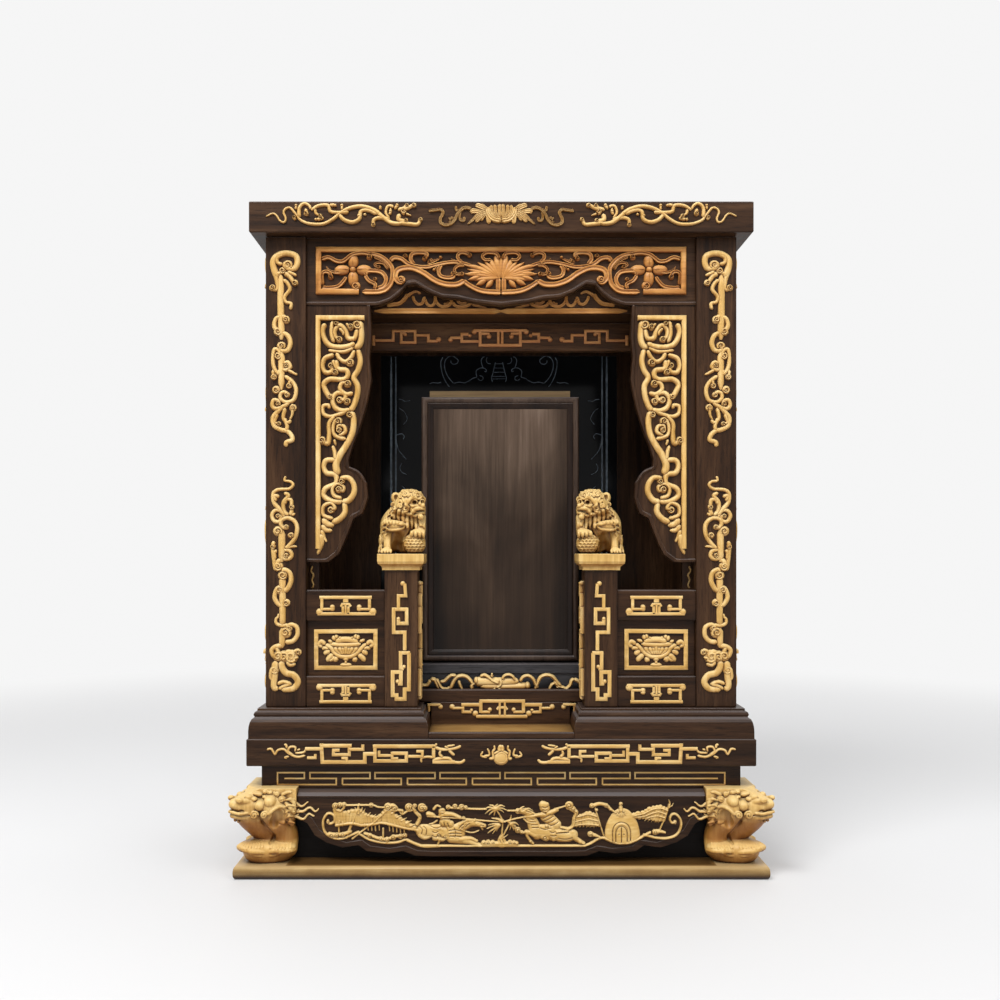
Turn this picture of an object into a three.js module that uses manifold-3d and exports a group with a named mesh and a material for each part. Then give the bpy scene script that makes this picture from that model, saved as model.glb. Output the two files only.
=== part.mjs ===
// Tabletop ancestor shrine: a dark wood cabinet on a moulded base with lion feet,
// carved curtain boards, a railed porch with two guardian lions, and a sliding-cover
// ancestor tablet that stands on a stepped dais. Millimetres, +Z up, the front faces -Y,
// origin at the centre of the ground board's underside.
import * as THREE from 'three'
import { mergeVertices } from 'three/addons/utils/BufferGeometryUtils.js'
import Module from 'manifold-3d'

const wasm = await Module()
wasm.setup()

// Overall plan of the ground board, which every storey above steps back from
const board_width = 480
const board_depth = 232
const clearance = 0.3
const overrun = 5
const corner_ease = 0.8

// Heights of the storeys, from the bottom up
const ground_height = 12
const apron_zone_height = 59
const shoulder_height = 5.8
const waist_height = 22.7
const slab_height = 24.5
const pedestal_height = 26.5
const post_height = 431.5
const cornice_height = 28

// Setbacks of each storey from the edge of the ground board
const ground_nose = 5
const apron_setback = 12
const shoulder_setback = 11.4
const waist_setback = 21.4
const slab_setback = 10
const pedestal_setback = 11.3
const body_setback = 24.4
const cornice_setback = 11.9
const skirt_setback = 28

// Base
const skirt_wall = 14
const shoulder_land = 28
const waist_wall = 16
const apron_thickness = 8
const apron_rise = 6
const apron_bead = 4.5
const apron_bead_proud = 1
const foot_reach = 61.5
const foot_overhang = 6
const foot_height = 68
const ovolo_height = 18.3
const ovolo_depth = 4
const ovolo_fillet_share = 0.35
const torus_height = 6
const torus_setback = 3.9
const entrance_half = 66

// Body
const post_width = 36.5
const side_panel_thickness = 10
const side_panel_inset = 4
const side_field_margin = 26
const side_field_proud = 2.5
const side_field_ease_share = 0.8
const pilaster_width = 9
const pilaster_thickness = 6
const layer_gap = 8
const curtain_setback = 4.6
const curtain_thickness = 8
const curtain_drop = 62
const side_curtain_drop = 236
const side_curtain_width = 58.5
const side_curtain_point_share = 0.8
const curtain_bead = 2.4
const inner_curtain_drop = 66
const ceiling_thickness = 6
const ceiling_drop = 66
const beam_setback = 57.6
const beam_height = 27.4
const beam_thickness = 10

// Porch
const newel_size = 30
const newel_height = 125.8
const newel_inner_half = 76.7
const rail_height = 28.4
const rail_thickness = 18
const rail_setback = 1.6
const rail_panel_height = 50.7
const rail_panel_thickness = 8
const rail_panel_inset = 5
const tread_setback = 14
const tread_height = 6
const nosing_depth = 3
const threshold_setback = 56
const threshold_thickness = 10
const threshold_height = 38.5
const plinth_size = 42.5
const plinth_slab = 7.6
const plinth_neck = 7.3
const plinth_neck_inset = 4
const plinth_fillet_share = 0.3
const lion_height = 60.5
const lion_seat = 0.6

// Dais and back wall
const dais_setback = 70
const dais_height = 35.1
const dais_board_height = 10
const dais_nose = 1.5
const fascia_thickness = 8
const ribbon_thickness = 5
const ribbon_height = 16.5
const ribbon_end_share = 0.1
const ribbon_lift_share = 0.12
const ribbon_foot_height_share = 0.22
const ribbon_foot_length_share = 0.8
const back_wall_inset = 47
const back_frame_thickness = 12
const back_stile = 52
const back_rail_height = 40
const bottom_rail_showing_share = 0.2
const top_rail_showing_share = 0.3
const glass_thickness = 4
const glass_lap = 6
const glass_inset = 3.5
const back_board_thickness = 6

// Cornice
const cornice_border = 42
const roof_lap = 6
const roof_thickness = 8
const roof_recess = 3

// Tablet
const tablet_width = 140
const tablet_height = 267.5
const tablet_setback = 87
const tablet_depth = 26
const tablet_wall = 8
const tablet_floor = 8
const tablet_back = 6
const tablet_lift_gap = 0.4
const case_side_drop = 10.2
const groove_width = 3
const groove_depth = 4
const groove_offset = 2.4
const running_gap = 0.4
const cover_width = 153
const cover_shortfall = 10.8
const cover_thickness = 10.6
const cover_moulding = 11.5
const cover_bead = 3
const panel_recess = 3.2
const slip_count = 4
const slip_gap = 0.4
const slip_side_gap = 1
const slip_height = 240

// Pierced carvings
const carving_thickness = 3.4
const carving_border = 4.6
const carving_side_margin = 8.4
const carving_top_margin = 5.4
const top_carving_height = 49.5
const top_stroke_share = 0.29
const top_foot_share = 0.91
const top_corner_share = 0.235
const stem_top_share = 0.12
const stem_foot_share = 0.86
const petal_width_shares = [0.12, 0.2, 0.03]
const lotus_heart_share = 0.6
const side_carving_height = 224
const side_carving_width = 49.5
const side_head_share = 0.93
const side_foot_share = 0.97

// Levels worked out from the storey heights
const apron_top = ground_height + apron_zone_height
const waist_bottom = apron_top + shoulder_height
const slab_bottom = waist_bottom + waist_height
const slab_top = slab_bottom + slab_height
const floor_level = slab_top + pedestal_height
const post_top = floor_level + post_height
const roof_top = post_top + cornice_height
const board_half = board_width / 2
const front_edge = board_depth / 2
const body_half = board_half - body_setback
const body_front = front_edge - body_setback
const inner_half = body_half - post_width
const cover_height = tablet_height - cover_shortfall
const wall_front = front_edge - back_wall_inset

// Colours of the woods
const dark_wood = { color: 0x2e221c, roughness: 0.38, metalness: 0 }
const carved_wood = { color: 0xe0bc80, roughness: 0.5, metalness: 0 }
const pale_wood = { color: 0xcda86a, roughness: 0.55, metalness: 0 }
const lion_wood = { color: 0xd8b474, roughness: 0.5, metalness: 0 }
const walnut = { color: 0x4b3a30, roughness: 0.35, metalness: 0 }
const dais_paint = { color: 0x26272c, roughness: 0.45, metalness: 0 }
const black_glass = { color: 0x0a0c12, roughness: 0.06, metalness: 0 }

const shrine = new THREE.Group()

// Joining and cutting

function toSolid(geometry) {
  const bare = geometry.clone()
  bare.deleteAttribute('normal')
  bare.deleteAttribute('uv')
  const merged = mergeVertices(bare, 1e-4)
  const vertProperties = new Float32Array(merged.attributes.position.array)
  const triVerts = new Uint32Array(merged.index.array)
  return new wasm.Manifold(new wasm.Mesh({ numProp: 3, vertProperties, triVerts }))
}

function toGeometry(solid) {
  const body = solid.getMesh()
  const geometry = new THREE.BufferGeometry()
  geometry.setAttribute('position', new THREE.BufferAttribute(body.vertProperties, 3))
  geometry.setIndex(new THREE.BufferAttribute(body.triVerts, 1))
  return geometry
}

function union(solids) {
  return solids.reduce((whole, next) => whole.add(next))
}

function addPart(name, solid, look) {
  const geometry = solid.isBufferGeometry ? solid : toGeometry(solid)
  const mesh = new THREE.Mesh(geometry, new THREE.MeshStandardMaterial(look))
  mesh.name = name
  shrine.add(mesh)
}

// Basic stock: a board given by its corners, an outline cut from a board, an eased post

function board(x0, x1, y0, y1, z0, z1) {
  const geometry = new THREE.BoxGeometry(x1 - x0, y1 - y0, z1 - z0)
  geometry.translate((x0 + x1) / 2, (y0 + y1) / 2, (z0 + z1) / 2)
  return toSolid(geometry)
}

function rectangle(x0, x1, y0, y1) {
  const shape = new THREE.Shape()
  shape.moveTo(x0, y0)
  shape.lineTo(x1, y0)
  shape.lineTo(x1, y1)
  shape.lineTo(x0, y1)
  shape.closePath()
  return shape
}

// A board with all its arrises eased
function easedBoard(x0, x1, y0, y1, z0, z1, ease = corner_ease, steps = 1) {
  const shape = rectangle(x0 + ease, x1 - ease, y0 + ease, y1 - ease)
  const geometry = new THREE.ExtrudeGeometry(shape, {
    depth: z1 - z0 - 2 * ease,
    bevelEnabled: true,
    bevelThickness: ease,
    bevelSize: ease,
    bevelSegments: steps
  })
  geometry.translate(0, 0, z0 + ease)
  return toSolid(geometry)
}

// An outline drawn in x and z, cut through a board whose front face is at y0
function cutFront(shape, y0, thickness, curveSegments = 6) {
  const geometry = new THREE.ExtrudeGeometry(shape, { depth: thickness, bevelEnabled: false, curveSegments })
  geometry.rotateX(Math.PI / 2)
  geometry.translate(0, y0 + thickness, 0)
  return toSolid(geometry)
}

// An outline drawn in y and z, cut through a board whose low side is at x0
function cutSide(shape, x0, thickness, curveSegments = 6) {
  const geometry = new THREE.ExtrudeGeometry(shape, { depth: thickness, bevelEnabled: false, curveSegments })
  geometry.rotateX(Math.PI / 2)
  geometry.rotateZ(Math.PI / 2)
  geometry.translate(x0, 0, 0)
  return toSolid(geometry)
}

function mirrorX(solid) {
  return solid.mirror([1, 0, 0])
}

function mirrorY(solid) {
  return solid.mirror([0, 1, 0])
}

// Moulded blocks: one edge profile, a list of [setback, z] from the bottom up, is worked
// along all four sides, so the sides meet in mitres.

function silhouette(half, profile) {
  const shape = new THREE.Shape()
  profile.forEach(([setback, z], i) => (i ? shape.lineTo(half - setback, z) : shape.moveTo(half - setback, z)))
  const downwards = [...profile].reverse()
  downwards.forEach(([setback, z]) => shape.lineTo(setback - half, z))
  shape.closePath()
  return shape
}

function mouldedBlock(halfX, halfY, profile) {
  const alongY = cutFront(silhouette(halfX, profile), -halfY - overrun, 2 * (halfY + overrun))
  const alongX = cutSide(silhouette(halfY, profile), -halfX - overrun, 2 * (halfX + overrun))
  return alongY.intersect(alongX)
}

// Quarter and half rounds of a profile; steps says how many facets they get
function ovolo(z, height, depth, setback, steps) {
  const points = []
  for (let i = 0; i <= steps; i++) {
    const angle = (i / steps) * (Math.PI / 2)
    points.push([setback + depth * (1 - Math.cos(angle)), z + height * Math.sin(angle)])
  }
  return points
}

function torus(z, height, setback, steps) {
  const points = []
  for (let i = 0; i <= steps; i++) {
    const angle = (i / steps - 0.5) * Math.PI
    points.push([setback + (height / 2) * (1 - Math.cos(angle)), z + (height / 2) * (1 + Math.sin(angle))])
  }
  return points
}

// Outlines through hand-placed points

// A carved stroke: the band around a centre line, tapering from one width to the other
function strokeOutline(points, widths, perSpan) {
  const curve = new THREE.SplineCurve(points.map(([x, y]) => new THREE.Vector2(x, y)))
  const count = Math.round((points.length - 1) * perSpan)
  const left = []
  const right = []
  for (let i = 0; i <= count; i++) {
    const t = i / count
    const at = curve.getPoint(t)
    const along = curve.getTangent(t)
    const slot = t * (widths.length - 1)
    const low = Math.min(Math.floor(slot), widths.length - 2)
    const half = THREE.MathUtils.lerp(widths[low], widths[low + 1], slot - low) / 2
    left.push(new THREE.Vector2(at.x - along.y * half, at.y + along.x * half))
    right.push(new THREE.Vector2(at.x + along.y * half, at.y - along.x * half))
  }
  return new THREE.Shape([...left, ...right.reverse()])
}

// Ground board with a bullnosed edge
function buildGroundBoard() {
  addPart('ground_board', easedBoard(
    -board_half, board_half, -front_edge, front_edge, 0, ground_height, ground_nose, 3
  ), pale_wood)
}

// Recessed skirt, shoulder, waist and slab
function buildBase() {
  const skirtX = board_half - skirt_setback
  const skirtY = front_edge - skirt_setback
  const skirt = board(-skirtX, skirtX, -skirtY, skirtY, ground_height, apron_top)
  const skirtHole = board(
    skirt_wall - skirtX, skirtX - skirt_wall, skirt_wall - skirtY, skirtY - skirt_wall,
    ground_height - overrun, apron_top + overrun
  )
  addPart('inner_skirt', skirt.subtract(skirtHole), dark_wood)

  const waistX = board_half - waist_setback
  const waistY = front_edge - waist_setback
  const slope = waist_setback - shoulder_setback
  const shoulderProfile = [
    [0, apron_top],
    [0, apron_top + shoulder_height * 0.25],
    [slope * 0.3, apron_top + shoulder_height * 0.7],
    [slope, waist_bottom]
  ]
  const shoulderX = board_half - shoulder_setback
  const shoulderY = front_edge - shoulder_setback
  const ring = mouldedBlock(shoulderX, shoulderY, shoulderProfile)
  const holeX = shoulderX - slope - shoulder_land
  const holeY = shoulderY - slope - shoulder_land
  const hole = board(-holeX, holeX, -holeY, holeY, apron_top - overrun, waist_bottom + overrun)
  const footInner = footInnerX() - clearance
  const footBack = footBackY() - clearance
  const headSeats = []
  for (const sx of [-1, 1]) {
    const across = [sx * footInner, sx * (shoulderX + overrun)].sort((a, b) => a - b)
    const outer = [sx * waistX, sx * (shoulderX + overrun)].sort((a, b) => a - b)
    for (const sy of [-1, 1]) {
      const ahead = [sy * waistY, sy * (shoulderY + overrun)].sort((a, b) => a - b)
      const beside = [sy * footBack, sy * (shoulderY + overrun)].sort((a, b) => a - b)
      headSeats.push(board(...across, ...ahead, apron_top - overrun, waist_bottom + overrun))
      headSeats.push(board(...outer, ...beside, apron_top - overrun, waist_bottom + overrun))
    }
  }
  addPart('shoulder_moulding', ring.subtract(hole).subtract(union(headSeats)), dark_wood)

  const waist = easedBoard(-waistX, waistX, -waistY, waistY, waist_bottom, slab_bottom)
  const waistHole = board(
    waist_wall - waistX, waistX - waist_wall, waist_wall - waistY, waistY - waist_wall,
    waist_bottom - overrun, slab_bottom + overrun
  )
  addPart('waist_frame', waist.subtract(waistHole), dark_wood)

  const slabX = board_half - slab_setback
  const slabY = front_edge - slab_setback
  addPart('platform_slab', easedBoard(-slabX, slabX, -slabY, slabY, slab_bottom, slab_top), dark_wood)
}

function footInnerX() {
  return board_half + foot_overhang - foot_reach
}

function footBackY() {
  return front_edge + foot_overhang - foot_reach
}

// Feet. Each is a cabriole bracket, sawn to the same outline from the front and from the
// side, so that the two cuts leave a head or knee that looks out over the corner. The
// outline is drawn in shares of the reach (from the inner face outwards) and the height.
const lion_foot_shares = [
  [0.80, 0.00], [0.865, 0.03], [0.87, 0.12], [0.82, 0.22], [0.70, 0.29], [0.62, 0.36],
  [0.64, 0.42], [0.76, 0.46], [0.90, 0.50], [0.955, 0.56], [0.93, 0.61], [0.87, 0.635],
  [0.93, 0.665], [0.985, 0.70], [1.00, 0.76], [0.985, 0.83], [0.93, 0.865], [0.945, 0.91],
  [0.90, 0.965], [0.82, 1.00]
]
const plain_foot_shares = [
  [0.80, 0.00], [0.86, 0.04], [0.85, 0.13], [0.76, 0.22], [0.64, 0.30], [0.60, 0.40],
  [0.66, 0.50], [0.80, 0.62], [0.88, 0.74], [0.90, 0.86], [0.88, 0.95], [0.84, 1.00]
]
const foot_inner_shares = [[0.00, 1.00], [0.00, 0.62], [0.06, 0.48], [0.09, 0.36], [0.05, 0.22], [0.00, 0.12], [0.00, 0.00]]

function footOutline(shares, height) {
  const points = [...shares, ...foot_inner_shares].map(([out, up]) => {
    return new THREE.Vector2(out * foot_reach, ground_height + up * height)
  })
  return new THREE.Shape(points)
}

function buildFoot(name, shares, sx, sy, height, look) {
  const outline = footOutline(shares, height)
  const fromFront = cutFront(outline, 0, foot_reach + overrun).translate([footInnerX(), footBackY() - overrun, 0])
  const fromSide = cutSide(outline, -overrun, foot_reach + 2 * overrun).translate([footInnerX(), footBackY(), 0])
  let foot = fromFront.intersect(fromSide)
  const skirtX = board_half - skirt_setback + clearance
  const skirtY = front_edge - skirt_setback + clearance
  foot = foot.subtract(board(0, skirtX, 0, skirtY, ground_height - overrun, apron_top + overrun))
  const waistX = board_half - waist_setback + clearance
  const waistY = front_edge - waist_setback + clearance
  const headRoom = board(0, waistX, 0, waistY, apron_top - clearance, ground_height + height + overrun)
  foot = foot.subtract(headRoom)
  if (sx < 0) foot = mirrorX(foot)
  if (sy < 0) foot = mirrorY(foot)
  addPart(name, foot, look)
}

function buildFeet() {
  const rear_height = waist_bottom - ground_height
  buildFoot('foot_front_left', lion_foot_shares, -1, -1, foot_height, lion_wood)
  buildFoot('foot_front_right', lion_foot_shares, 1, -1, foot_height, lion_wood)
  buildFoot('foot_rear_left', plain_foot_shares, -1, 1, rear_height, lion_wood)
  buildFoot('foot_rear_right', plain_foot_shares, 1, 1, rear_height, lion_wood)
}

// Aprons: a scalloped lower edge with a raised bead, drawn in shares of the half span
// (from the foot to the middle) and of the apron's height (from its lowest line up)
const apron_edge_shares = [
  [0.00, 0.66], [0.05, 0.56], [0.085, 0.36], [0.14, 0.24], [0.22, 0.15], [0.30, 0.19],
  [0.34, 0.09], [0.44, 0.05], [0.52, 0.09], [0.58, 0.01], [0.66, 0.00], [1.00, 0.00]
]

function apronEdge(halfSpan, low, high) {
  const half = apron_edge_shares.map(([across, up]) => [-halfSpan * (1 - across), low + up * (high - low)])
  const mirrored = half.slice(0, -1).reverse().map(([x, z]) => [-x, z])
  return [...half, ...mirrored]
}

function apronShape(halfSpan, low, high) {
  const points = [...apronEdge(halfSpan, low, high), [halfSpan, high], [-halfSpan, high]]
  return new THREE.Shape(points.map(([x, z]) => new THREE.Vector2(x, z)))
}

function apronBead(halfSpan, low, high) {
  const edge = apronEdge(halfSpan, low, high)
  const inner = edge.map(([x, z]) => [x * (1 - apron_bead / halfSpan), z + apron_bead])
  return new THREE.Shape([...edge, ...inner.reverse()].map(([x, z]) => new THREE.Vector2(x, z)))
}

function buildApron(name, halfSpan, face, turn) {
  const low = ground_height + apron_rise
  const plate = cutFront(apronShape(halfSpan, low, apron_top), -face, apron_thickness)
  const bead = cutFront(apronBead(halfSpan, low, apron_top), -face - apron_bead_proud, apron_bead_proud * 2)
  addPart(name, plate.add(bead).rotate([0, 0, turn]), dark_wood)
}

function buildAprons() {
  const spanX = footInnerX() - clearance
  const spanY = footBackY() - clearance
  const faceX = board_half - apron_setback
  const faceY = front_edge - apron_setback
  buildApron('front_apron', spanX, faceY, 0)
  buildApron('right_apron', spanY, faceX, 90)
  buildApron('rear_apron', spanX, faceY, 180)
  buildApron('left_apron', spanY, faceX, 270)
}

// Pedestals on both sides of the entrance: an ovolo, a torus and a fillet
function pedestalProfile() {
  const ovoloTop = slab_top + ovolo_height
  const torusTop = ovoloTop + torus_height
  const fillet = ovolo_height * ovolo_fillet_share
  return [
    [0, slab_top],
    ...ovolo(slab_top + fillet, ovolo_height - fillet, ovolo_depth, 0, 4),
    ...torus(ovoloTop, torus_height, torus_setback, 4),
    [torus_setback + torus_height / 2, floor_level]
  ].filter(([, z], i, all) => i === 0 || z > all[i - 1][1] + 1e-6 || z === torusTop)
}

// Each pedestal turns the rear corner and meets its twin on the centre line
function buildPedestals() {
  const outer = board_half - pedestal_setback
  const halfX = (outer - entrance_half) / 2
  const halfY = front_edge - pedestal_setback
  const middle = (outer + entrance_half) / 2
  const beside = mouldedBlock(halfX, halfY, pedestalProfile()).translate([-middle, 0, 0])
  const round = mouldedBlock(outer, halfY, pedestalProfile())
  const rearHalf = board(
    -middle, -clearance / 2, wall_front, halfY + overrun, slab_top - overrun, floor_level + overrun
  )
  const pedestal = beside.add(round.intersect(rearHalf))
  addPart('left_pedestal', pedestal, dark_wood)
  addPart('right_pedestal', mirrorX(pedestal), dark_wood)
}

// Entrance: tread, nosing and threshold between the pedestals
function buildEntrance() {
  const half = entrance_half - clearance
  const treadFront = tread_setback - front_edge
  const railFront = threshold_setback - front_edge
  const treadTop = slab_top + tread_height
  addPart('tread_nosing', easedBoard(
    -half, half, treadFront - nosing_depth, treadFront, slab_top, treadTop
  ), dark_wood)
  addPart('tread_board', board(-half, half, treadFront, railFront, slab_top, treadTop), pale_wood)
  const upperHalf = newel_inner_half - clearance
  const railTop = slab_top + threshold_height
  const lower = board(-half, half, railFront, railFront + threshold_thickness, slab_top, floor_level)
  const upper = easedBoard(
    -upperHalf, upperHalf, railFront, railFront + threshold_thickness, floor_level, railTop
  )
  addPart('threshold_rail', lower.add(upper), dark_wood)
}

// Dais behind the threshold, and the ribbon carving in front of it
function buildDais() {
  const front = dais_setback - front_edge
  const half = body_half - side_panel_inset - side_panel_thickness
  const boardBottom = floor_level + dais_height - dais_board_height
  const top = boardBottom + dais_board_height
  addPart('dais_fascia', board(-half, half, front, front + fascia_thickness, floor_level, boardBottom), dais_paint)
  addPart('dais_board', easedBoard(-half, half, front - dais_nose, wall_front, boardBottom, top), dais_paint)
}

// Ribbon: a rolled scroll tied by a fluttering sash, in shares of the ribbon's half
// length (-1 to 1) and its height; each row is a pair of widths and its centre line
const ribbon_shares = [
  [0.15, 0.15, [-1.0, 0.42], [-0.94, 0.40], [-0.89, 0.72], [-0.83, 0.68], [-0.77, 0.25], [-0.68, 0.10], [-0.60, 0.6], [-0.5, 0.88]],
  [0.15, 0.15, [-0.80, 0.60], [-0.72, 0.55], [-0.66, 0.85], [-0.56, 0.92], [-0.46, 0.90], [-0.39, 0.55]],
  [0.12, 0.16, [-0.56, 0.60], [-0.54, 0.10], [-0.50, 0.06]],
  [0.50, 0.34, [-0.38, 0.58], [-0.10, 0.44], [0.10, 0.36], [0.28, 0.30]],
  [0.15, 0.15, [-0.04, 0.60], [0.00, 0.88], [0.08, 0.88], [0.14, 0.55]],
  [0.15, 0.15, [0.20, 0.60], [0.26, 0.86], [0.34, 0.80], [0.38, 0.40], [0.39, 0.08]],
  [0.15, 0.15, [0.40, 0.20], [0.44, 0.75], [0.52, 0.90], [0.60, 0.85], [0.66, 0.40], [0.74, 0.12], [0.80, 0.20], [0.86, 0.78], [0.92, 0.60], [1.0, 0.46]],
  [0.12, 0.12, [0.54, 0.08], [0.58, 0.45], [0.66, 0.30]]
]

function buildRibbon() {
  const half = newel_inner_half - 2 * clearance - ribbon_height * ribbon_end_share
  const railTop = slab_top + threshold_height
  const front = threshold_setback + threshold_thickness - ribbon_thickness - 2 * clearance - front_edge
  const strokes = ribbon_shares.map(([from, to, ...line]) => {
    const points = line.map(([u, v]) => {
      const up = THREE.MathUtils.lerp(ribbon_lift_share, 1, v)
      return [u * half, railTop + up * ribbon_height]
    })
    const widths = [from * ribbon_height, to * ribbon_height]
    return cutFront(strokeOutline(points, widths, 2), front, ribbon_thickness)
  })
  const footHalf = half * ribbon_foot_length_share
  const footTop = railTop + ribbon_height * ribbon_foot_height_share
  const foot = board(-footHalf, footHalf, front, front + ribbon_thickness, railTop, footTop)
  addPart('ribbon_scroll', union(strokes).add(foot), carved_wood)
}

// Body: posts, side panels and back
function buildPosts() {
  const xs = [inner_half, body_half]
  const front = [-body_front, post_width - body_front]
  const rear = [wall_front, body_front]
  for (const [side, sx] of [['left', -1], ['right', 1]]) {
    const span = xs.map((x) => x * sx).sort((a, b) => a - b)
    addPart(`post_front_${side}`, easedBoard(...span, ...front, floor_level, post_top), dark_wood)
    addPart(`post_rear_${side}`, easedBoard(...span, ...rear, floor_level, post_top), dark_wood)
  }
}

function buildSidePanels() {
  const y0 = post_width - body_front
  const y1 = wall_front
  const x1 = body_half - side_panel_inset
  const x0 = x1 - side_panel_thickness
  const plain = board(x0, x1, y0, y1, floor_level, post_top)
  const field = easedBoard(
    x1 - side_field_proud, x1 + side_field_proud, y0 + side_field_margin, y1 - side_field_margin,
    floor_level + side_field_margin, post_top - side_field_margin, side_field_proud * side_field_ease_share
  )
  const panel = plain.add(field)
  addPart('right_side_panel', panel, dark_wood)
  addPart('left_side_panel', mirrorX(panel), dark_wood)
}

function buildBack() {
  const half = inner_half
  const front = wall_front
  const back = front + back_frame_thickness
  const frame = board(-half, half, front, back, floor_level, post_top)
  const openX = half - back_stile
  const openLow = floor_level + dais_height + back_rail_height * bottom_rail_showing_share
  const openHigh = post_top - ceiling_drop - back_rail_height * top_rail_showing_share
  const sight = board(-openX, openX, front - overrun, back + overrun, openLow, openHigh)
  const rebate = board(
    -openX - glass_lap, openX + glass_lap, front + glass_inset, back + overrun,
    openLow - glass_lap, openHigh + glass_lap
  )
  addPart('back_frame', frame.subtract(sight).subtract(rebate), dark_wood)
  const pane = glass_lap - clearance
  addPart('back_glass', board(
    -openX - pane, openX + pane, front + glass_inset, front + glass_inset + glass_thickness,
    openLow - pane, openHigh + pane
  ), black_glass)
  addPart('back_board', board(-half, half, back, back + back_board_thickness, floor_level, post_top), dark_wood)
}

// Porch: newels, guardian lions, rails and panels
function buildPorch() {
  const newelFront = -body_front
  const newelTop = floor_level + newel_height
  const newelSpan = [-newel_inner_half - newel_size, -newel_inner_half]
  const newel = easedBoard(...newelSpan, newelFront, newelFront + newel_size, floor_level, newelTop)
  addPart('left_newel', newel, dark_wood)
  addPart('right_newel', mirrorX(newel), dark_wood)

  const railSpan = [-inner_half + clearance, newelSpan[0] - clearance]
  const railFront = newelFront + rail_setback
  const railBack = railFront + rail_thickness
  const lowTop = floor_level + rail_height
  const highBottom = lowTop + rail_panel_height
  const lower = easedBoard(...railSpan, railFront, railBack, floor_level, lowTop)
  const upper = easedBoard(...railSpan, railFront, railBack, highBottom, highBottom + rail_height)
  const panelFront = railFront + rail_panel_inset
  const panel = board(...railSpan, panelFront, panelFront + rail_panel_thickness, lowTop, highBottom)
  addPart('left_lower_rail', lower, dark_wood)
  addPart('right_lower_rail', mirrorX(lower), dark_wood)
  addPart('left_rail_panel', panel, dark_wood)
  addPart('right_rail_panel', mirrorX(panel), dark_wood)
  addPart('left_upper_rail', upper, dark_wood)
  addPart('right_upper_rail', mirrorX(upper), dark_wood)

  const middleX = (newelSpan[0] + newelSpan[1]) / 2
  const middleY = newelFront + newel_size / 2
  const lion = guardianLion().translate([middleX, middleY, newelTop])
  addPart('left_guardian_lion', lion, lion_wood)
  addPart('right_guardian_lion', mirrorX(lion), lion_wood)
}

// The lion's masses, in shares of its height: x towards the entrance, y towards the back,
// z up, then the three half sizes
const lion_mass_shares = [
  [-0.03, 0.16, 0.20, 0.31, 0.26, 0.22],
  [-0.02, 0.04, 0.38, 0.23, 0.24, 0.30],
  [0.04, -0.07, 0.73, 0.26, 0.25, 0.23],
  [0.10, -0.25, 0.66, 0.18, 0.13, 0.11],
  [0.10, -0.20, 0.54, 0.14, 0.12, 0.10],
  [0.02, 0.02, 0.89, 0.20, 0.20, 0.11],
  [-0.04, 0.17, 0.62, 0.23, 0.17, 0.28],
  [-0.25, 0.00, 0.76, 0.09, 0.08, 0.11],
  [-0.24, -0.17, 0.30, 0.11, 0.14, 0.25],
  [-0.24, -0.26, 0.09, 0.13, 0.15, 0.10],
  [0.17, -0.14, 0.42, 0.11, 0.15, 0.15],
  [0.19, -0.22, 0.17, 0.18, 0.17, 0.17],
  [0.02, 0.34, 0.30, 0.12, 0.08, 0.24]
]

function guardianLion() {
  const half = plinth_size / 2
  const neckTop = plinth_neck
  const fillet = plinth_neck * plinth_fillet_share
  const profile = [
    [plinth_neck_inset, 0],
    [plinth_neck_inset, fillet],
    ...ovolo(fillet, plinth_neck - fillet, plinth_neck_inset, 0, 3)
      .map(([s, z]) => [plinth_neck_inset - s, z]),
    [0, neckTop + plinth_slab]
  ].filter(([, z], i, all) => i === 0 || z > all[i - 1][1] + 1e-6)
  const plinth = mouldedBlock(half, half, profile)
  const seat = neckTop + plinth_slab - lion_seat
  const masses = lion_mass_shares.map(([x, y, z, rx, ry, rz]) => {
    const ball = new THREE.IcosahedronGeometry(1, 1)
    ball.scale(rx * lion_height, ry * lion_height, rz * lion_height)
    ball.translate(x * lion_height, y * lion_height, seat + z * lion_height)
    return toSolid(ball)
  })
  const room = board(
    -lion_height, lion_height, -lion_height, lion_height, seat, seat + 2 * lion_height
  )
  return union(masses).intersect(room).add(plinth)
}

// Curtain boards: a lambrequin above the opening and a drop on each side, all with a
// raised bead along the wavy edge. Edges are drawn in shares: the top one of the half
// span and the drop, the side one of its width and its drop.
const top_edge_shares = [
  [0.00, 1.00], [0.355, 1.00], [0.385, 0.98], [0.43, 0.93], [0.475, 0.83], [0.515, 0.70],
  [0.56, 0.68], [0.63, 0.80], [0.70, 0.88], [0.78, 0.90], [0.865, 0.955], [1.00, 1.00]
]
const side_edge_shares = [
  [1.00, 0.00], [1.02, 0.12], [0.99, 0.20], [1.02, 0.29], [0.93, 0.40], [0.83, 0.48],
  [0.72, 0.55], [0.66, 0.60], [0.67, 0.63], [0.83, 0.65], [0.94, 0.69], [0.96, 0.75],
  [0.88, 0.81], [0.74, 0.83], [0.66, 0.88], [0.58, 0.93], [0.50, 0.97], [0.34, 1.00], [0.00, 1.00]
]

function buildTopCurtain() {
  const half = inner_half
  const front = curtain_setback - body_front
  const edge = top_edge_shares.map(([u, v]) => [-half * (1 - u), post_top - v * curtain_drop])
  const whole = [...edge, ...edge.slice(0, -1).reverse().map(([x, z]) => [-x, z])]
  const shape = new THREE.Shape([...whole, [half, post_top], [-half, post_top]].map(([x, z]) => new THREE.Vector2(x, z)))
  const bead = new THREE.Shape(
    [...whole, ...[...whole].reverse().map(([x, z]) => [x, z + curtain_bead])].map(([x, z]) => new THREE.Vector2(x, z))
  )
  const plate = cutFront(shape, front, curtain_thickness)
  addPart('top_lambrequin', plate.add(cutFront(bead, front - curtain_bead / 2, curtain_bead)), dark_wood)
}

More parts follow.
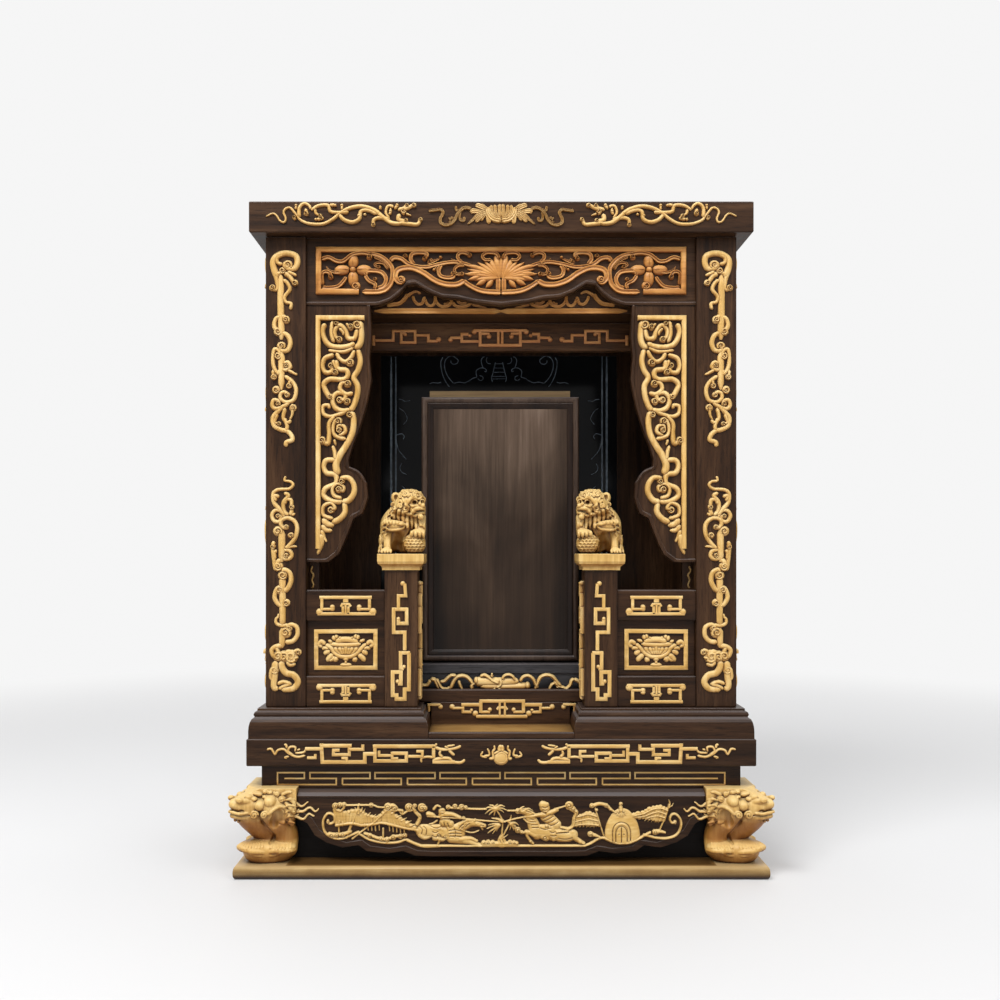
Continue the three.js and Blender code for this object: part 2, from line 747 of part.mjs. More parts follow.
function buildSideCurtains() {
  const top = post_top - curtain_drop - clearance
  const front = curtain_setback - body_front
  const outer = -inner_half
  const edge = side_edge_shares.map(([u, v]) => [outer + u * side_curtain_width, top - v * side_curtain_drop])
  const outline = [[outer, top], ...edge]
  const shape = new THREE.Shape(outline.map(([x, z]) => new THREE.Vector2(x, z)))
  const pointTop = top - side_curtain_drop * side_curtain_point_share
  const inner = edge.map(([x, z]) => [Math.max(outer, x - curtain_bead), z < pointTop ? z + curtain_bead : z])
  const bead = new THREE.Shape([...edge, ...inner.reverse()].map(([x, z]) => new THREE.Vector2(x, z)))
  const plate = cutFront(shape, front, curtain_thickness)
  const side = plate.add(cutFront(bead, front - curtain_bead / 2, curtain_bead))
  addPart('left_lambrequin', side, dark_wood)
  addPart('right_lambrequin', mirrorX(side), dark_wood)
}

// Pierced carving over the opening. Left half, in shares of the half width (outer end to
// the middle) and of the height (from the top): widths at the two ends, then the line.
const top_scroll_shares = [
  [0.08, 0.08, [0.03, 0.26], [0.07, 0.225], [0.11, 0.29], [0.145, 0.30], [0.17, 0.24], [0.20, 0.17], [0.25, 0.14], [0.30, 0.17]],
  [0.08, 0.10, [0.29, 0.15], [0.34, 0.19], [0.38, 0.28], [0.41, 0.42], [0.412, 0.60], [0.395, 0.75], [0.35, 0.85], [0.25, 0.86]],
  [0.06, 0.05, [0.337, 0.41], [0.318, 0.37], [0.33, 0.33], [0.365, 0.34], [0.39, 0.42]],
  [0.08, 0.08, [0.27, 0.56], [0.272, 0.48], [0.31, 0.47], [0.355, 0.50], [0.378, 0.62], [0.365, 0.75], [0.33, 0.80]],
  [0.07, 0.07, [0.265, 0.55], [0.285, 0.65], [0.32, 0.72], [0.315, 0.82]],
  [0.07, 0.07, [0.038, 0.72], [0.034, 0.55], [0.05, 0.49], [0.075, 0.51], [0.082, 0.62]],
  [0.08, 0.07, [0.035, 0.78], [0.07, 0.79], [0.12, 0.76], [0.15, 0.66], [0.165, 0.58]],
  [0.02, 0.08, [0.056, 0.38], [0.07, 0.45], [0.10, 0.50], [0.14, 0.49]],
  [0.08, 0.07, [0.40, 0.26], [0.43, 0.23], [0.46, 0.25], [0.495, 0.34], [0.54, 0.39], [0.60, 0.40], [0.66, 0.35], [0.73, 0.31], [0.80, 0.34], [0.86, 0.42]],
  [0.07, 0.08, [0.53, 0.36], [0.51, 0.26], [0.52, 0.16], [0.56, 0.13], [0.595, 0.16], [0.60, 0.22]],
  [0.02, 0.09, [0.675, 0.21], [0.65, 0.27], [0.60, 0.34]],
  [0.08, 0.10, [0.475, 0.62], [0.455, 0.68], [0.43, 0.62], [0.432, 0.50], [0.46, 0.43], [0.52, 0.42], [0.58, 0.51], [0.64, 0.65], [0.70, 0.72], [0.76, 0.72], [0.80, 0.65]],
  [0.09, 0.10, [0.79, 0.65], [0.83, 0.75], [0.88, 0.83], [0.93, 0.86], [1.00, 0.87]],
  [0.07, 0.07, [0.675, 0.36], [0.66, 0.46], [0.668, 0.56], [0.70, 0.60], [0.735, 0.59], [0.745, 0.52]],
  [0.06, 0.05, [0.80, 0.37], [0.765, 0.38], [0.745, 0.45], [0.755, 0.53], [0.785, 0.535]],
  [0.06, 0.07, [0.79, 0.34], [0.765, 0.25], [0.765, 0.17], [0.79, 0.135], [0.825, 0.18]],
  [0.02, 0.06, [0.724, 0.24], [0.755, 0.29], [0.80, 0.33]],
  [0.06, 0.06, [0.955, 0.28], [0.91, 0.29], [0.895, 0.20], [0.92, 0.14], [0.97, 0.16], [0.985, 0.26]],
  [0.06, 0.14, [0.985, 0.60], [0.93, 0.50], [0.86, 0.42], [0.80, 0.37]],
  [0.10, 0.04, [0.985, 0.60], [0.92, 0.58], [0.86, 0.57], [0.83, 0.50]],
  [0.10, 0.04, [0.985, 0.62], [0.93, 0.65], [0.86, 0.66]],
  [0.10, 0.05, [0.985, 0.58], [0.945, 0.42], [0.90, 0.34]],
  [0.10, 0.10, [0.985, 0.60], [0.98, 0.85]]
]
const top_flower_shares = [
  [0.20, 0.45, 0.035, 0.13], [0.197, 0.32, 0.028, 0.10], [0.24, 0.45, 0.030, 0.10],
  [0.20, 0.58, 0.028, 0.10], [0.15, 0.46, 0.030, 0.10], [0.212, 0.745, 0.025, 0.085]
]
const lotus_petal_shares = [
  [0.86, 0.50], [0.90, 0.33], [0.95, 0.24]
]

function blobOutline(x, y, rx, ry, sides = 8) {
  const shape = new THREE.Shape()
  for (let i = 0; i < sides; i++) {
    const angle = ((i + 0.5) / sides) * 2 * Math.PI
    const point = [x + rx * Math.cos(angle), y + ry * Math.sin(angle)]
    if (i) shape.lineTo(...point)
    else shape.moveTo(...point)
  }
  shape.closePath()
  return shape
}

function carveStrokes(rows, place, unit, front, perSpan = 1.3) {
  return rows.map(([from, to, ...line]) => {
    const outline = strokeOutline(line.map(place), [from * unit, to * unit], perSpan)
    return cutFront(outline, front, carving_thickness)
  })
}

function buildTopCarving() {
  const half = inner_half - carving_side_margin
  const height = top_carving_height
  const top = post_top - carving_top_margin
  const front = curtain_setback - body_front - carving_thickness - clearance
  const place = ([u, v]) => [-half * (1 - u), top - v * height]
  const unit = half * top_stroke_share
  const pieces = carveStrokes(top_scroll_shares, place, unit, front)
  for (const [u, v, ru, rv] of top_flower_shares) {
    pieces.push(cutFront(blobOutline(...place([u, v]), ru * half, rv * height), front, carving_thickness))
  }
  for (const [u, v] of lotus_petal_shares) {
    const petal = [[1, lotus_heart_share], [(1 + u) / 2, (lotus_heart_share + v) / 2], [u, v]].map(place)
    const outline = strokeOutline(petal, petal_width_shares.map((share) => share * unit), 2)
    pieces.push(cutFront(outline, front, carving_thickness))
  }
  const low = top - height * top_foot_share
  const corner = place([top_corner_share, 0])[0]
  pieces.push(board(-half, 0, front, front + carving_thickness, top - carving_border, top))
  pieces.push(board(-half, carving_border - half, front, front + carving_thickness, low, top))
  pieces.push(board(-half, corner, front, front + carving_thickness, low, low + carving_border))
  const left = union(pieces)
  const middle = board(
    -carving_border, carving_border, front, front + carving_thickness,
    top - height * stem_foot_share, top - height * stem_top_share
  )
  addPart('top_carving', left.add(mirrorX(left)).add(middle), carved_wood)
}

// Pierced carving on a side drop, in shares of its width (from the post inwards) and of
// its height (from the top)
const side_scroll_shares = [
  [0.10, 0.10, [0.19, 0.04], [0.14, 0.07], [0.18, 0.105], [0.28, 0.13], [0.45, 0.138], [0.64, 0.133], [0.74, 0.12]],
  [0.10, 0.11, [0.86, 0.04], [0.86, 0.09], [0.84, 0.125], [0.76, 0.145]],
  [0.07, 0.07, [0.33, 0.03], [0.31, 0.08], [0.34, 0.115]],
  [0.07, 0.10, [0.38, 0.105], [0.37, 0.065], [0.47, 0.048], [0.57, 0.07], [0.62, 0.10], [0.74, 0.10], [0.79, 0.065]],
  [0.07, 0.06, [0.25, 0.15], [0.40, 0.155], [0.56, 0.155], [0.72, 0.14]],
  [0.09, 0.10, [0.79, 0.145], [0.84, 0.19], [0.80, 0.23], [0.72, 0.262], [0.79, 0.295], [0.78, 0.335], [0.72, 0.375], [0.65, 0.40]],
  [0.07, 0.07, [0.40, 0.16], [0.46, 0.185], [0.57, 0.197], [0.67, 0.18], [0.72, 0.155]],
  [0.08, 0.08, [0.34, 0.17], [0.19, 0.183], [0.14, 0.213], [0.19, 0.24], [0.31, 0.235], [0.36, 0.20]],
  [0.09, 0.09, [0.40, 0.19], [0.42, 0.225], [0.58, 0.232], [0.61, 0.255], [0.52, 0.27], [0.28, 0.268], [0.16, 0.29], [0.21, 0.32], [0.29, 0.35]],
  [0.07, 0.07, [0.60, 0.285], [0.50, 0.285], [0.47, 0.31], [0.58, 0.33], [0.71, 0.325]],
  [0.07, 0.09, [0.48, 0.355], [0.56, 0.345], [0.55, 0.325], [0.42, 0.325], [0.33, 0.35], [0.38, 0.385], [0.52, 0.398], [0.66, 0.393]],
  [0.07, 0.08, [0.27, 0.378], [0.15, 0.38], [0.16, 0.41], [0.30, 0.422], [0.50, 0.408], [0.65, 0.39]],
  [0.09, 0.11, [0.69, 0.40], [0.73, 0.44], [0.69, 0.49], [0.57, 0.54], [0.46, 0.58], [0.39, 0.62], [0.43, 0.66]],
  [0.08, 0.08, [0.36, 0.42], [0.27, 0.45], [0.27, 0.49], [0.24, 0.53], [0.14, 0.52]],
  [0.07, 0.07, [0.40, 0.43], [0.34, 0.465], [0.38, 0.50], [0.58, 0.515]],
  [0.06, 0.07, [0.42, 0.475], [0.46, 0.458], [0.56, 0.465], [0.56, 0.49], [0.44, 0.50]],
  [0.06, 0.08, [0.34, 0.54], [0.37, 0.57], [0.39, 0.60]],
  [0.09, 0.09, [0.40, 0.60], [0.22, 0.60], [0.16, 0.625], [0.22, 0.652], [0.38, 0.66], [0.39, 0.695], [0.20, 0.715], [0.16, 0.745], [0.32, 0.768], [0.52, 0.77]],
  [0.08, 0.10, [0.46, 0.675], [0.62, 0.672], [0.72, 0.70], [0.72, 0.735], [0.62, 0.765], [0.50, 0.77]],
  [0.06, 0.07, [0.46, 0.72], [0.53, 0.712], [0.42, 0.697], [0.33, 0.715], [0.36, 0.745], [0.50, 0.757]],
  [0.09, 0.10, [0.54, 0.77], [0.56, 0.81], [0.46, 0.84], [0.32, 0.855]],
  [0.06, 0.07, [0.30, 0.805], [0.37, 0.795], [0.30, 0.775], [0.16, 0.79], [0.16, 0.825], [0.34, 0.84]],
  [0.14, 0.12, [0.16, 0.835], [0.22, 0.86], [0.34, 0.865]],
  [0.12, 0.08, [0.12, 0.865], [0.20, 0.885], [0.32, 0.89]],
  [0.12, 0.04, [0.10, 0.89], [0.15, 0.915], [0.23, 0.935]],
  [0.12, 0.05, [0.10, 0.90], [0.11, 0.94], [0.05, 0.985]]
]

function buildSideCarvings() {
  const outer = carving_side_margin - inner_half
  const top = post_top - curtain_drop - carving_top_margin
  const front = curtain_setback - body_front - carving_thickness - clearance
  const place = ([u, v]) => [outer + u * side_carving_width, top - v * side_carving_height]
  const pieces = carveStrokes(side_scroll_shares, place, side_carving_width, front)
  pieces.push(board(
    outer, outer + side_carving_width * side_head_share, front, front + carving_thickness, top - carving_border, top
  ))
  pieces.push(board(
    outer, outer + carving_border, front, front + carving_thickness, top - side_carving_height * side_foot_share, top
  ))
  const left = union(pieces)
  addPart('left_carving', left, carved_wood)
  addPart('right_carving', mirrorX(left), carved_wood)
}

// Second layer behind the curtains: inner lambrequin, pilasters, ceiling and beam
function buildInnerLayer() {
  const front = curtain_setback + curtain_thickness + layer_gap - body_front
  const back = front + pilaster_thickness
  const ceilingBottom = post_top - ceiling_drop
  const pilasterInner = inner_half - pilaster_width
  addPart('inner_lambrequin', board(
    -inner_half, inner_half, front, back, post_top - inner_curtain_drop, post_top
  ), dark_wood)
  const pilaster = board(-inner_half, -pilasterInner, front, back, floor_level, ceilingBottom)
  addPart('left_inner_pilaster', pilaster, dark_wood)
  addPart('right_inner_pilaster', mirrorX(pilaster), dark_wood)
  const half = body_half - side_panel_inset - side_panel_thickness - clearance
  addPart('ceiling_board', board(
    -inner_half, inner_half, back, wall_front, ceilingBottom, ceilingBottom + ceiling_thickness
  ), dark_wood)
  const beamFront = beam_setback - body_front
  addPart('fret_beam', easedBoard(
    -half, half, beamFront, beamFront + beam_thickness, ceilingBottom - beam_height, ceilingBottom
  ), dark_wood)
}

// Cornice frame with the roof board let into its top
function buildCornice() {
  const halfX = board_half - cornice_setback
  const halfY = front_edge - cornice_setback
  const frame = easedBoard(-halfX, halfX, -halfY, halfY, post_top, roof_top)
  const openX = halfX - cornice_border
  const openY = halfY - cornice_border
  const seatTop = roof_top - roof_recess
  const seat = seatTop - roof_thickness
  const hole = board(-openX, openX, -openY, openY, post_top - overrun, roof_top + overrun)
  const rebateX = openX + roof_lap
  const rebateY = openY + roof_lap
  const rebate = board(-rebateX, rebateX, -rebateY, rebateY, seat, roof_top + overrun)
  addPart('cornice_frame', frame.subtract(hole).subtract(rebate), dark_wood)
  const fitX = rebateX - clearance
  const fitY = rebateY - clearance
  addPart('roof_board', board(-fitX, fitX, -fitY, fitY, seat, seatTop), dark_wood)
}

// Tablet: an open-topped case, a cover that slides up in its grooves, and the name slips
function buildTablet() {
  const bottom = floor_level + dais_height + tablet_lift_gap
  const top = bottom + tablet_height
  const sideTop = top - case_side_drop
  const half = tablet_width / 2
  const front = tablet_setback - front_edge
  const back = front + tablet_depth
  const inside = half - tablet_wall
  const backFront = back - tablet_back
  const outer = board(-half, half, front, back, bottom, sideTop)
  const raisedBack = board(-half, half, backFront, back, sideTop - overrun, top)
  const bay = board(-inside, inside, front - overrun, backFront, bottom + tablet_floor, top + overrun)
  const grooveFront = front + groove_offset
  const grooveHalf = inside + groove_depth
  const grooveBottom = bottom + tablet_floor
  const groove = board(
    -grooveHalf, grooveHalf, grooveFront, grooveFront + groove_width, grooveBottom, sideTop + overrun
  )
  addPart('tablet_case', outer.subtract(bay).subtract(groove).add(raisedBack), walnut)

  const coverBack = front - running_gap
  const coverFront = coverBack - cover_thickness
  const coverBottom = bottom + (tablet_height - case_side_drop - cover_height)
  const coverTop = coverBottom + cover_height
  const coverHalf = cover_width / 2
  const openHalf = coverHalf - cover_moulding
  const openLow = coverBottom + cover_moulding
  const openHigh = coverTop - cover_moulding
  const inset = cover_bead
  const frameShape = rectangle(inset - coverHalf, coverHalf - inset, coverBottom + inset, coverTop - inset)
  const hole = rectangle(-openHalf - inset, openHalf + inset, openLow - inset, openHigh + inset)
  frameShape.holes.push(new THREE.Path(hole.getPoints().reverse()))
  const frame = new THREE.ExtrudeGeometry(frameShape, {
    depth: cover_thickness - 2 * cover_bead,
    bevelEnabled: true,
    bevelThickness: cover_bead,
    bevelSize: cover_bead,
    bevelSegments: 3
  })
  frame.rotateX(Math.PI / 2)
  frame.translate(0, coverBack - cover_bead, 0)
  addPart('tablet_cover_frame', toSolid(frame), walnut)

  const fieldHalf = openHalf - clearance
  const field = board(
    -fieldHalf, fieldHalf, coverFront + panel_recess, coverBack, openLow + clearance, openHigh - clearance
  )
  const plateHalf = inside - running_gap
  const plateLow = grooveBottom + running_gap
  const plateTop = sideTop
  const plateBack = grooveFront + groove_width - running_gap
  const neck = board(
    -plateHalf, plateHalf, coverFront + panel_recess, plateBack, openLow + clearance, openHigh - clearance
  )
  const plate = board(-plateHalf, plateHalf, coverBack, plateBack, plateLow, plateTop)
  const tongueHalf = grooveHalf - running_gap
  const tongue = board(-tongueHalf, tongueHalf, grooveFront + running_gap, plateBack, plateLow, plateTop)
  addPart('tablet_cover_panel', field.add(neck).add(plate).add(tongue), walnut)

  const slipSpace = backFront - (grooveFront + groove_width)
  const slipThickness = slipSpace / slip_count - slip_gap
  const slipHalf = inside - slip_side_gap
  for (let i = 0; i < slip_count; i++) {
    const slipFront = grooveFront + groove_width + slip_gap / 2 + i * (slipThickness + slip_gap)
    const slipBottom = bottom + tablet_floor + clearance
    addPart(`name_slip_${i + 1}`, board(
      -slipHalf, slipHalf, slipFront, slipFront + slipThickness, slipBottom, slipBottom + slip_height
    ), pale_wood)
  }
}

buildGroundBoard()
buildBase()
buildFeet()
buildAprons()
buildPedestals()
buildEntrance()
buildDais()
buildRibbon()
buildPosts()
buildSidePanels()
buildBack()
buildPorch()
buildTopCurtain()
buildSideCurtains()
buildTopCarving()
buildSideCarvings()
buildInnerLayer()
buildCornice()
buildTablet()

export default shrine
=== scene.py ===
"""Tabletop ancestor shrine: finishes, applied carving, lions and lion feet around the frame."""
import math

import bpy
import bmesh
import numpy as np
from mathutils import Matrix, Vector


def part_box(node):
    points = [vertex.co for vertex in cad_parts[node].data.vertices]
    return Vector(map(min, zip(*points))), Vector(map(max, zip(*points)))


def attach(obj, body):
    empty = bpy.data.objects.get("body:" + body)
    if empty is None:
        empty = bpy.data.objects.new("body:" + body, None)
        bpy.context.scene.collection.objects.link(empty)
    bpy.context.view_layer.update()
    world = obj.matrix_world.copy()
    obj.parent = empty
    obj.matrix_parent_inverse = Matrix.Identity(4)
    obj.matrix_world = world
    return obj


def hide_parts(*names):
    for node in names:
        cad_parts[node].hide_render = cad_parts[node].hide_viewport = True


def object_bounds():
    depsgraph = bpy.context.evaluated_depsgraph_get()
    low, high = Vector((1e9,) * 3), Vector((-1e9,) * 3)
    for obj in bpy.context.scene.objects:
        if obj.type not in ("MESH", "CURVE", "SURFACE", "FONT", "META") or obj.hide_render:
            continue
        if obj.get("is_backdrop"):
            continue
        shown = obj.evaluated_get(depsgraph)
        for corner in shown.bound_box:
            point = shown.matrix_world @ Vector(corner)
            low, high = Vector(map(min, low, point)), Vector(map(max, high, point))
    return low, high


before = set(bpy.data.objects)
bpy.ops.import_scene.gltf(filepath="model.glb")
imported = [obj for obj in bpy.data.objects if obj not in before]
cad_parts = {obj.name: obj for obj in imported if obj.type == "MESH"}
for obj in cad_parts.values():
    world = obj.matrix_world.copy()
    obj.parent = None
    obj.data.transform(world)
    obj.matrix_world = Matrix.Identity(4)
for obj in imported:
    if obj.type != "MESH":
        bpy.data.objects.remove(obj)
cad_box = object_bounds()
MM = 0.001

# The view: the photograph's eye, in metres and in pixels of its own frame
FRAME_PX = 1000
EYE = Vector((-0.0129, -1.011, 0.2933))
FRONT_Y = -0.116
EYE_DISTANCE = FRONT_Y - EYE.y
PIXEL = 0.892 * MM
VANISH_X = 487.0
VANISH_Y = 551.5
SENSOR_MM = 36.0


def photo_point(px, py, y):
    """Where the line of sight through a pixel meets the upright plane at depth y."""
    scale = PIXEL * (y - EYE.y) / EYE_DISTANCE
    return EYE.x + (px - VANISH_X) * scale, EYE.z - (py - VANISH_Y) * scale


def shown(name):
    low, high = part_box(name)
    return Vector(low), Vector(high)


# Curves and meshes


def smooth(points, per_span):
    """A Catmull-Rom curve through 2D or 3D points."""
    pts = [Vector(p) for p in points]
    if len(pts) < 3:
        steps = per_span * max(1, len(pts) - 1)
        return [pts[0].lerp(pts[-1], i / steps) for i in range(steps + 1)]
    pts = [pts[0] * 2 - pts[1]] + pts + [pts[-1] * 2 - pts[-2]]
    out = []
    for i in range(1, len(pts) - 2):
        a, b, c, d = pts[i - 1:i + 3]
        for k in range(per_span):
            t = k / per_span
            out.append(0.5 * (2 * b + (c - a) * t + (2 * a - 5 * b + 4 * c - d) * t * t
                              + (3 * b - a - 3 * c + d) * t ** 3))
    out.append(pts[-2])
    return out


def width_at(widths, t):
    if len(widths) == 1:
        return widths[0]
    slot = t * (len(widths) - 1)
    low = min(int(slot), len(widths) - 2)
    return widths[low] + (widths[low + 1] - widths[low]) * (slot - low)


ROUND = [(-1.0, 0.0), (-0.96, 0.35), (-0.72, 0.72), (-0.35, 0.94), (0.0, 1.0),
         (0.35, 0.94), (0.72, 0.72), (0.96, 0.35), (1.0, 0.0)]
RIBBED = [(-1.0, 0.0), (-0.95, 0.5), (-0.66, 0.86), (-0.3, 0.66), (0.0, 0.92),
          (0.3, 0.66), (0.66, 0.86), (0.95, 0.5), (1.0, 0.0)]
CUPPED = [(-1.0, 0.0), (-1.0, 0.7), (-0.84, 0.97), (-0.55, 0.98), (-0.1, 0.7), (0.4, 0.76), (0.72, 0.98),
          (0.9, 0.93), (1.0, 0.66), (1.0, 0.0)]
SQUARE = [(-1.0, 0.0), (-1.0, 0.78), (-0.7, 1.0), (0.7, 1.0), (1.0, 0.78), (1.0, 0.0)]
DOME_SIDES = 14
DOME_RINGS = 4
THINNEST = 0.08 * MM


class Relief:
    """Carving laid on a flat face. Its field runs from a corner along two directions, and
    strokes, bars and domes are placed in shares of the field, u across and v down."""

    def __init__(self, corner, across, down, out):
        self.corner = Vector(corner)
        self.across = Vector(across)
        self.down = Vector(down)
        self.out = Vector(out).normalized()
        self.unit = self.down.length
        self.verts = []
        self.faces = []

    def flat(self, u, v):
        return Vector((u * self.across.length, v * self.down.length))

    def lift(self, p, h):
        a = self.across.normalized()
        d = self.down.normalized()
        return self.corner + a * p.x + d * p.y + self.out * h

    def sweep(self, line, halves, height, profile):
        """A band along flat points, with its own half width at each one."""
        base = len(self.verts)
        count = len(line)
        for i, p in enumerate(line):
            before = (p - line[max(i - 1, 0)])
            after = (line[min(i + 1, count - 1)] - p)
            if before.length < 1e-9:
                before = after
            if after.length < 1e-9:
                after = before
            before, after = before.normalized(), after.normalized()
            along = before + after
            along = before if along.length < 1e-6 else along.normalized()
            side = Vector((-along.y, along.x))
            stretch = 1 / max(0.62, along.dot(before))
            rise = height * min(1.0, 0.35 + 0.65 * halves[i] / max(halves))
            for s, h in profile:
                self.verts.append(self.lift(p + side * halves[i] * s * stretch, rise * h))
        n = len(profile)
        for i in range(count - 1):
            for k in range(n):
                a = base + i * n + k
                b = base + i * n + (k + 1) % n
                self.faces.append((a, b, b + n, a + n))
        self.faces.append(tuple(base + k for k in reversed(range(n))))
        self.faces.append(tuple(base + (count - 1) * n + k for k in range(n)))

    def stroke(self, widths, points, height, profile=ROUND, per_span=5, blunt=True):
        """A curved band. Its widths are shares of the field's height, and blunt rounds its ends."""
        line = smooth([self.flat(*p) for p in points], per_span)
        count = len(line)
        total = sum((line[i + 1] - line[i]).length for i in range(count - 1))
        run = 0.0
        halves = []
        for i, p in enumerate(line):
            if i:
                run += (p - line[i - 1]).length
            half = width_at(widths, run / total) * self.unit / 2
            if blunt:
                near = min(run, total - run)
                cap = max(half, 1e-6)
                half *= math.sqrt(max(0.12, 1 - max(0.0, 1 - near / cap) ** 2))
            halves.append(max(half, THINNEST))
        self.sweep(line, halves, height, profile)

    def bar(self, width, points, height, closed=False):
        """A square-edged band with sharp turns, as a ring if it is closed."""
        line = [self.flat(*p) for p in points]
        half = width * self.unit / 2
        if closed:
            self.ring(line, half, height)
        else:
            self.sweep(line, [half] * len(line), height, SQUARE)

    def ring(self, line, half, height):
        base = len(self.verts)
        n = len(SQUARE)
        count = len(line)
        for i, p in enumerate(line):
            before = (p - line[i - 1]).normalized()
            after = (line[(i + 1) % count] - p).normalized()
            along = (before + after).normalized()
            side = Vector((-along.y, along.x))
            stretch = 1 / max(0.5, along.dot(before))
            for s, h in SQUARE:
                self.verts.append(self.lift(p + side * half * s * stretch, height * h))
        for i in range(count):
            j = (i + 1) % count
            for k in range(n):
                a, b = base + i * n + k, base + i * n + (k + 1) % n
                c, d = base + j * n + (k + 1) % n, base + j * n + k
                self.faces.append((a, b, c, d))

    def dome(self, u, v, ru, rv, turn, height):
        """A half ellipsoid; its radii are in metres, turned by an angle in degrees."""
        sides, rings = DOME_SIDES, DOME_RINGS
        centre = self.flat(u, v)
        angle = math.radians(turn)
        ca, sa = math.cos(angle), math.sin(angle)
        base = len(self.verts)
        for r in range(rings):
            lift = math.sin(r / rings * math.pi / 2)
            shrink = math.cos(r / rings * math.pi / 2)
            for k in range(sides):
                t = 2 * math.pi * k / sides
                x, y = ru * math.cos(t) * shrink, rv * math.sin(t) * shrink
                self.verts.append(self.lift(centre + Vector((x * ca - y * sa, x * sa + y * ca)),
                                            height * lift))
        top = len(self.verts)
        self.verts.append(self.lift(centre, height))
        for r in range(rings - 1):
            for k in range(sides):
                a = base + r * sides + k
                b = base + r * sides + (k + 1) % sides
                self.faces.append((a, b, b + sides, a + sides))
        last = base + (rings - 1) * sides
        for k in range(sides):
            self.faces.append((last + k, last + (k + 1) % sides, top))
        self.faces.append(tuple(base + k for k in reversed(range(sides))))

    def whorl(self, u, v, size, height, hand=1):
        """A rolled cloud end: a low dome with a spiral standing on it."""
        self.dome(u, v, size, size, 0, height * 0.62)
        line = []
        for i in range(17):
            t = i / 16
            angle = 0.6 + hand * t * 1.45 * 2 * math.pi
            reach = size * (0.78 - 0.66 * t)
            line.append(self.flat(u, v) + Vector((math.cos(angle) * reach, math.sin(angle) * reach)))
        self.sweep(line, [size * (0.25 - 0.06 * i / 16) for i in range(17)], height, ROUND)

    def leaf(self, u, v, length, width, turn, height):
        """A pointed petal that starts at (u, v); length and width in shares of the field's height."""
        angle = math.radians(turn)
        reach = self.unit * length
        start = self.flat(u, v)
        line = []
        halves = []
        for i in range(8):
            t = i / 7
            line.append(start + Vector((math.cos(angle), math.sin(angle))) * reach * t)
            halves.append(max(THINNEST,
                              self.unit * width / 2 * math.sin(math.pi * min(1, t * 0.86 + 0.14)) ** 0.8))
        self.sweep(line, halves, height, ROUND)

    def piece(self, name, material, slot, flip=False):
        verts = [Vector((-v.x, v.y, v.z)) for v in self.verts] if flip else self.verts
        faces = [tuple(reversed(f)) for f in self.faces] if flip else self.faces
        return make_piece(name, verts, faces, material)

    def pair(self, left, right, material, slot):
        """The left half, ending on the middle plane at the latest, and its mirror image."""
        self.verts = [Vector((min(v.x, 0), v.y, v.z)) for v in self.verts]
        return self.piece(left, material, slot), self.piece(right, material, slot, flip=True)


def make_piece(name, verts, faces, material, body="shrine", angle=50):
    """A visible piece that rides on a body. Edges sharper than the angle, in degrees, stay sharp."""
    mesh = bpy.data.meshes.new(name)
    mesh.from_pydata([tuple(v) for v in verts], [], faces)
    fix = bmesh.new()
    fix.from_mesh(mesh)
    bmesh.ops.recalc_face_normals(fix, faces=fix.faces)
    fix.to_mesh(mesh)
    fix.free()
    obj = bpy.data.objects.new(name, mesh)
    bpy.context.scene.collection.objects.link(obj)
    mesh.materials.append(material)
    mesh.shade_smooth()
    mesh.set_sharp_from_angle(angle=math.radians(angle))
    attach(obj, body)
    return obj


# Materials


def new_material(name):
    mat = bpy.data.materials.new(name)
    mat.use_nodes = True
    tree = mat.node_tree
    return mat, tree.nodes, tree.links, tree.nodes["Principled BSDF"]


def grain_coords(nodes, links, stretch, offset=(0, 0, 0)):
    coords = nodes.new("ShaderNodeTexCoord")
    mapping = nodes.new("ShaderNodeMapping")
    mapping.inputs["Scale"].default_value = stretch
    mapping.inputs["Location"].default_value = offset
    links.new(coords.outputs["Object"], mapping.inputs["Vector"])
    return mapping.outputs["Vector"]


def noise(nodes, links, vector, scale, detail=6, rough=0.6, distort=0.0):
    tex = nodes.new("ShaderNodeTexNoise")
    tex.inputs["Scale"].default_value = scale
    tex.inputs["Detail"].default_value = detail
    tex.inputs["Roughness"].default_value = rough
    tex.inputs["Distortion"].default_value = distort
    links.new(vector, tex.inputs["Vector"])
    return tex.outputs["Fac"]


def axes_of(nodes, links, kind):
    """The x, y and z of a point, in the object's own metres or as shares of its box."""
    coords = nodes.new("ShaderNodeTexCoord")
    split = nodes.new("ShaderNodeSeparateXYZ")
    links.new(coords.outputs[kind], split.inputs[0])
    return split.outputs


def coat(shader, specular, weight, rough):
    """A thin clear finish."""
    shader.inputs["Specular IOR Level"].default_value = specular
    shader.inputs["Coat Weight"].default_value = weight
    shader.inputs["Coat Roughness"].default_value = rough


def ramp(nodes, links, source, stops):
    node = nodes.new("ShaderNodeValToRGB")
    elements = node.color_ramp.elements
    while len(elements) < len(stops):
        elements.new(0.5)
    for element, (place, colour) in zip(elements, stops):
        element.position = place
        element.color = (*colour, 1)
    links.new(source, node.inputs["Fac"])
    return node.outputs["Color"]


def mix(nodes, links, kind, factor, a, b):
    node = nodes.new("ShaderNodeMix")
    node.data_type = "RGBA"
    node.blend_type = kind
    for socket, value in (("Factor", factor), ("A", a), ("B", b)):
        target = [s for s in node.inputs if s.name == socket and s.enabled][0]
        if hasattr(value, "is_output"):
            links.new(value, target)
        else:
            target.default_value = value
    return [s for s in node.outputs if s.enabled][0]


def math_node(nodes, links, operation, *values):
    node = nodes.new("ShaderNodeMath")
    node.operation = operation
    for i, value in enumerate(values):
        if hasattr(value, "is_output"):
            links.new(value, node.inputs[i])
        else:
            node.inputs[i].default_value = value
    return node.outputs[0]


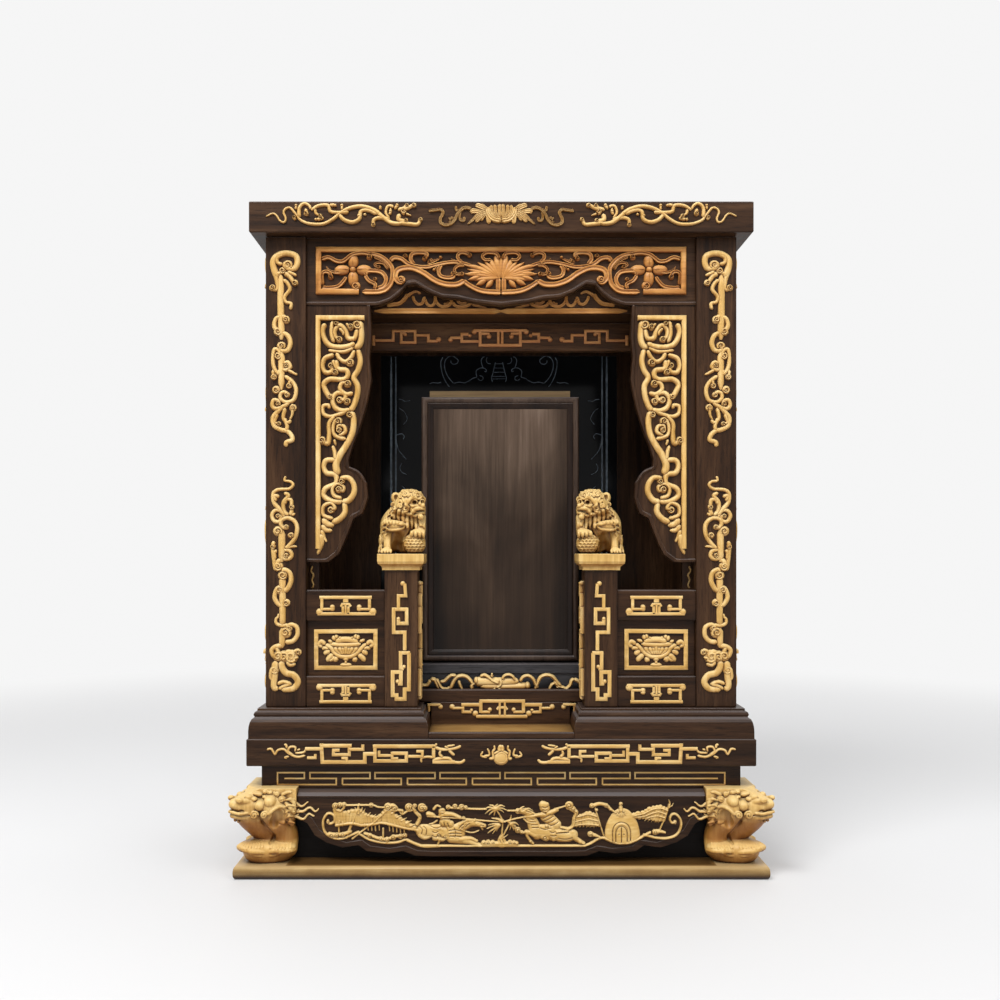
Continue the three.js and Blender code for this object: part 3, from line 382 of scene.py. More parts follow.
def eased(nodes, radius):
    """Normals that turn softly over each arris."""
    node = nodes.new("ShaderNodeBevel")
    node.samples = 6
    node.inputs["Radius"].default_value = radius
    return node.outputs["Normal"]


# pale colour painted on upper arrises: a painted highlight of the overhead light
EDGE_HIGHLIGHT = (0.36, 0.3, 0.27, 1)


def arris_highlight(nodes, links):
    """How much painted highlight of the overhead light an upper arris gets, from the turn of its eased
    normal.
    """
    geometry = nodes.new("ShaderNodeNewGeometry")
    turn = nodes.new("ShaderNodeVectorMath")
    turn.operation = "DOT_PRODUCT"
    soft = eased(nodes, 0.0011)
    links.new(geometry.outputs["Normal"], turn.inputs[0])
    links.new(soft, turn.inputs[1])
    upward = nodes.new("ShaderNodeSeparateXYZ")
    links.new(soft, upward.inputs[0])
    edge = nodes.new("ShaderNodeMapRange")
    edge.inputs["From Min"].default_value = 0.985
    edge.inputs["From Max"].default_value = 0.85
    edge.inputs["To Max"].default_value = 0.55
    links.new(turn.outputs["Value"], edge.inputs["Value"])
    top = nodes.new("ShaderNodeMapRange")
    top.inputs["From Min"].default_value = 0.15
    top.inputs["From Max"].default_value = 0.6
    links.new(upward.outputs["Z"], top.inputs["Value"])
    return math_node(nodes, links, "MULTIPLY", edge.outputs["Result"], top.outputs["Result"])


def bump(nodes, links, height, strength, distance, normal=None):
    node = nodes.new("ShaderNodeBump")
    if normal:
        links.new(normal, node.inputs["Normal"])
    node.inputs["Strength"].default_value = strength
    node.inputs["Distance"].default_value = distance
    links.new(height, node.inputs["Height"])
    return node.outputs["Normal"]


def grain_scale(axis, fine):
    stretch = [fine, fine, fine]
    stretch[axis] = fine * 0.07
    return stretch


ROSEWOOD = ((0.016, 0.0064, 0.0024), (0.043, 0.0185, 0.0076), (0.09, 0.044, 0.02))
PAINTED_SHEEN = (0.2, 0.18, 0.178, 1)


def toned(shades, share):
    return tuple(tuple(c * share for c in shade) for shade in shades)


def facing_up(nodes, links):
    """0 on a surface that faces down, 0.5 on an upright one, 1 on one that faces up."""
    geometry = nodes.new("ShaderNodeNewGeometry")
    split = nodes.new("ShaderNodeSeparateXYZ")
    links.new(geometry.outputs["Normal"], split.inputs[0])
    return math_node(nodes, links, "ADD", math_node(nodes, links, "MULTIPLY", split.outputs["Z"], 0.5), 0.5)


def board_grain(nodes, links, axis, offset=(0, 0, 0)):
    """Grain along one axis. A frame that runs along x has its end members' grain along y."""
    along = grain_coords(nodes, links, grain_scale(axis, 1.0), offset)
    if axis != 0:
        return along
    deep = grain_coords(nodes, links, grain_scale(1, 1.0), offset)
    geometry = nodes.new("ShaderNodeNewGeometry")
    split = nodes.new("ShaderNodeSeparateXYZ")
    links.new(geometry.outputs["True Normal"], split.inputs[0])
    sideways = math_node(nodes, links, "ABSOLUTE", split.outputs["X"])
    end = math_node(nodes, links, "GREATER_THAN", sideways, 0.7)
    choice = nodes.new("ShaderNodeMix")
    choice.data_type = "VECTOR"
    links.new(end, choice.inputs["Factor"])
    vectors = [socket for socket in choice.inputs if socket.type == "VECTOR" and socket.name in ("A", "B")]
    links.new(along, vectors[0])
    links.new(deep, vectors[1])
    return [socket for socket in choice.outputs if socket.type == "VECTOR"][0]


def dark_wood(name, axis, shades=ROSEWOOD, gloss=0.4, sheen=0.32, glint=1.0):
    """Dark stained rosewood: fine pores and soft streaks along one axis, with a painted sheen of the
    overhead light on upper slopes and a painted highlight on upper arrises.
    """
    mat, nodes, links, shader = new_material(name)
    streaks = noise(nodes, links, board_grain(nodes, links, axis), 170, 8, 0.65, 0.4)
    broad = noise(nodes, links, board_grain(nodes, links, axis, (3, 5, 7)), 38, 4, 0.5, 0.8)
    both = math_node(nodes, links, "ADD", math_node(nodes, links, "MULTIPLY", streaks, 0.55),
                     math_node(nodes, links, "MULTIPLY", broad, 0.45))
    colour = ramp(nodes, links, both, [(0.36, shades[0]), (0.5, shades[1]), (0.66, shades[2])])
    pores = noise(nodes, links, board_grain(nodes, links, axis, (9, 1, 4)), 900, 3, 0.6)
    pore_dark = ramp(nodes, links, pores, [(0.36, (0.35, 0.33, 0.32)), (0.46, (1, 1, 1))])
    # painted highlight on upper arrises
    edge_glint = math_node(nodes, links, "MULTIPLY", arris_highlight(nodes, links), glint)
    wood = mix(nodes, links, "MULTIPLY", 0.7, colour, pore_dark)
    # painted sheen: upper slopes mixed towards pale grey, as the reflection of overhead light
    slope = ramp(nodes, links, facing_up(nodes, links),
                 [(0.68, (0, 0, 0)), (0.84, (sheen,) * 3), (0.94, (sheen,) * 3), (1, (sheen * 0.25,) * 3)])
    wood = mix(nodes, links, "MIX", slope, wood, PAINTED_SHEEN)
    links.new(mix(nodes, links, "MIX", edge_glint, wood, EDGE_HIGHLIGHT), shader.inputs["Base Color"])
    rough = nodes.new("ShaderNodeMapRange")
    rough.inputs["To Min"].default_value = gloss - 0.07
    rough.inputs["To Max"].default_value = gloss + 0.14
    links.new(streaks, rough.inputs["Value"])
    links.new(rough.outputs["Result"], shader.inputs["Roughness"])
    links.new(bump(nodes, links, pores, 0.22, 0.0004, eased(nodes, 0.0009)), shader.inputs["Normal"])
    coat(shader, 0.15, 0.04, 0.2)
    return mat


def pale_wood(name, axis, low, middle, high, hollow_shade, relief=1.0, gloss=0.45, under=0.9, lit=0.5,
              band=None, rim=None, hollows=(0.38, 0.93)):
    """Pale carved wood: fine streaks, with painted shade deep in its hollows and on its undersides and
    a painted highlight on top. A band between two heights, given with its colours, paints shade there.
    With a rim, given as the board's half width and half depth, painted shadow darkens the top except along
    its edge."""
    mat, nodes, links, shader = new_material(name)
    streaks = noise(nodes, links, grain_coords(nodes, links, grain_scale(axis, 1.0)), 260, 6, 0.6, 0.3)
    broad = noise(nodes, links, grain_coords(nodes, links, (1, 1, 1), (2, 6, 4)), 60, 3, 0.5)
    both = math_node(nodes, links, "ADD", math_node(nodes, links, "MULTIPLY", streaks, 0.6),
                     math_node(nodes, links, "MULTIPLY", broad, 0.4))
    colour = ramp(nodes, links, both, [(0.34, low), (0.5, middle), (0.66, high)])
    # painted shade deep in the hollows, darkened by occlusion at two reaches
    for distance, dark, weight in ((0.0022 * relief, hollow_shade, 1.0), (0.009 * relief, hollow_shade, 0.55)):
        hollow = nodes.new("ShaderNodeAmbientOcclusion")
        hollow.inputs["Distance"].default_value = distance
        hollow.samples = 8
        shade = ramp(nodes, links, hollow.outputs["AO"], [(hollows[0], dark), (hollows[1], (1, 1, 1))])
        colour = mix(nodes, links, "MULTIPLY", weight, colour, shade)
    up = facing_up(nodes, links)
    # painted shade on faces turned down
    underside_shade = ramp(nodes, links, up, [(0.05, (0.5, 0.33, 0.2)), (0.5, (1, 1, 1))])
    colour = mix(nodes, links, "MULTIPLY", under, colour, underside_shade)
    # painted highlight on faces turned up
    tip = tuple(min(1.0, c * 1.1 + 0.07) for c in high) + (1,)
    upper = ramp(nodes, links, up, [(0.56, (0, 0, 0)), (0.86, (lit,) * 3)])
    colour = mix(nodes, links, "MIX", upper, colour, tip)
    if band:
        height = math_node(nodes, links, "MULTIPLY", axes_of(nodes, links, "Object")["Z"], 10)
        colour = mix(nodes, links, "MULTIPLY", 1.0, colour, ramp(nodes, links, height, band))
    # painted shadow over the board's top inside its rim
    if rim:
        place = axes_of(nodes, links, "Object")
        inset = []
        for axis_name, half in zip("XY", rim):
            off = math_node(nodes, links, "ABSOLUTE", place[axis_name])
            inset.append(math_node(nodes, links, "SUBTRACT", half, off))
        inner = math_node(nodes, links, "MULTIPLY", math_node(nodes, links, "MINIMUM", *inset), 40)
        on_top = math_node(nodes, links, "GREATER_THAN", up, 0.93)
        top_shadow = ramp(nodes, links, math_node(nodes, links, "MULTIPLY", inner, on_top),
                    [(0.1, (1, 1, 1)), (0.15, (0.42, 0.33, 0.22)), (0.32, (0.16, 0.118, 0.075))])
        colour = mix(nodes, links, "MULTIPLY", 1.0, colour, top_shadow)
    links.new(colour, shader.inputs["Base Color"])
    shader.inputs["Roughness"].default_value = gloss
    links.new(bump(nodes, links, streaks, 0.14, 0.0003), shader.inputs["Normal"])
    coat(shader, 0.35, 0.08, 0.3)
    return mat


WALNUT_SHADES = (0.014, 0.008, 0.005), (0.03, 0.018, 0.012), (0.055, 0.034, 0.023)


def tipped_wood(name, shades, tip, start):
    """Dark wood whose bare top, above a share of the height, shows pale."""
    mat, nodes, links, shader = new_material(name)
    streaks = noise(nodes, links, grain_coords(nodes, links, grain_scale(2, 1.0)), 170, 6, 0.6, 0.4)
    dark = ramp(nodes, links, streaks, list(zip((0.36, 0.5, 0.66), shades)))
    across = noise(nodes, links, grain_coords(nodes, links, grain_scale(0, 1.0)), 240, 4, 0.6)
    pale = ramp(nodes, links, across, [(0.36, tuple(c * 0.72 for c in tip)), (0.62, tip)])
    above = math_node(nodes, links, "GREATER_THAN", axes_of(nodes, links, "Generated")["Z"], start)
    links.new(mix(nodes, links, "MIX", above, dark, pale), shader.inputs["Base Color"])
    shader.inputs["Roughness"].default_value = 0.45
    shader.inputs["Specular IOR Level"].default_value = 0.3
    return mat


def walnut(name, seed):
    """Figured walnut: dark bands and fine pores along the height."""
    mat, nodes, links, shader = new_material(name)
    flow = noise(nodes, links, grain_coords(nodes, links, (1, 1, 0.3), (seed, 2, 1)), 11, 3, 0.5, 1.2)
    fine = noise(nodes, links, grain_coords(nodes, links, (1, 1, 0.03), (seed, 1, 3)), 380, 5, 0.65)
    strands = noise(nodes, links, grain_coords(nodes, links, (1, 1, 0.05), (seed, 4, 3)), 90, 4, 0.6, 0.5)
    figure = math_node(nodes, links, "ADD", math_node(nodes, links, "MULTIPLY", flow, 0.5),
                       math_node(nodes, links, "MULTIPLY", strands, 0.28))
    figure = math_node(nodes, links, "ADD", figure, math_node(nodes, links, "MULTIPLY", fine, 0.22))
    colour = ramp(nodes, links, figure, [(0.34, (0.035, 0.021, 0.013)), (0.46, (0.1, 0.066, 0.046)),
                                         (0.55, (0.17, 0.12, 0.09)), (0.68, (0.3, 0.22, 0.165))])
    # tone by height: paler towards the top and in a slanting cloud, darker towards the bottom
    share = axes_of(nodes, links, "Generated")
    slant = math_node(nodes, links, "ADD", share["Z"], math_node(nodes, links, "MULTIPLY", share["X"], -0.16))
    cloud = math_node(nodes, links, "ADD", slant, math_node(nodes, links, "MULTIPLY", flow, 0.5))
    height_tone = ramp(nodes, links, cloud, [(0.3, (0.15, 0.112, 0.08)), (0.6, (0.34, 0.285, 0.23)),
                                     (0.84, (0.95, 0.93, 0.9)), (1.0, (1.12, 1.1, 1.08))])
    colour = mix(nodes, links, "MULTIPLY", 1.0, colour, height_tone)
    # painted shade darkening the panel towards its side edges
    aside = math_node(nodes, links, "ABSOLUTE", math_node(nodes, links, "SUBTRACT", share["X"], 0.5))
    edge = ramp(nodes, links, math_node(nodes, links, "MULTIPLY", aside, 2),
                [(0.72, (1, 1, 1)), (0.94, (0.5, 0.45, 0.4))])
    colour = mix(nodes, links, "MULTIPLY", 1.0, colour, edge)
    links.new(colour, shader.inputs["Base Color"])
    shader.inputs["Roughness"].default_value = 0.4
    coat(shader, 0.18, 0.04, 0.2)
    links.new(bump(nodes, links, fine, 0.1, 0.0003), shader.inputs["Normal"])
    return mat


def black_glass(name):
    mat, nodes, links, shader = new_material(name)
    haze = noise(nodes, links, grain_coords(nodes, links, (1, 1, 1)), 9, 3, 0.5)
    colour = ramp(nodes, links, haze, [(0.35, (0.012, 0.0125, 0.0135)), (0.7, (0.018, 0.019, 0.021))])
    links.new(colour, shader.inputs["Base Color"])
    shader.inputs["Roughness"].default_value = 0.12
    shader.inputs["Specular IOR Level"].default_value = 0.1
    return mat


def etched(name):
    mat, nodes, links, shader = new_material(name)
    haze = noise(nodes, links, grain_coords(nodes, links, (1, 1, 1)), 240, 3, 0.5)
    colour = ramp(nodes, links, haze, [(0.3, (0.2, 0.26, 0.32)), (0.7, (0.36, 0.43, 0.5))])
    links.new(colour, shader.inputs["Base Color"])
    shader.inputs["Roughness"].default_value = 0.5
    return mat


# each set: low, middle and high colours, then the colour of the painted shade deep in the hollows
GOLD_SHADES = (0.58, 0.32, 0.07), (0.76, 0.47, 0.15), (0.9, 0.65, 0.285), (0.23, 0.085, 0.016)
FINE_SHADES = (0.52, 0.28, 0.055), (0.7, 0.425, 0.118), (0.86, 0.61, 0.245), (0.12, 0.038, 0.006)
# darker, oranger copy of the gold: painted warm shade for carving under the cornice and in the niche
SHADED_GOLD_SHADES = (0.43, 0.165, 0.031), (0.59, 0.255, 0.055), (0.77, 0.41, 0.12), (0.18, 0.05, 0.012)
# oranger copy of the gold: painted warm shade for the frets on the beam inside the niche
NICHE_SHADED_GOLD_SHADES = (0.5, 0.19, 0.055), (0.64, 0.27, 0.085), (0.78, 0.38, 0.14), (0.26, 0.085, 0.03)
LIME_SHADES = (0.56, 0.305, 0.08), (0.72, 0.445, 0.135), (0.88, 0.625, 0.25), (0.17, 0.06, 0.016)
GOLD = pale_wood("carved_gold", 0, *GOLD_SHADES)
# frieze gold: stronger painted shade in hollows and on undersides, and a stronger painted highlight on top
GOLD_FINE = pale_wood("carved_gold_fine", 0, *FINE_SHADES, 1.0, under=1.0, lit=0.6, hollows=(0.45, 0.97))
GOLD_UP = pale_wood("carved_gold_upright", 2, *GOLD_SHADES)
SHADED_GOLD = pale_wood("carved_gold_shaded", 0, *SHADED_GOLD_SHADES)
NICHE_SHADED_GOLD = pale_wood("carved_gold_niche_shade", 0, *NICHE_SHADED_GOLD_SHADES)
# relief 1.5 widens the painted hollow shade on the lions and feet
LIME = pale_wood("lion_wood", 2, *LIME_SHADES, 1.5)
# painted shade on the feet by height: darker on the leg under the head overhang and on the lower paw
FOOT_SHADE_BAND = [(0.12, (0.72, 0.6, 0.45)), (0.22, (0.84, 0.74, 0.6)), (0.26, (1, 0.96, 0.88)),
             (0.3, (0.98, 0.92, 0.82)), (0.33, (0.55, 0.39, 0.25)), (0.5, (0.58, 0.41, 0.26)),
             (0.6, (1, 1, 1))]
FOOT = pale_wood("foot_wood", 2, *LIME_SHADES, 1.5, band=FOOT_SHADE_BAND)
BOARD_SHADES = (0.34, 0.19, 0.055), (0.47, 0.29, 0.095), (0.62, 0.42, 0.17), (0.1, 0.045, 0.012)
# ground board: strong painted shade in its hollows, a painted highlight on top, and painted shadow over its
# top inside the rim
BOARD = pale_wood("ground_wood", 0, *BOARD_SHADES, 6.0, 0.36, lit=0.55, rim=(0.196, 0.116))
TREAD_SHADES = (0.3, 0.15, 0.04), (0.42, 0.23, 0.065), (0.54, 0.33, 0.11), (0.12, 0.05, 0.014)
# tread: strong painted shade in its hollows and only a faint painted highlight on top
TREAD = pale_wood("tread_wood", 0, *TREAD_SHADES, 6.0, 0.36, lit=0.1)
SLIP_SHADES = (0.4, 0.25, 0.1), (0.52, 0.35, 0.16), (0.62, 0.44, 0.22), (0.5, 0.4, 0.3)
SLIP = pale_wood("slip_wood", 2, *SLIP_SHADES)
DARK_X = dark_wood("dark_wood_along", 0)
DARK_Y = dark_wood("dark_wood_deep", 1)
DARK_Z = dark_wood("dark_wood_upright", 2)
# stronger painted sheen: the shoulder moulding's glint of overhead light
SHOULDER = dark_wood("dark_wood_shoulder", 0, ROSEWOOD, 0.34, 0.6)
BEAM = dark_wood("dark_wood_beam", 0, toned(ROSEWOOD, 1.7))
# darker copy of the rosewood: painted shade on the slab, waist, aprons and apron beads, with a weaker painted
# arris highlight
DARK_LOW_SHADED = dark_wood("dark_wood_low_shaded", 0, toned(ROSEWOOD, 0.72), glint=0.4)
# stronger painted sheen: highlights of overhead light on the pedestals' mouldings
PEDESTAL = dark_wood("dark_wood_pedestal", 0, ROSEWOOD, 0.34, 0.52)
# near-black wood: painted shade filling the hollow of the base behind the aprons
SHADOW_SHADES = (0.003, 0.0022, 0.002), (0.005, 0.0036, 0.003), (0.008, 0.0055, 0.004)
SHADOW = dark_wood("dark_wood_inner", 0, SHADOW_SHADES, 0.7)
DAIS_SHADES = (0.02, 0.019, 0.021), (0.038, 0.036, 0.039), (0.062, 0.059, 0.063)
DAIS = dark_wood("dais_stain", 0, DAIS_SHADES, 0.36)
WALNUT = walnut("walnut_panel", 4.3)
# darker copy for the cover frame's inner slope: painted shade
SHADED_SLOPE_SHADES = (0.007, 0.003, 0.0016), (0.015, 0.007, 0.004), (0.028, 0.014, 0.008)
WALNUT_SHADED_SLOPE = dark_wood("walnut_slope_shaded", 2, SHADED_SLOPE_SHADES, 0.32, 0.1)
# paler copy for the cover frame's bead: painted light on the rounded moulding
LIT_BEAD_SHADES = (0.034, 0.0195, 0.013), (0.062, 0.038, 0.026), (0.1, 0.066, 0.048)
WALNUT_LIT_BEAD = dark_wood("walnut_bead_lit", 2, LIT_BEAD_SHADES, 0.3, 0.4)
CASE = tipped_wood("tablet_case_wood", WALNUT_SHADES, (0.5, 0.33, 0.16), 0.976)
GLASS = black_glass("black_glass")
ETCHED = etched("etched_lines")

UPRIGHT = ["post_front_left", "post_front_right", "post_rear_left", "post_rear_right", "left_side_panel",
           "right_side_panel", "back_frame", "back_board", "left_newel", "right_newel", "left_lambrequin",
           "right_lambrequin", "left_inner_pilaster", "right_inner_pilaster"]
DEEP = ["left_apron", "right_apron"]
ALONG = ["shoulder_moulding", "waist_frame", "platform_slab", "front_apron", "rear_apron",
         "left_pedestal", "right_pedestal", "tread_nosing", "threshold_rail", "left_lower_rail",
         "right_lower_rail", "left_rail_panel", "right_rail_panel", "left_upper_rail", "right_upper_rail",
         "top_lambrequin", "inner_lambrequin", "ceiling_board", "fret_beam", "cornice_frame", "roof_board"]


def dress(names, material):
    for name in names:
        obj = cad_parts[name]
        if not obj.material_slots:
            obj.data.materials.append(material)
        for slot in obj.material_slots:
            slot.material = material


def dress_frame():
    dress(UPRIGHT, DARK_Z)
    dress(DEEP, DARK_Y)
    dress(ALONG, DARK_X)
    dress(["platform_slab", "waist_frame", "front_apron", "rear_apron"], DARK_LOW_SHADED)
    dress(["shoulder_moulding"], SHOULDER)
    dress(["left_pedestal", "right_pedestal"], PEDESTAL)
    dress(["fret_beam"], BEAM)
    dress(["inner_skirt"], SHADOW)
    dress(["dais_fascia", "dais_board"], DAIS)
    dress(["ground_board"], BOARD)
    dress(["tread_board"], TREAD)
    dress(["foot_rear_left", "foot_rear_right", "foot_front_left", "foot_front_right",
           "left_guardian_lion", "right_guardian_lion"], LIME)
    dress(["top_carving", "left_carving", "right_carving", "ribbon_scroll"], SHADED_GOLD)
    dress(["back_glass"], GLASS)
    dress(["tablet_case"], CASE)
    dress(["tablet_cover_frame"], WALNUT_SHADED_SLOPE)
    dress(["tablet_cover_panel"], WALNUT)
    dress([f"name_slip_{i}" for i in range(1, 5)], SLIP)


# Light, floor and camera

FLOOR_HALF = 3.0
FLOOR_BACK = 1.6
FLOOR_BEND = 0.6
FLOOR_RISE = 3.0
FLOOR_GLOW = 0.09
FAR_WHITE = 0.92
WORLD_LIGHT = 0.38
NEAR_REACH = 0.75
FAR_REACH = 1.7


def seen_ray(nodes, links):
    """1 for a line of sight, straight, mirrored or through glass, and 0 for all other light."""
    path = nodes.new("ShaderNodeLightPath")
    rays = path.outputs
    indirect = math_node(nodes, links, "MAXIMUM", rays["Is Glossy Ray"], rays["Is Transmission Ray"])
    return math_node(nodes, links, "MAXIMUM", rays["Is Camera Ray"], indirect)


def glow(nodes, strength):
    node = nodes.new("ShaderNodeEmission")
    node.inputs["Color"].default_value = (1, 1, 1, 1)
    node.inputs["Strength"].default_value = strength
    return node.outputs[0]


def build_stage():
    mesh = bpy.data.meshes.new("floor")
    turns = [i / 10 * math.pi / 2 for i in range(11)]
    bend = [(FLOOR_BACK + math.sin(t) * FLOOR_BEND, (1 - math.cos(t)) * FLOOR_BEND) for t in turns]
    curve = [(-FLOOR_HALF, 0.0)] + bend + [(FLOOR_BACK + FLOOR_BEND, FLOOR_RISE)]
    verts = [(x, y, z) for y, z in curve for x in (-FLOOR_HALF, FLOOR_HALF)]
    faces = [(2 * i, 2 * i + 1, 2 * i + 3, 2 * i + 2) for i in range(len(curve) - 1)]
    mesh.from_pydata(verts, [], faces)
    mesh.shade_smooth()
    floor = bpy.data.objects.new("floor", mesh)
    bpy.context.scene.collection.objects.link(floor)
    mat, nodes, links, shader = new_material("floor_white")
    shader.inputs["Base Color"].default_value = (0.7, 0.7, 0.705, 1)
    shader.inputs["Roughness"].default_value = 0.85
    shader.inputs["Specular IOR Level"].default_value = 0.1
    add = nodes.new("ShaderNodeAddShader")
    coords = nodes.new("ShaderNodeTexCoord")
    length = nodes.new("ShaderNodeVectorMath")
    length.operation = "LENGTH"
    links.new(coords.outputs["Object"], length.inputs[0])
    away = nodes.new("ShaderNodeMapRange")
    away.interpolation_type = "SMOOTHSTEP"
    away.inputs["From Min"].default_value = NEAR_REACH
    away.inputs["From Max"].default_value = FAR_REACH
    links.new(length.outputs["Value"], away.inputs["Value"])
    near_far = nodes.new("ShaderNodeMixShader")
    blend = nodes.new("ShaderNodeMixShader")
    links.new(shader.outputs[0], add.inputs[0])
    links.new(glow(nodes, FLOOR_GLOW), add.inputs[1])
    links.new(away.outputs["Result"], near_far.inputs[0])
    links.new(add.outputs[0], near_far.inputs[1])
    links.new(glow(nodes, FAR_WHITE), near_far.inputs[2])
    links.new(seen_ray(nodes, links), blend.inputs[0])
    links.new(shader.outputs[0], blend.inputs[1])
    links.new(near_far.outputs[0], blend.inputs[2])
    links.new(blend.outputs[0], nodes["Material Output"].inputs["Surface"])
    mesh.materials.append(mat)
    floor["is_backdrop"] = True


def area_light(name, place, target, size, power):
    data = bpy.data.lights.new(name, "AREA")
    data.shape = "RECTANGLE"
    data.size, data.size_y = size
    data.energy = power
    lamp = bpy.data.objects.new(name, data)
    lamp.location = place
    lamp.rotation_euler = (Vector(target) - Vector(place)).to_track_quat("-Z", "Y").to_euler()
    bpy.context.scene.collection.objects.link(lamp)


LIGHTS = [  # name, place, target, size, power
    ("key", (-0.8, -1.15, 2.0), (0, 0, 0.3), (0.9, 0.7), 31),
    ("fill", (1.3, -1.2, 1.5), (0, 0, 0.3), (1.0, 0.9), 8),
    ("front", (0.1, -1.6, 2.1), (0, 0, 0.25), (1.2, 0.5), 11),
    ("top", (0.1, 0.45, 1.9), (0, 0, 0.3), (1.4, 1.0), 11),
]


def build_light():
    for row in LIGHTS:
        area_light(*row)
    world = bpy.data.worlds.new("world")
    bpy.context.scene.world = world
    world.use_nodes = True
    nodes, links = world.node_tree.nodes, world.node_tree.links
    back = nodes["Background"]
    back.inputs["Color"].default_value = (1, 1, 1, 1)
    strength = nodes.new("ShaderNodeMapRange")
    strength.inputs["To Min"].default_value = WORLD_LIGHT
    strength.inputs["To Max"].default_value = FAR_WHITE
    links.new(seen_ray(nodes, links), strength.inputs["Value"])
    links.new(strength.outputs["Result"], back.inputs["Strength"])
    bpy.context.scene.view_settings.view_transform = "Standard"


def build_camera():
    data = bpy.data.cameras.new("camera")
    data.sensor_width = SENSOR_MM
    data.lens = SENSOR_MM * EYE_DISTANCE / (PIXEL * FRAME_PX)
    data.shift_x = (FRAME_PX / 2 - VANISH_X) / FRAME_PX
    data.shift_y = (VANISH_Y - FRAME_PX / 2) / FRAME_PX
    camera = bpy.data.objects.new("camera", data)
    camera.location = EYE
    camera.rotation_euler = (math.pi / 2, 0, 0)
    bpy.context.scene.collection.objects.link(camera)
    bpy.context.scene.camera = camera


# Fields: the stretch of a face that a carving covers, given by its pixels in the photograph


def front_field(pixels, y):
    """A field on a front face, between the pixels of its upper left and lower right corners."""
    x0, z0 = photo_point(pixels[0], pixels[1], y)
    x1, z1 = photo_point(pixels[2], pixels[3], y)
    return Relief((x0, y, z0), (x1 - x0, 0, 0), (0, 0, z1 - z0), (0, -1, 0))


CORNICE_DRAGON_PX = (266, 202, 425, 234)
CORNICE_LOTUS_PX = (430, 200, 502, 232)
POST_UPPER_PX = (270, 250, 302, 450)
POST_LOWER_PX = (268, 474, 302, 694)
SLAB_DRAGON_PX = (267, 740, 469, 768)
SLAB_PEARL_PX = (478, 740, 524, 768)
URN_PX = (312, 625, 380, 674)
RAIL_HIGH_PX = (313, 592, 380, 618)
RAIL_LOW_PX = (313, 680, 380, 706)
NEWEL_PX = (388, 576, 412, 704)
THRESHOLD_PX = (425, 694, 580, 722)
BEAM_PX = (370, 324, 503, 352)
WAIST_PX = (275, 770, 400, 790)
RIBBON_PX = (421, 668, 588, 696)
TOP_CARVING_PX = (316, 246, 502, 300)
SIDE_CARVING_PX = (315, 314, 369, 558)

# Strokes are (width at each end, [points]); widths are shares of the field's height
CORNICE_DRAGON = [
    (0.05, 0.14, [(0.0, 0.46), (0.04, 0.37), (0.065, 0.42), (0.09, 0.6), (0.115, 0.64), (0.125, 0.52),
                  (0.112, 0.34), (0.125, 0.22), (0.155, 0.2), (0.19, 0.4), (0.22, 0.58), (0.28, 0.69),
                  (0.36, 0.69), (0.42, 0.55), (0.47, 0.35), (0.53, 0.2), (0.6, 0.15), (0.67, 0.24),
                  (0.72, 0.4)]),
    (0.14, 0.12, [(0.7, 0.33), (0.74, 0.5), (0.79, 0.66), (0.85, 0.69)]),
    (0.13, 0.08, [(0.21, 0.5), (0.21, 0.2), (0.24, 0.06), (0.27, 0.12), (0.285, 0.25)]),
    (0.1, 0.11, [(0.26, 0.4), (0.253, 0.3), (0.25, 0.22)]),
    (0.1, 0.12,
     [(0.285, 0.27), (0.33, 0.13), (0.39, 0.12), (0.405, 0.3), (0.44, 0.34), (0.48, 0.34), (0.52, 0.32)]),
    (0.12, 0.1, [(0.4, 0.12), (0.435, 0.1)]), (0.1, 0.07, [(0.31, 0.24), (0.315, 0.36), (0.335, 0.44)]),
    (0.12, 0.1, [(0.32, 0.55), (0.35, 0.55)]), (0.08, 0.08, [(0.48, 0.28), (0.478, 0.13)]),
    (0.12, 0.12,
     [(0.46, 0.4), (0.49, 0.56), (0.54, 0.64), (0.585, 0.55), (0.6, 0.3), (0.65, 0.28), (0.7, 0.4)]),
    (0.08, 0.08, [(0.6, 0.42), (0.583, 0.44)]), (0.1, 0.1, [(0.62, 0.44), (0.625, 0.36)]),
    (0.14, 0.1, [(0.78, 0.56), (0.72, 0.5), (0.68, 0.56), (0.675, 0.74)]),
    (0.09, 0.1, [(0.775, 0.52), (0.755, 0.35), (0.765, 0.16), (0.79, 0.14), (0.8, 0.2)]),
    (0.09, 0.07, [(0.775, 0.42), (0.785, 0.3), (0.782, 0.2)]), (0.08, 0.08, [(0.72, 0.26), (0.72, 0.16)]),
    (0.15, 0.12, [(0.84, 0.38), (0.835, 0.56), (0.87, 0.62), (0.83, 0.7)]),
    (0.14, 0.1, [(0.85, 0.66), (0.91, 0.7), (0.955, 0.7), (0.972, 0.52)]),
    (0.1, 0.1, [(0.81, 0.24), (0.83, 0.1)]), (0.13, 0.1, [(0.83, 0.26), (0.87, 0.2), (0.885, 0.1)]),
    (0.13, 0.11, [(0.86, 0.26), (0.9, 0.18), (0.93, 0.1)]), (0.09, 0.04, [(0.88, 0.38), (0.915, 0.44)]),
    (0.12, 0.12, [(0.86, 0.3), (0.87, 0.42)]), (0.1, 0.12, [(0.175, 0.5), (0.19, 0.56)]),
    (0.09, 0.08, [(0.19, 0.26), (0.19, 0.12)]),
]
CORNICE_DRAGON_KNOBS = [(0.253, 0.37, 0.07), (0.34, 0.44, 0.06), (0.315, 0.56, 0.05), (0.35, 0.52, 0.06),
                        (0.478, 0.12, 0.05), (0.93, 0.11, 0.07), (0.885, 0.12, 0.06), (0.825, 0.11, 0.05),
                        (0.783, 0.3, 0.05), (0.972, 0.55, 0.06), (0.178, 0.49, 0.055), (0.19, 0.12, 0.045),
                        (0.675, 0.72, 0.06), (0.72, 0.17, 0.045), (0.435, 0.12, 0.05), (0.865, 0.3, 0.08),
                        (0.585, 0.43, 0.05), (0.88, 0.58, 0.06)]
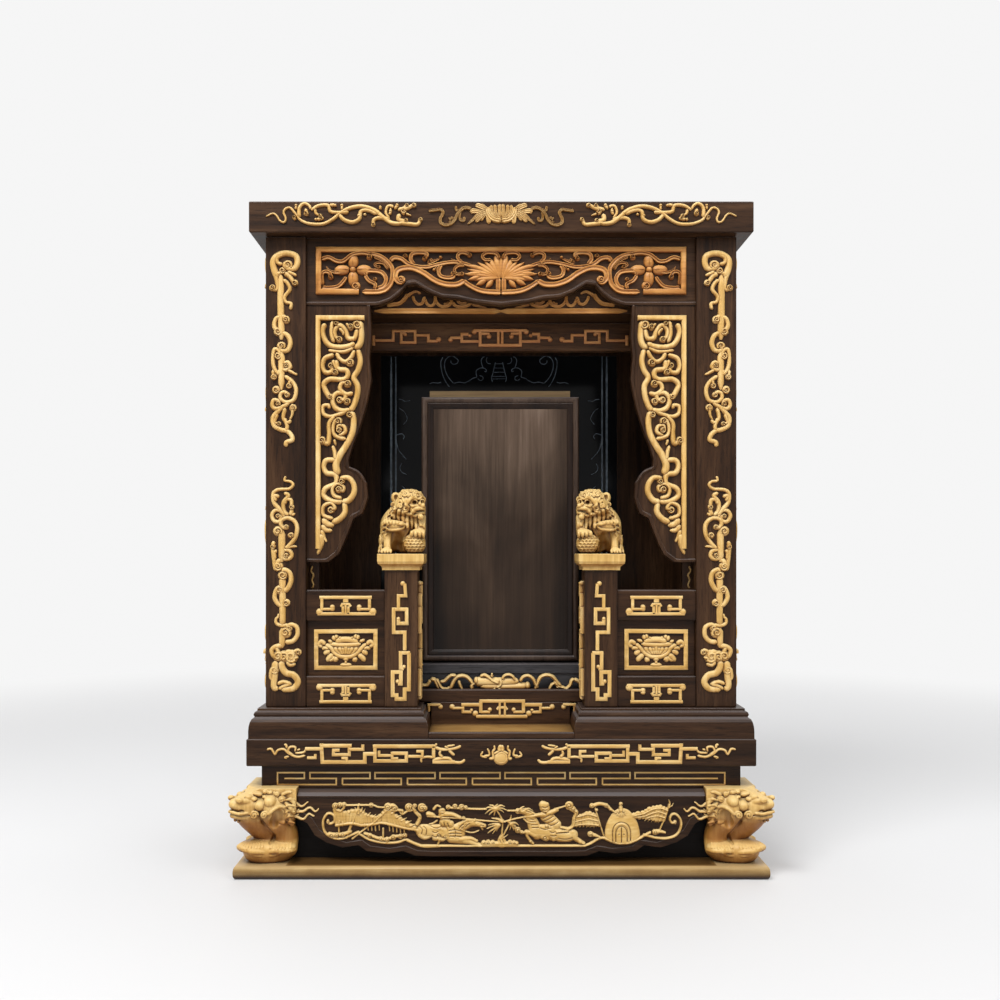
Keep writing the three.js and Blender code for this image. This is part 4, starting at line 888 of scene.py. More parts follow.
CORNICE_LOTUS = [
    (0.09, 0.1, [(-0.02, 0.35), (0.06, 0.33), (0.14, 0.31), (0.18, 0.38), (0.17, 0.48), (0.145, 0.6),
                 (0.15, 0.72), (0.21, 0.79), (0.29, 0.75), (0.35, 0.6), (0.38, 0.46), (0.43, 0.32),
                 (0.5, 0.25), (0.58, 0.29)]),
    (0.08, 0.09, [(0.42, 0.36), (0.41, 0.52), (0.43, 0.64), (0.47, 0.64), (0.475, 0.54)]),
    (0.09, 0.07, [(0.42, 0.32), (0.37, 0.33), (0.36, 0.2)]), (0.05, 0.1, [(0.26, 0.55), (0.3, 0.64)]),
    (0.05, 0.09, [(0.295, 0.52), (0.32, 0.62)]), (0.04, 0.09, [(0.25, 0.69), (0.3, 0.68)]),
    (0.1, 0.2, [(0.79, 0.42), (0.7, 0.38), (0.6, 0.36), (0.57, 0.42)]),
    (0.05, 0.18, [(0.52, 0.77), (0.6, 0.62), (0.68, 0.46), (0.78, 0.38)]),
    (0.12, 0.18, [(0.635, 0.7), (0.68, 0.58), (0.76, 0.42)]),
    (0.12, 0.16, [(0.705, 0.66), (0.73, 0.54), (0.78, 0.42)]),
    (0.16, 0.2, [(0.63, 0.18), (0.68, 0.2), (0.78, 0.3)]),
    (0.12, 0.16, [(0.71, 0.14), (0.74, 0.22), (0.79, 0.32)]),
    (0.14, 0.2, [(0.82, 0.75), (0.81, 0.55), (0.79, 0.35)]), (0.12, 0.14, [(0.9, 0.72), (0.9, 0.6)]),
    (0.12, 0.14, [(0.98, 0.72), (0.98, 0.6)]),
    (0.2, 0.24, [(0.8, 0.24), (0.82, 0.42), (0.88, 0.58), (1.0, 0.64)]),
    (0.12, 0.16, [(0.85, 0.17), (0.86, 0.4), (0.93, 0.6)]),
    (0.12, 0.15, [(0.9, 0.16), (0.91, 0.4), (0.96, 0.6)]),
    (0.13, 0.15, [(0.97, 0.14), (0.965, 0.35), (0.98, 0.6)]),
]
POST_UPPER = [
    (0.035, 0.03, [(0.25, 0.14), (0.12, 0.09), (0.12, 0.05), (0.3, 0.025), (0.55, 0.018), (0.8, 0.03),
                   (0.86, 0.06), (0.78, 0.092), (0.6, 0.095), (0.48, 0.08), (0.52, 0.06)]),
    (0.022, 0.02, [(0.4, 0.075), (0.24, 0.065), (0.24, 0.04), (0.42, 0.025)]),
    (0.025, 0.022, [(0.1, 0.07), (0.12, 0.11), (0.28, 0.12), (0.4, 0.105)]),
    (0.028, 0.02, [(0.1, 0.1), (0.2, 0.14), (0.24, 0.18), (0.2, 0.2), (0.08, 0.195)]),
    (0.036, 0.036, [(0.34, 0.12), (0.34, 0.3), (0.36, 0.45)]), (0.036, 0.034, [(0.36, 0.5), (0.36, 0.7)]),
    (0.03, 0.02, [(0.44, 0.12), (0.6, 0.13), (0.76, 0.17)]),
    (0.022, 0.015, [(0.56, 0.11), (0.7, 0.12), (0.84, 0.13)]),
    (0.022, 0.018,
     [(0.42, 0.15), (0.56, 0.17), (0.62, 0.2), (0.46, 0.235), (0.5, 0.262), (0.66, 0.27), (0.64, 0.3)]),
    (0.024, 0.026, [(0.36, 0.335), (0.2, 0.345), (0.14, 0.38), (0.24, 0.41)]),
    (0.024, 0.03, [(0.34, 0.34), (0.42, 0.335), (0.52, 0.35)]),
    (0.026, 0.026, [(0.38, 0.415), (0.56, 0.43), (0.64, 0.465), (0.56, 0.5), (0.38, 0.505), (0.3, 0.485)]),
    (0.022, 0.022,
     [(0.26, 0.55), (0.3, 0.51), (0.14, 0.5), (0.1, 0.56), (0.16, 0.6), (0.28, 0.62), (0.28, 0.6)]),
    (0.03, 0.02, [(0.3, 0.56), (0.4, 0.56), (0.34, 0.49)]), (0.02, 0.016, [(0.1, 0.6), (0.12, 0.65)]),
    (0.022, 0.02, [(0.38, 0.6), (0.52, 0.6), (0.64, 0.585), (0.56, 0.562), (0.42, 0.57)]),
    (0.02, 0.012, [(0.56, 0.6), (0.72, 0.615), (0.86, 0.625)]),
    (0.022, 0.022, [(0.46, 0.63), (0.7, 0.66), (0.82, 0.7), (0.74, 0.75), (0.5, 0.762), (0.34, 0.745),
                    (0.34, 0.72), (0.46, 0.712), (0.56, 0.725)]),
    (0.02, 0.012, [(0.64, 0.65), (0.56, 0.69)]),
    (0.024, 0.022,
     [(0.62, 0.76), (0.46, 0.78), (0.2, 0.795), (0.08, 0.78), (0.12, 0.752), (0.28, 0.757), (0.28, 0.775)]),
    (0.026, 0.024, [(0.44, 0.78), (0.24, 0.81), (0.1, 0.84), (0.14, 0.88), (0.36, 0.9), (0.52, 0.905),
                    (0.66, 0.925), (0.7, 0.95), (0.52, 0.962), (0.5, 0.985)]),
    (0.022, 0.018, [(0.48, 0.79), (0.42, 0.84), (0.56, 0.865), (0.66, 0.85)]),
    (0.022, 0.02, [(0.44, 0.84), (0.54, 0.88), (0.5, 0.905)]),
    (0.022, 0.01, [(0.7, 0.77), (0.7, 0.82), (0.62, 0.85)]),
    (0.02, 0.014, [(0.24, 0.82), (0.16, 0.86), (0.26, 0.87)]),
]
POST_UPPER_KNOBS = [(0.56, 0.078, 0.025), (0.4, 0.105, 0.018), (0.08, 0.19, 0.016), (0.78, 0.165, 0.016),
                    (0.5, 0.35, 0.02), (0.26, 0.408, 0.022), (0.36, 0.482, 0.022), (0.26, 0.53, 0.02),
                    (0.52, 0.582, 0.014), (0.2, 0.7, 0.02), (0.26, 0.77, 0.014), (0.54, 0.725, 0.014),
                    (0.28, 0.87, 0.012), (0.6, 0.68, 0.015), (0.72, 0.79, 0.018), (0.13, 0.635, 0.016)]
POST_LOWER = [
    (0.012, 0.024, [(0.52, 0.01), (0.5, 0.03), (0.66, 0.035), (0.74, 0.05), (0.62, 0.068), (0.3, 0.072),
                    (0.16, 0.09), (0.18, 0.13), (0.34, 0.16), (0.5, 0.19)]),
    (0.02, 0.02, [(0.24, 0.125), (0.2, 0.1), (0.34, 0.105)]),
    (0.02, 0.02, [(0.48, 0.085), (0.6, 0.1), (0.46, 0.13), (0.48, 0.17), (0.62, 0.19)]),
    (0.02, 0.018, [(0.48, 0.14), (0.54, 0.118), (0.68, 0.12), (0.7, 0.15)]),
    (0.026, 0.01, [(0.66, 0.19), (0.7, 0.165), (0.66, 0.14)]), (0.02, 0.01, [(0.7, 0.19), (0.8, 0.178)]),
    (0.02, 0.02, [(0.5, 0.2), (0.36, 0.168), (0.2, 0.168), (0.12, 0.19), (0.2, 0.215), (0.34, 0.215),
                  (0.38, 0.195), (0.28, 0.192)]),
    (0.02, 0.022, [(0.56, 0.238), (0.46, 0.245), (0.38, 0.228), (0.42, 0.208), (0.6, 0.2), (0.78, 0.215),
                   (0.86, 0.245), (0.8, 0.29), (0.6, 0.33), (0.5, 0.335)]),
    (0.034, 0.034, [(0.41, 0.25), (0.41, 0.4)]), (0.034, 0.03, [(0.43, 0.46), (0.43, 0.6), (0.43, 0.69)]),
    (0.02, 0.012, [(0.6, 0.275), (0.72, 0.29)]), (0.02, 0.01, [(0.56, 0.335), (0.72, 0.33), (0.86, 0.33)]),
    (0.02, 0.02, [(0.46, 0.345), (0.64, 0.35), (0.7, 0.37), (0.62, 0.385), (0.48, 0.385), (0.46, 0.37)]),
    (0.02, 0.022, [(0.17, 0.305), (0.15, 0.34), (0.2, 0.41), (0.24, 0.44)]),
    (0.02, 0.016, [(0.26, 0.345), (0.2, 0.36), (0.22, 0.39)]),
    (0.03, 0.024, [(0.24, 0.43), (0.3, 0.4), (0.42, 0.39)]),
    (0.022, 0.026, [(0.42, 0.45), (0.48, 0.435), (0.64, 0.45), (0.68, 0.485), (0.58, 0.52), (0.44, 0.535)]),
    (0.022, 0.024, [(0.36, 0.52), (0.26, 0.525), (0.2, 0.56), (0.3, 0.59), (0.44, 0.6), (0.54, 0.588)]),
    (0.012, 0.024,
     [(0.32, 0.635), (0.3, 0.65), (0.24, 0.66), (0.26, 0.68), (0.42, 0.69), (0.56, 0.69), (0.6, 0.71)]),
    (0.024, 0.02,
     [(0.5, 0.765), (0.72, 0.76), (0.86, 0.735), (0.86, 0.7), (0.72, 0.685), (0.6, 0.69), (0.62, 0.705)]),
    (0.03, 0.03, [(0.42, 0.7), (0.42, 0.79)]),
    (0.026, 0.022, [(0.44, 0.78), (0.24, 0.785), (0.12, 0.8), (0.16, 0.825), (0.26, 0.835)]),
    (0.022, 0.018, [(0.24, 0.785), (0.34, 0.82), (0.42, 0.85)]),
    (0.034, 0.03, [(0.22, 0.85), (0.2, 0.91), (0.18, 0.965), (0.3, 0.98)]),
    (0.026, 0.014, [(0.14, 0.88), (0.08, 0.92), (0.14, 0.94)]),
    (0.034, 0.028,
     [(0.4, 0.85), (0.42, 0.88), (0.54, 0.905), (0.76, 0.915), (0.88, 0.945), (0.74, 0.975), (0.4, 0.98)]),
    (0.02, 0.018, [(0.28, 0.955), (0.46, 0.945), (0.64, 0.955), (0.46, 0.965), (0.32, 0.978)]),
    (0.03, 0.022, [(0.5, 0.82), (0.62, 0.81), (0.72, 0.82), (0.84, 0.8)]),
    (0.022, 0.018, [(0.56, 0.85), (0.66, 0.868), (0.82, 0.862)]),
    (0.02, 0.012, [(0.76, 0.81), (0.88, 0.8), (0.96, 0.812)]),
    (0.02, 0.016, [(0.6, 0.84), (0.74, 0.84), (0.9, 0.832)]),
]
POST_LOWER_KNOBS = [(0.3, 0.26, 0.022), (0.44, 0.46, 0.022), (0.34, 0.527, 0.02), (0.54, 0.585, 0.017),
                    (0.52, 0.72, 0.026), (0.62, 0.7, 0.016), (0.3, 0.828, 0.024), (0.68, 0.83, 0.03),
                    (0.3, 0.192, 0.012), (0.54, 0.37, 0.012), (0.54, 0.242, 0.012), (0.3, 0.42, 0.022),
                    (0.68, 0.28, 0.014), (0.2, 0.89, 0.02), (0.47, 0.83, 0.026), (0.7, 0.15, 0.012),
                    (0.9, 0.81, 0.014), (0.15, 0.33, 0.012)]
SLAB_BARS = [
    (0.12, [(0.19, 0.31), (0.28, 0.31)]), (0.1, [(0.24, 0.5), (0.24, 0.63), (0.2, 0.63)]),
    (0.13, [(0.27, 0.12), (0.275, 0.78), (0.485, 0.78), (0.485, 0.49), (0.535, 0.49)]),
    (0.13, [(0.265, 0.2), (0.42, 0.2)]),
    (0.11, [(0.408, 0.2), (0.408, 0.52), (0.33, 0.52), (0.33, 0.36), (0.36, 0.36)]),
    (0.11, [(0.408, 0.33), (0.475, 0.33), (0.475, 0.16)]),
    (0.1, [(0.37, 0.64), (0.395, 0.64), (0.395, 0.78)]), (0.13, [(0.525, 0.22), (0.835, 0.22)]),
    (0.12, [(0.535, 0.2), (0.535, 0.74), (0.69, 0.74), (0.69, 0.47), (0.62, 0.47)]),
    (0.1, [(0.555, 0.38), (0.555, 0.55), (0.62, 0.55), (0.62, 0.42)]),
    (0.1, [(0.62, 0.5), (0.62, 0.66), (0.65, 0.66)]),
    (0.1, [(0.7, 0.58), (0.77, 0.58), (0.77, 0.4), (0.74, 0.4)]), (0.12, [(0.825, 0.22), (0.825, 0.62)]),
    (0.12, [(0.82, 0.78), (0.93, 0.78)]),
]
SLAB_STROKES = [
    (0.08, 0.1, [(0.0, 0.34), (0.022, 0.32), (0.04, 0.5), (0.055, 0.36), (0.085, 0.33), (0.11, 0.48),
                 (0.15, 0.6), (0.19, 0.55)]),
    (0.1, 0.08, [(0.13, 0.55), (0.105, 0.4), (0.115, 0.25), (0.14, 0.26), (0.14, 0.42)]),
    (0.1, 0.08, [(0.1, 0.3), (0.095, 0.18), (0.085, 0.16)]), (0.09, 0.06, [(0.15, 0.36), (0.165, 0.32)]),
    (0.09, 0.08, [(0.14, 0.46), (0.18, 0.44), (0.195, 0.32)]),
    (0.09, 0.06, [(0.11, 0.58), (0.09, 0.62), (0.1, 0.66)]),
    (0.12, 0.1, [(0.83, 0.25), (0.86, 0.33), (0.9, 0.33), (0.94, 0.28), (0.96, 0.2)]),
    (0.12, 0.08, [(0.87, 0.62), (0.855, 0.5), (0.86, 0.36)]),
    (0.12, 0.1, [(0.9, 0.35), (0.92, 0.5), (0.93, 0.52)]), (0.09, 0.06, [(0.88, 0.22), (0.9, 0.3)]),
    (0.08, 0.07, [(0.89, 0.22), (0.93, 0.18)]),
    (0.14, 0.1, [(0.82, 0.72), (0.86, 0.66), (0.9, 0.66), (0.92, 0.78), (0.96, 0.8), (0.98, 0.7)]),
    (0.1, 0.08, [(0.83, 0.62), (0.79, 0.6), (0.765, 0.66), (0.765, 0.8)]),
    (0.1, 0.08, [(0.84, 0.2), (0.835, 0.12)]),
]
PEARL = [
    (0.1, 0.06, [(0.2, 0.62), (0.07, 0.56), (0.11, 0.4)]),
    (0.1, 0.06, [(0.12, 0.58), (0.24, 0.54), (0.24, 0.42), (0.2, 0.3)]),
    (0.12, 0.07, [(0.24, 0.66), (0.33, 0.64), (0.32, 0.42), (0.36, 0.32), (0.35, 0.19)]),
    (0.1, 0.08, [(0.34, 0.5), (0.4, 0.44), (0.46, 0.4)]),
    (0.16, 0.12, [(0.47, 0.42), (0.47, 0.28), (0.5, 0.18)]),
    (0.14, 0.12, [(0.53, 0.42), (0.53, 0.28), (0.51, 0.18)]),
    (0.1, 0.06, [(0.8, 0.62), (0.94, 0.56), (0.9, 0.4)]),
    (0.1, 0.06, [(0.88, 0.58), (0.78, 0.54), (0.78, 0.42), (0.81, 0.3)]),
    (0.12, 0.07, [(0.74, 0.66), (0.67, 0.64), (0.69, 0.42), (0.65, 0.32), (0.655, 0.19)]),
    (0.1, 0.08, [(0.66, 0.5), (0.6, 0.44), (0.54, 0.4)]),
    (0.1, 0.1, [(0.42, 0.55), (0.5, 0.45), (0.6, 0.52), (0.62, 0.68), (0.55, 0.8), (0.43, 0.76), (0.4, 0.62),
                (0.46, 0.54)]),
]
URN_STROKES = [
    (0.1, 0.08, [(0.2, 0.4), (0.14, 0.34), (0.1, 0.4), (0.16, 0.45)]),
    (0.1, 0.09, [(0.2, 0.4), (0.28, 0.46), (0.34, 0.58), (0.42, 0.64), (0.5, 0.65), (0.58, 0.64),
                 (0.66, 0.58), (0.74, 0.46), (0.8, 0.38)]),
    (0.1, 0.1, [(0.26, 0.39), (0.5, 0.41), (0.72, 0.385)]),
    (0.14, 0.12, [(0.35, 0.36), (0.42, 0.31), (0.52, 0.3), (0.62, 0.32), (0.68, 0.36)]),
    (0.11, 0.08, [(0.5, 0.42), (0.5, 0.5), (0.5, 0.61)]),
    (0.1, 0.06, [(0.452, 0.45), (0.462, 0.52), (0.48, 0.61)]),
    (0.1, 0.06, [(0.548, 0.45), (0.538, 0.52), (0.52, 0.61)]),
    (0.12, 0.06, [(0.4, 0.45), (0.425, 0.53), (0.46, 0.61)]),
    (0.12, 0.06, [(0.6, 0.45), (0.575, 0.53), (0.54, 0.61)]),
    (0.12, 0.05, [(0.335, 0.45), (0.37, 0.53), (0.435, 0.61)]),
    (0.12, 0.05, [(0.665, 0.45), (0.63, 0.53), (0.565, 0.61)]),
    (0.1, 0.08, [(0.8, 0.4), (0.86, 0.34), (0.9, 0.4), (0.84, 0.45)]),
    (0.1, 0.07, [(0.25, 0.48), (0.18, 0.47), (0.16, 0.51)]),
    (0.12, 0.1, [(0.27, 0.53), (0.21, 0.56), (0.19, 0.61)]),
    (0.13, 0.1, [(0.32, 0.6), (0.26, 0.66), (0.22, 0.74)]),
    (0.13, 0.12, [(0.38, 0.65), (0.35, 0.7), (0.36, 0.75)]),
    (0.1, 0.06, [(0.34, 0.64), (0.3, 0.7), (0.25, 0.73)]),
    (0.1, 0.07, [(0.76, 0.48), (0.83, 0.47), (0.84, 0.51)]),
    (0.12, 0.1, [(0.73, 0.53), (0.78, 0.56), (0.81, 0.61)]),
    (0.13, 0.1, [(0.68, 0.6), (0.74, 0.66), (0.78, 0.74)]),
    (0.13, 0.12, [(0.61, 0.66), (0.63, 0.7), (0.65, 0.75)]), (0.12, 0.12, [(0.46, 0.69), (0.54, 0.69)]),
    (0.1, 0.12, [(0.48, 0.76), (0.52, 0.76)]), (0.08, 0.08, [(0.42, 0.81), (0.58, 0.81)]),
    (0.08, 0.06, [(0.3, 0.36), (0.24, 0.31)]), (0.1, 0.08, [(0.34, 0.32), (0.31, 0.22)]),
    (0.1, 0.08, [(0.37, 0.28), (0.35, 0.2)]), (0.08, 0.07, [(0.4, 0.28), (0.43, 0.24)]),
    (0.08, 0.06, [(0.7, 0.34), (0.78, 0.3)]), (0.1, 0.08, [(0.67, 0.3), (0.68, 0.2)]),
    (0.08, 0.08, [(0.63, 0.28), (0.65, 0.19)]), (0.08, 0.06, [(0.6, 0.28), (0.58, 0.24)]),
]
RAIL_BARS = [
    (0.13, [(0.1, 0.21), (0.88, 0.21)]), (0.12, [(0.135, 0.2), (0.135, 0.7)]),
    (0.12, [(0.845, 0.2), (0.845, 0.7)]), (0.12, [(0.07, 0.84), (0.93, 0.84)]),
    (0.1, [(0.14, 0.66), (0.29, 0.66)]), (0.1, [(0.68, 0.66), (0.85, 0.66)]),
    (0.2, [(0.49, 0.24), (0.49, 0.4)]), (0.11, [(0.45, 0.55), (0.45, 0.84)]),
    (0.11, [(0.53, 0.55), (0.53, 0.84)]), (0.1, [(0.42, 0.56), (0.44, 0.47), (0.54, 0.47), (0.565, 0.56)]),
    (0.09, [(0.49, 0.5), (0.49, 0.86)]),
]
RAIL_KNOBS = [(0.1, 0.77, 0.14), (0.89, 0.76, 0.15), (0.29, 0.58, 0.1), (0.29, 0.66, 0.1), (0.69, 0.58, 0.1),
              (0.69, 0.66, 0.1)]
NEWEL_BARS = [
    (0.026, [(0.7, 0.06), (0.74, 0.155), (0.44, 0.155), (0.44, 0.25)]),
    (0.028, [(0.44, 0.26), (0.78, 0.26), (0.78, 0.37), (0.44, 0.37), (0.44, 0.34)]),
    (0.028, [(0.44, 0.26), (0.24, 0.26), (0.24, 0.44), (0.7, 0.44), (0.7, 0.58)]),
    (0.028, [(0.92, 0.6), (0.53, 0.6), (0.53, 0.72), (0.66, 0.725)]),
    (0.03, [(0.88, 0.6), (0.88, 0.885), (0.7, 0.885), (0.7, 0.96), (0.36, 0.96), (0.36, 0.93), (0.2, 0.93),
            (0.2, 0.75), (0.54, 0.75), (0.54, 0.84), (0.42, 0.84)]),
]
NEWEL_KNOBS = [(0.62, 0.06, 0.02), (0.43, 0.335, 0.016), (0.66, 0.71, 0.017), (0.4, 0.825, 0.018)]
THRESHOLD_BARS = [
    (0.09, [(0.025, 0.62), (0.025, 0.38), (0.1, 0.38)]), (0.09, [(0.18, 0.5), (0.25, 0.5)]),
    (0.12, [(0.235, 0.38), (0.36, 0.38)]), (0.1, [(0.245, 0.38), (0.245, 0.64), (0.3, 0.64)]),
    (0.12, [(0.352, 0.25), (0.645, 0.25)]), (0.12, [(0.36, 0.24), (0.36, 0.66)]),
    (0.12, [(0.635, 0.24), (0.635, 0.66)]), (0.12, [(0.33, 0.8), (0.66, 0.8)]),
    (0.1, [(0.36, 0.64), (0.42, 0.64)]), (0.1, [(0.57, 0.64), (0.635, 0.64)]),
    (0.08, [(0.482, 0.28), (0.482, 0.78)]), (0.08, [(0.515, 0.28), (0.515, 0.78)]),
    (0.09, [(0.465, 0.55), (0.475, 0.48), (0.52, 0.48), (0.53, 0.55)]), (0.12, [(0.64, 0.38), (0.755, 0.38)]),
    (0.1, [(0.745, 0.38), (0.745, 0.64), (0.69, 0.64)]), (0.09, [(0.75, 0.5), (0.81, 0.5)]),
    (0.09, [(0.89, 0.37), (0.965, 0.37), (0.965, 0.62)]),
]
THRESHOLD_KNOBS = [(0.1, 0.46, 0.09), (0.175, 0.46, 0.1), (0.325, 0.7, 0.11), (0.67, 0.7, 0.11),
                   (0.418, 0.56, 0.08), (0.572, 0.56, 0.08), (0.82, 0.46, 0.1), (0.895, 0.46, 0.09),
                   (0.3, 0.58, 0.06), (0.69, 0.58, 0.06)]
BEAM_BARS = [
    (0.11, [(0.028, 0.42), (0.028, 0.78)]),
    (0.1, [(0.04, 0.6), (0.175, 0.6), (0.175, 0.26), (0.34, 0.26), (0.34, 0.67), (0.235, 0.67), (0.235, 0.34),
           (0.27, 0.34)]),
    (0.1, [(0.345, 0.41), (0.44, 0.41), (0.44, 0.62), (0.51, 0.62)]), (0.1, [(0.605, 0.5), (0.69, 0.5)]),
    (0.1, [(0.74, 0.37), (0.69, 0.37), (0.69, 0.63), (0.83, 0.63)]), (0.11, [(0.78, 0.24), (1.0, 0.24)]),
    (0.11, [(0.828, 0.24), (0.828, 0.77), (1.0, 0.77)]), (0.1, [(0.83, 0.35), (0.9, 0.35)]),
    (0.1, [(0.965, 0.24), (0.965, 0.77)]),
]
BEAM_KNOBS = [(0.265, 0.38, 0.07), (0.515, 0.56, 0.1), (0.605, 0.56, 0.09), (0.75, 0.42, 0.07),
              (0.785, 0.28, 0.1), (0.895, 0.45, 0.09), (1.0, 0.5, 0.14)]


def lay(relief, strokes, height, knobs=(), profile=ROUND, per_span=5, slim=1.0):
    for i, (first, last, points) in enumerate(strokes):
        rise = height * (1 - STROKE_STEP * (i % 7))
        relief.stroke((first * slim, last * slim), points, rise, profile, per_span)
    for i, (u, v, r) in enumerate(knobs):
        size = r * relief.unit * slim
        if size > WHORL_LEAST:
            relief.whorl(u, v, size * 1.12, height * 1.15, 1 if i % 2 else -1)
        else:
            relief.dome(u, v, size, size, 0, height * 1.15)


def lay_bars(relief, bars, height, knobs=()):
    for i, (width, points) in enumerate(bars):
        relief.bar(width, points, height * (1 - BAR_STEP * (i % 5)))
    for u, v, r in knobs:
        relief.dome(u, v, r * relief.unit, r * relief.unit, 0, height * 1.15)


RELIEF = 2.6 * MM
FRET = 1.8 * MM
APRON_SET = 1.0 * MM
INLAY = 0.35 * MM
BAR_STEP = 0.035
STROKE_STEP = 0.025
WHORL_LEAST = 1.6 * MM


def face_y(node):
    return shown(node)[0].y


def build_cornice_carving():
    y = face_y("cornice_frame")
    dragon = front_field(CORNICE_DRAGON_PX, y)
    lay(dragon, CORNICE_DRAGON, RELIEF, CORNICE_DRAGON_KNOBS, ROUND, 6, 1.06)
    dragon.pair("cornice_dragon_left", "cornice_dragon_right", GOLD, "carved_wood")
    lotus = front_field(CORNICE_LOTUS_PX, y)
    lay(lotus, CORNICE_LOTUS, RELIEF, (), RIBBED, 6, 1.0)
    lotus.pair("cornice_lotus_left", "cornice_lotus_right", GOLD, "carved_wood")


def side_field(source_px, source_y, x):
    """The same field as on a front face, laid on the outer side face at x."""
    x0, z0 = photo_point(source_px[0], source_px[1], source_y)
    x1, z1 = photo_point(source_px[2], source_px[3], source_y)
    low = shown("post_front_left")[0]
    margin = x0 - low.x
    width = x1 - x0
    return Relief((x, low.y + margin + width, z0), (0, -width, 0), (0, 0, z1 - z0), (-1, 0, 0))


def build_post_carving():
    y = face_y("post_front_left")
    x = shown("post_front_left")[0].x
    for part, pixels, strokes, knobs in (("upper", POST_UPPER_PX, POST_UPPER, POST_UPPER_KNOBS),
                                         ("lower", POST_LOWER_PX, POST_LOWER, POST_LOWER_KNOBS)):
        front = front_field(pixels, y)
        lay(front, strokes, RELIEF, knobs, ROUND, 6, 0.96)
        front.pair(f"post_{part}_carving_left", f"post_{part}_carving_right", GOLD_UP, "carved_wood")
        side = side_field(pixels, y, x)
        lay(side, strokes, RELIEF, knobs, ROUND, 6, 0.96)
        side.pair(f"side_{part}_carving_left", f"side_{part}_carving_right", GOLD_UP, "carved_wood")


def build_slab_carving():
    y = face_y("platform_slab")
    dragon = front_field(SLAB_DRAGON_PX, y)
    lay_bars(dragon, SLAB_BARS, FRET)
    lay(dragon, SLAB_STROKES, FRET * 1.1)
    dragon.pair("slab_dragon_left", "slab_dragon_right", GOLD, "carved_wood")
    pearl = front_field(SLAB_PEARL_PX, y)
    lay(pearl, PEARL, FRET)
    pearl.dome(0.5, 0.64, 0.17 * pearl.across.length, 0.26 * pearl.unit, 0, FRET * 1.1)
    pearl.piece("slab_pearl", GOLD, "carved_wood")


def build_rail_carving():
    y = face_y("left_upper_rail")
    panel_y = face_y("left_rail_panel")
    for name, pixels in (("high", RAIL_HIGH_PX), ("low", RAIL_LOW_PX)):
        rail = front_field(pixels, y)
        flip = (lambda v: v) if name == "high" else (lambda v: 1.05 - v)
        bars = [(w, [(u, flip(v)) for u, v in pts]) for w, pts in RAIL_BARS]
        knobs = [(u, flip(v), r) for u, v, r in RAIL_KNOBS]
        lay_bars(rail, bars, FRET, knobs)
        rail.pair(f"rail_fret_{name}_left", f"rail_fret_{name}_right", GOLD, "carved_wood")
    urn = front_field(URN_PX, panel_y)
    urn.bar(0.085, [(0.065, 0.13), (0.935, 0.12), (0.935, 0.87), (0.065, 0.87)], FRET, closed=True)
    lay(urn, URN_STROKES, RELIEF)
    urn.dome(0.5, 0.5, 0.22 * urn.across.length, 0.16 * urn.unit, 0, RELIEF * 0.42)
    urn.pair("urn_panel_left", "urn_panel_right", GOLD, "carved_wood")


def build_newel_carving():
    front = front_field(NEWEL_PX, face_y("left_newel"))
    lay_bars(front, NEWEL_BARS, FRET, NEWEL_KNOBS)
    front.pair("newel_fret_left", "newel_fret_right", GOLD_UP, "carved_wood")
    low, high = shown("left_newel")
    x0, z0 = photo_point(NEWEL_PX[0], NEWEL_PX[1], low.y)
    x1, z1 = photo_point(NEWEL_PX[2], NEWEL_PX[3], low.y)
    inset = x0 - low.x
    side = Relief((high.x, low.y + inset, z0), (0, x1 - x0, 0), (0, 0, z1 - z0), (1, 0, 0))
    lay_bars(side, NEWEL_BARS, FRET * 2, NEWEL_KNOBS)
    side.pair("newel_side_fret_left", "newel_side_fret_right", GOLD_UP, "carved_wood")


def build_threshold_carving():
    relief = front_field(THRESHOLD_PX, face_y("threshold_rail"))
    lay_bars(relief, THRESHOLD_BARS, FRET, THRESHOLD_KNOBS)
    relief.piece("threshold_fret", GOLD, "carved_wood")


def build_beam_carving():
    relief = front_field(BEAM_PX, face_y("fret_beam"))
    lay_bars(relief, BEAM_BARS, FRET, BEAM_KNOBS)
    relief.pair("beam_fret_left", "beam_fret_right", NICHE_SHADED_GOLD, "carved_wood")


def build_waist_inlay():
    """A key pattern of thin inlaid lines that turns back on itself, repeated across the waist."""
    low = shown("waist_frame")[0]
    x0, z0 = photo_point(WAIST_PX[0], WAIST_PX[1], low.y)
    x1, z1 = photo_point(WAIST_PX[2], WAIST_PX[3], low.y)
    width = x1 - x0
    top, middle, bottom = 0.13, 0.42, 0.73
    end = (0 - x0) / width * 2
    start, step, gap = 0.02, 0.52, 0.26
    line = 0.075
    relief = Relief((x0, low.y + 0.1 * MM, z0), (width, 0, 0), (0, 0, z1 - z0), (0, -1, 0))
    relief.bar(line, [(0.075, middle), (0.235, middle), (0.235, top), (start, top), (start, bottom),
                      (0.49, bottom), (0.49, middle), (0.28, middle), (0.28, top), (0.76, top),
                      (0.76, middle), (0.54, middle), (0.54, bottom)], INLAY)
    base = 0.54
    while base + step + gap * 2 < end:
        relief.bar(line, [(base, bottom), (base + 0.47, bottom), (base + 0.47, middle), (base + gap, middle),
                          (base + gap, top), (base + 0.74, top), (base + 0.74, middle), (base + step, middle),
                          (base + step, bottom)], INLAY)
        base += step
    relief.bar(line, [(base, bottom), (end - start, bottom), (end - start, top), (base + gap, top),
                      (base + gap, middle), (end - 0.075, middle)], INLAY)
    relief.piece("waist_inlay", GOLD, "carved_wood")


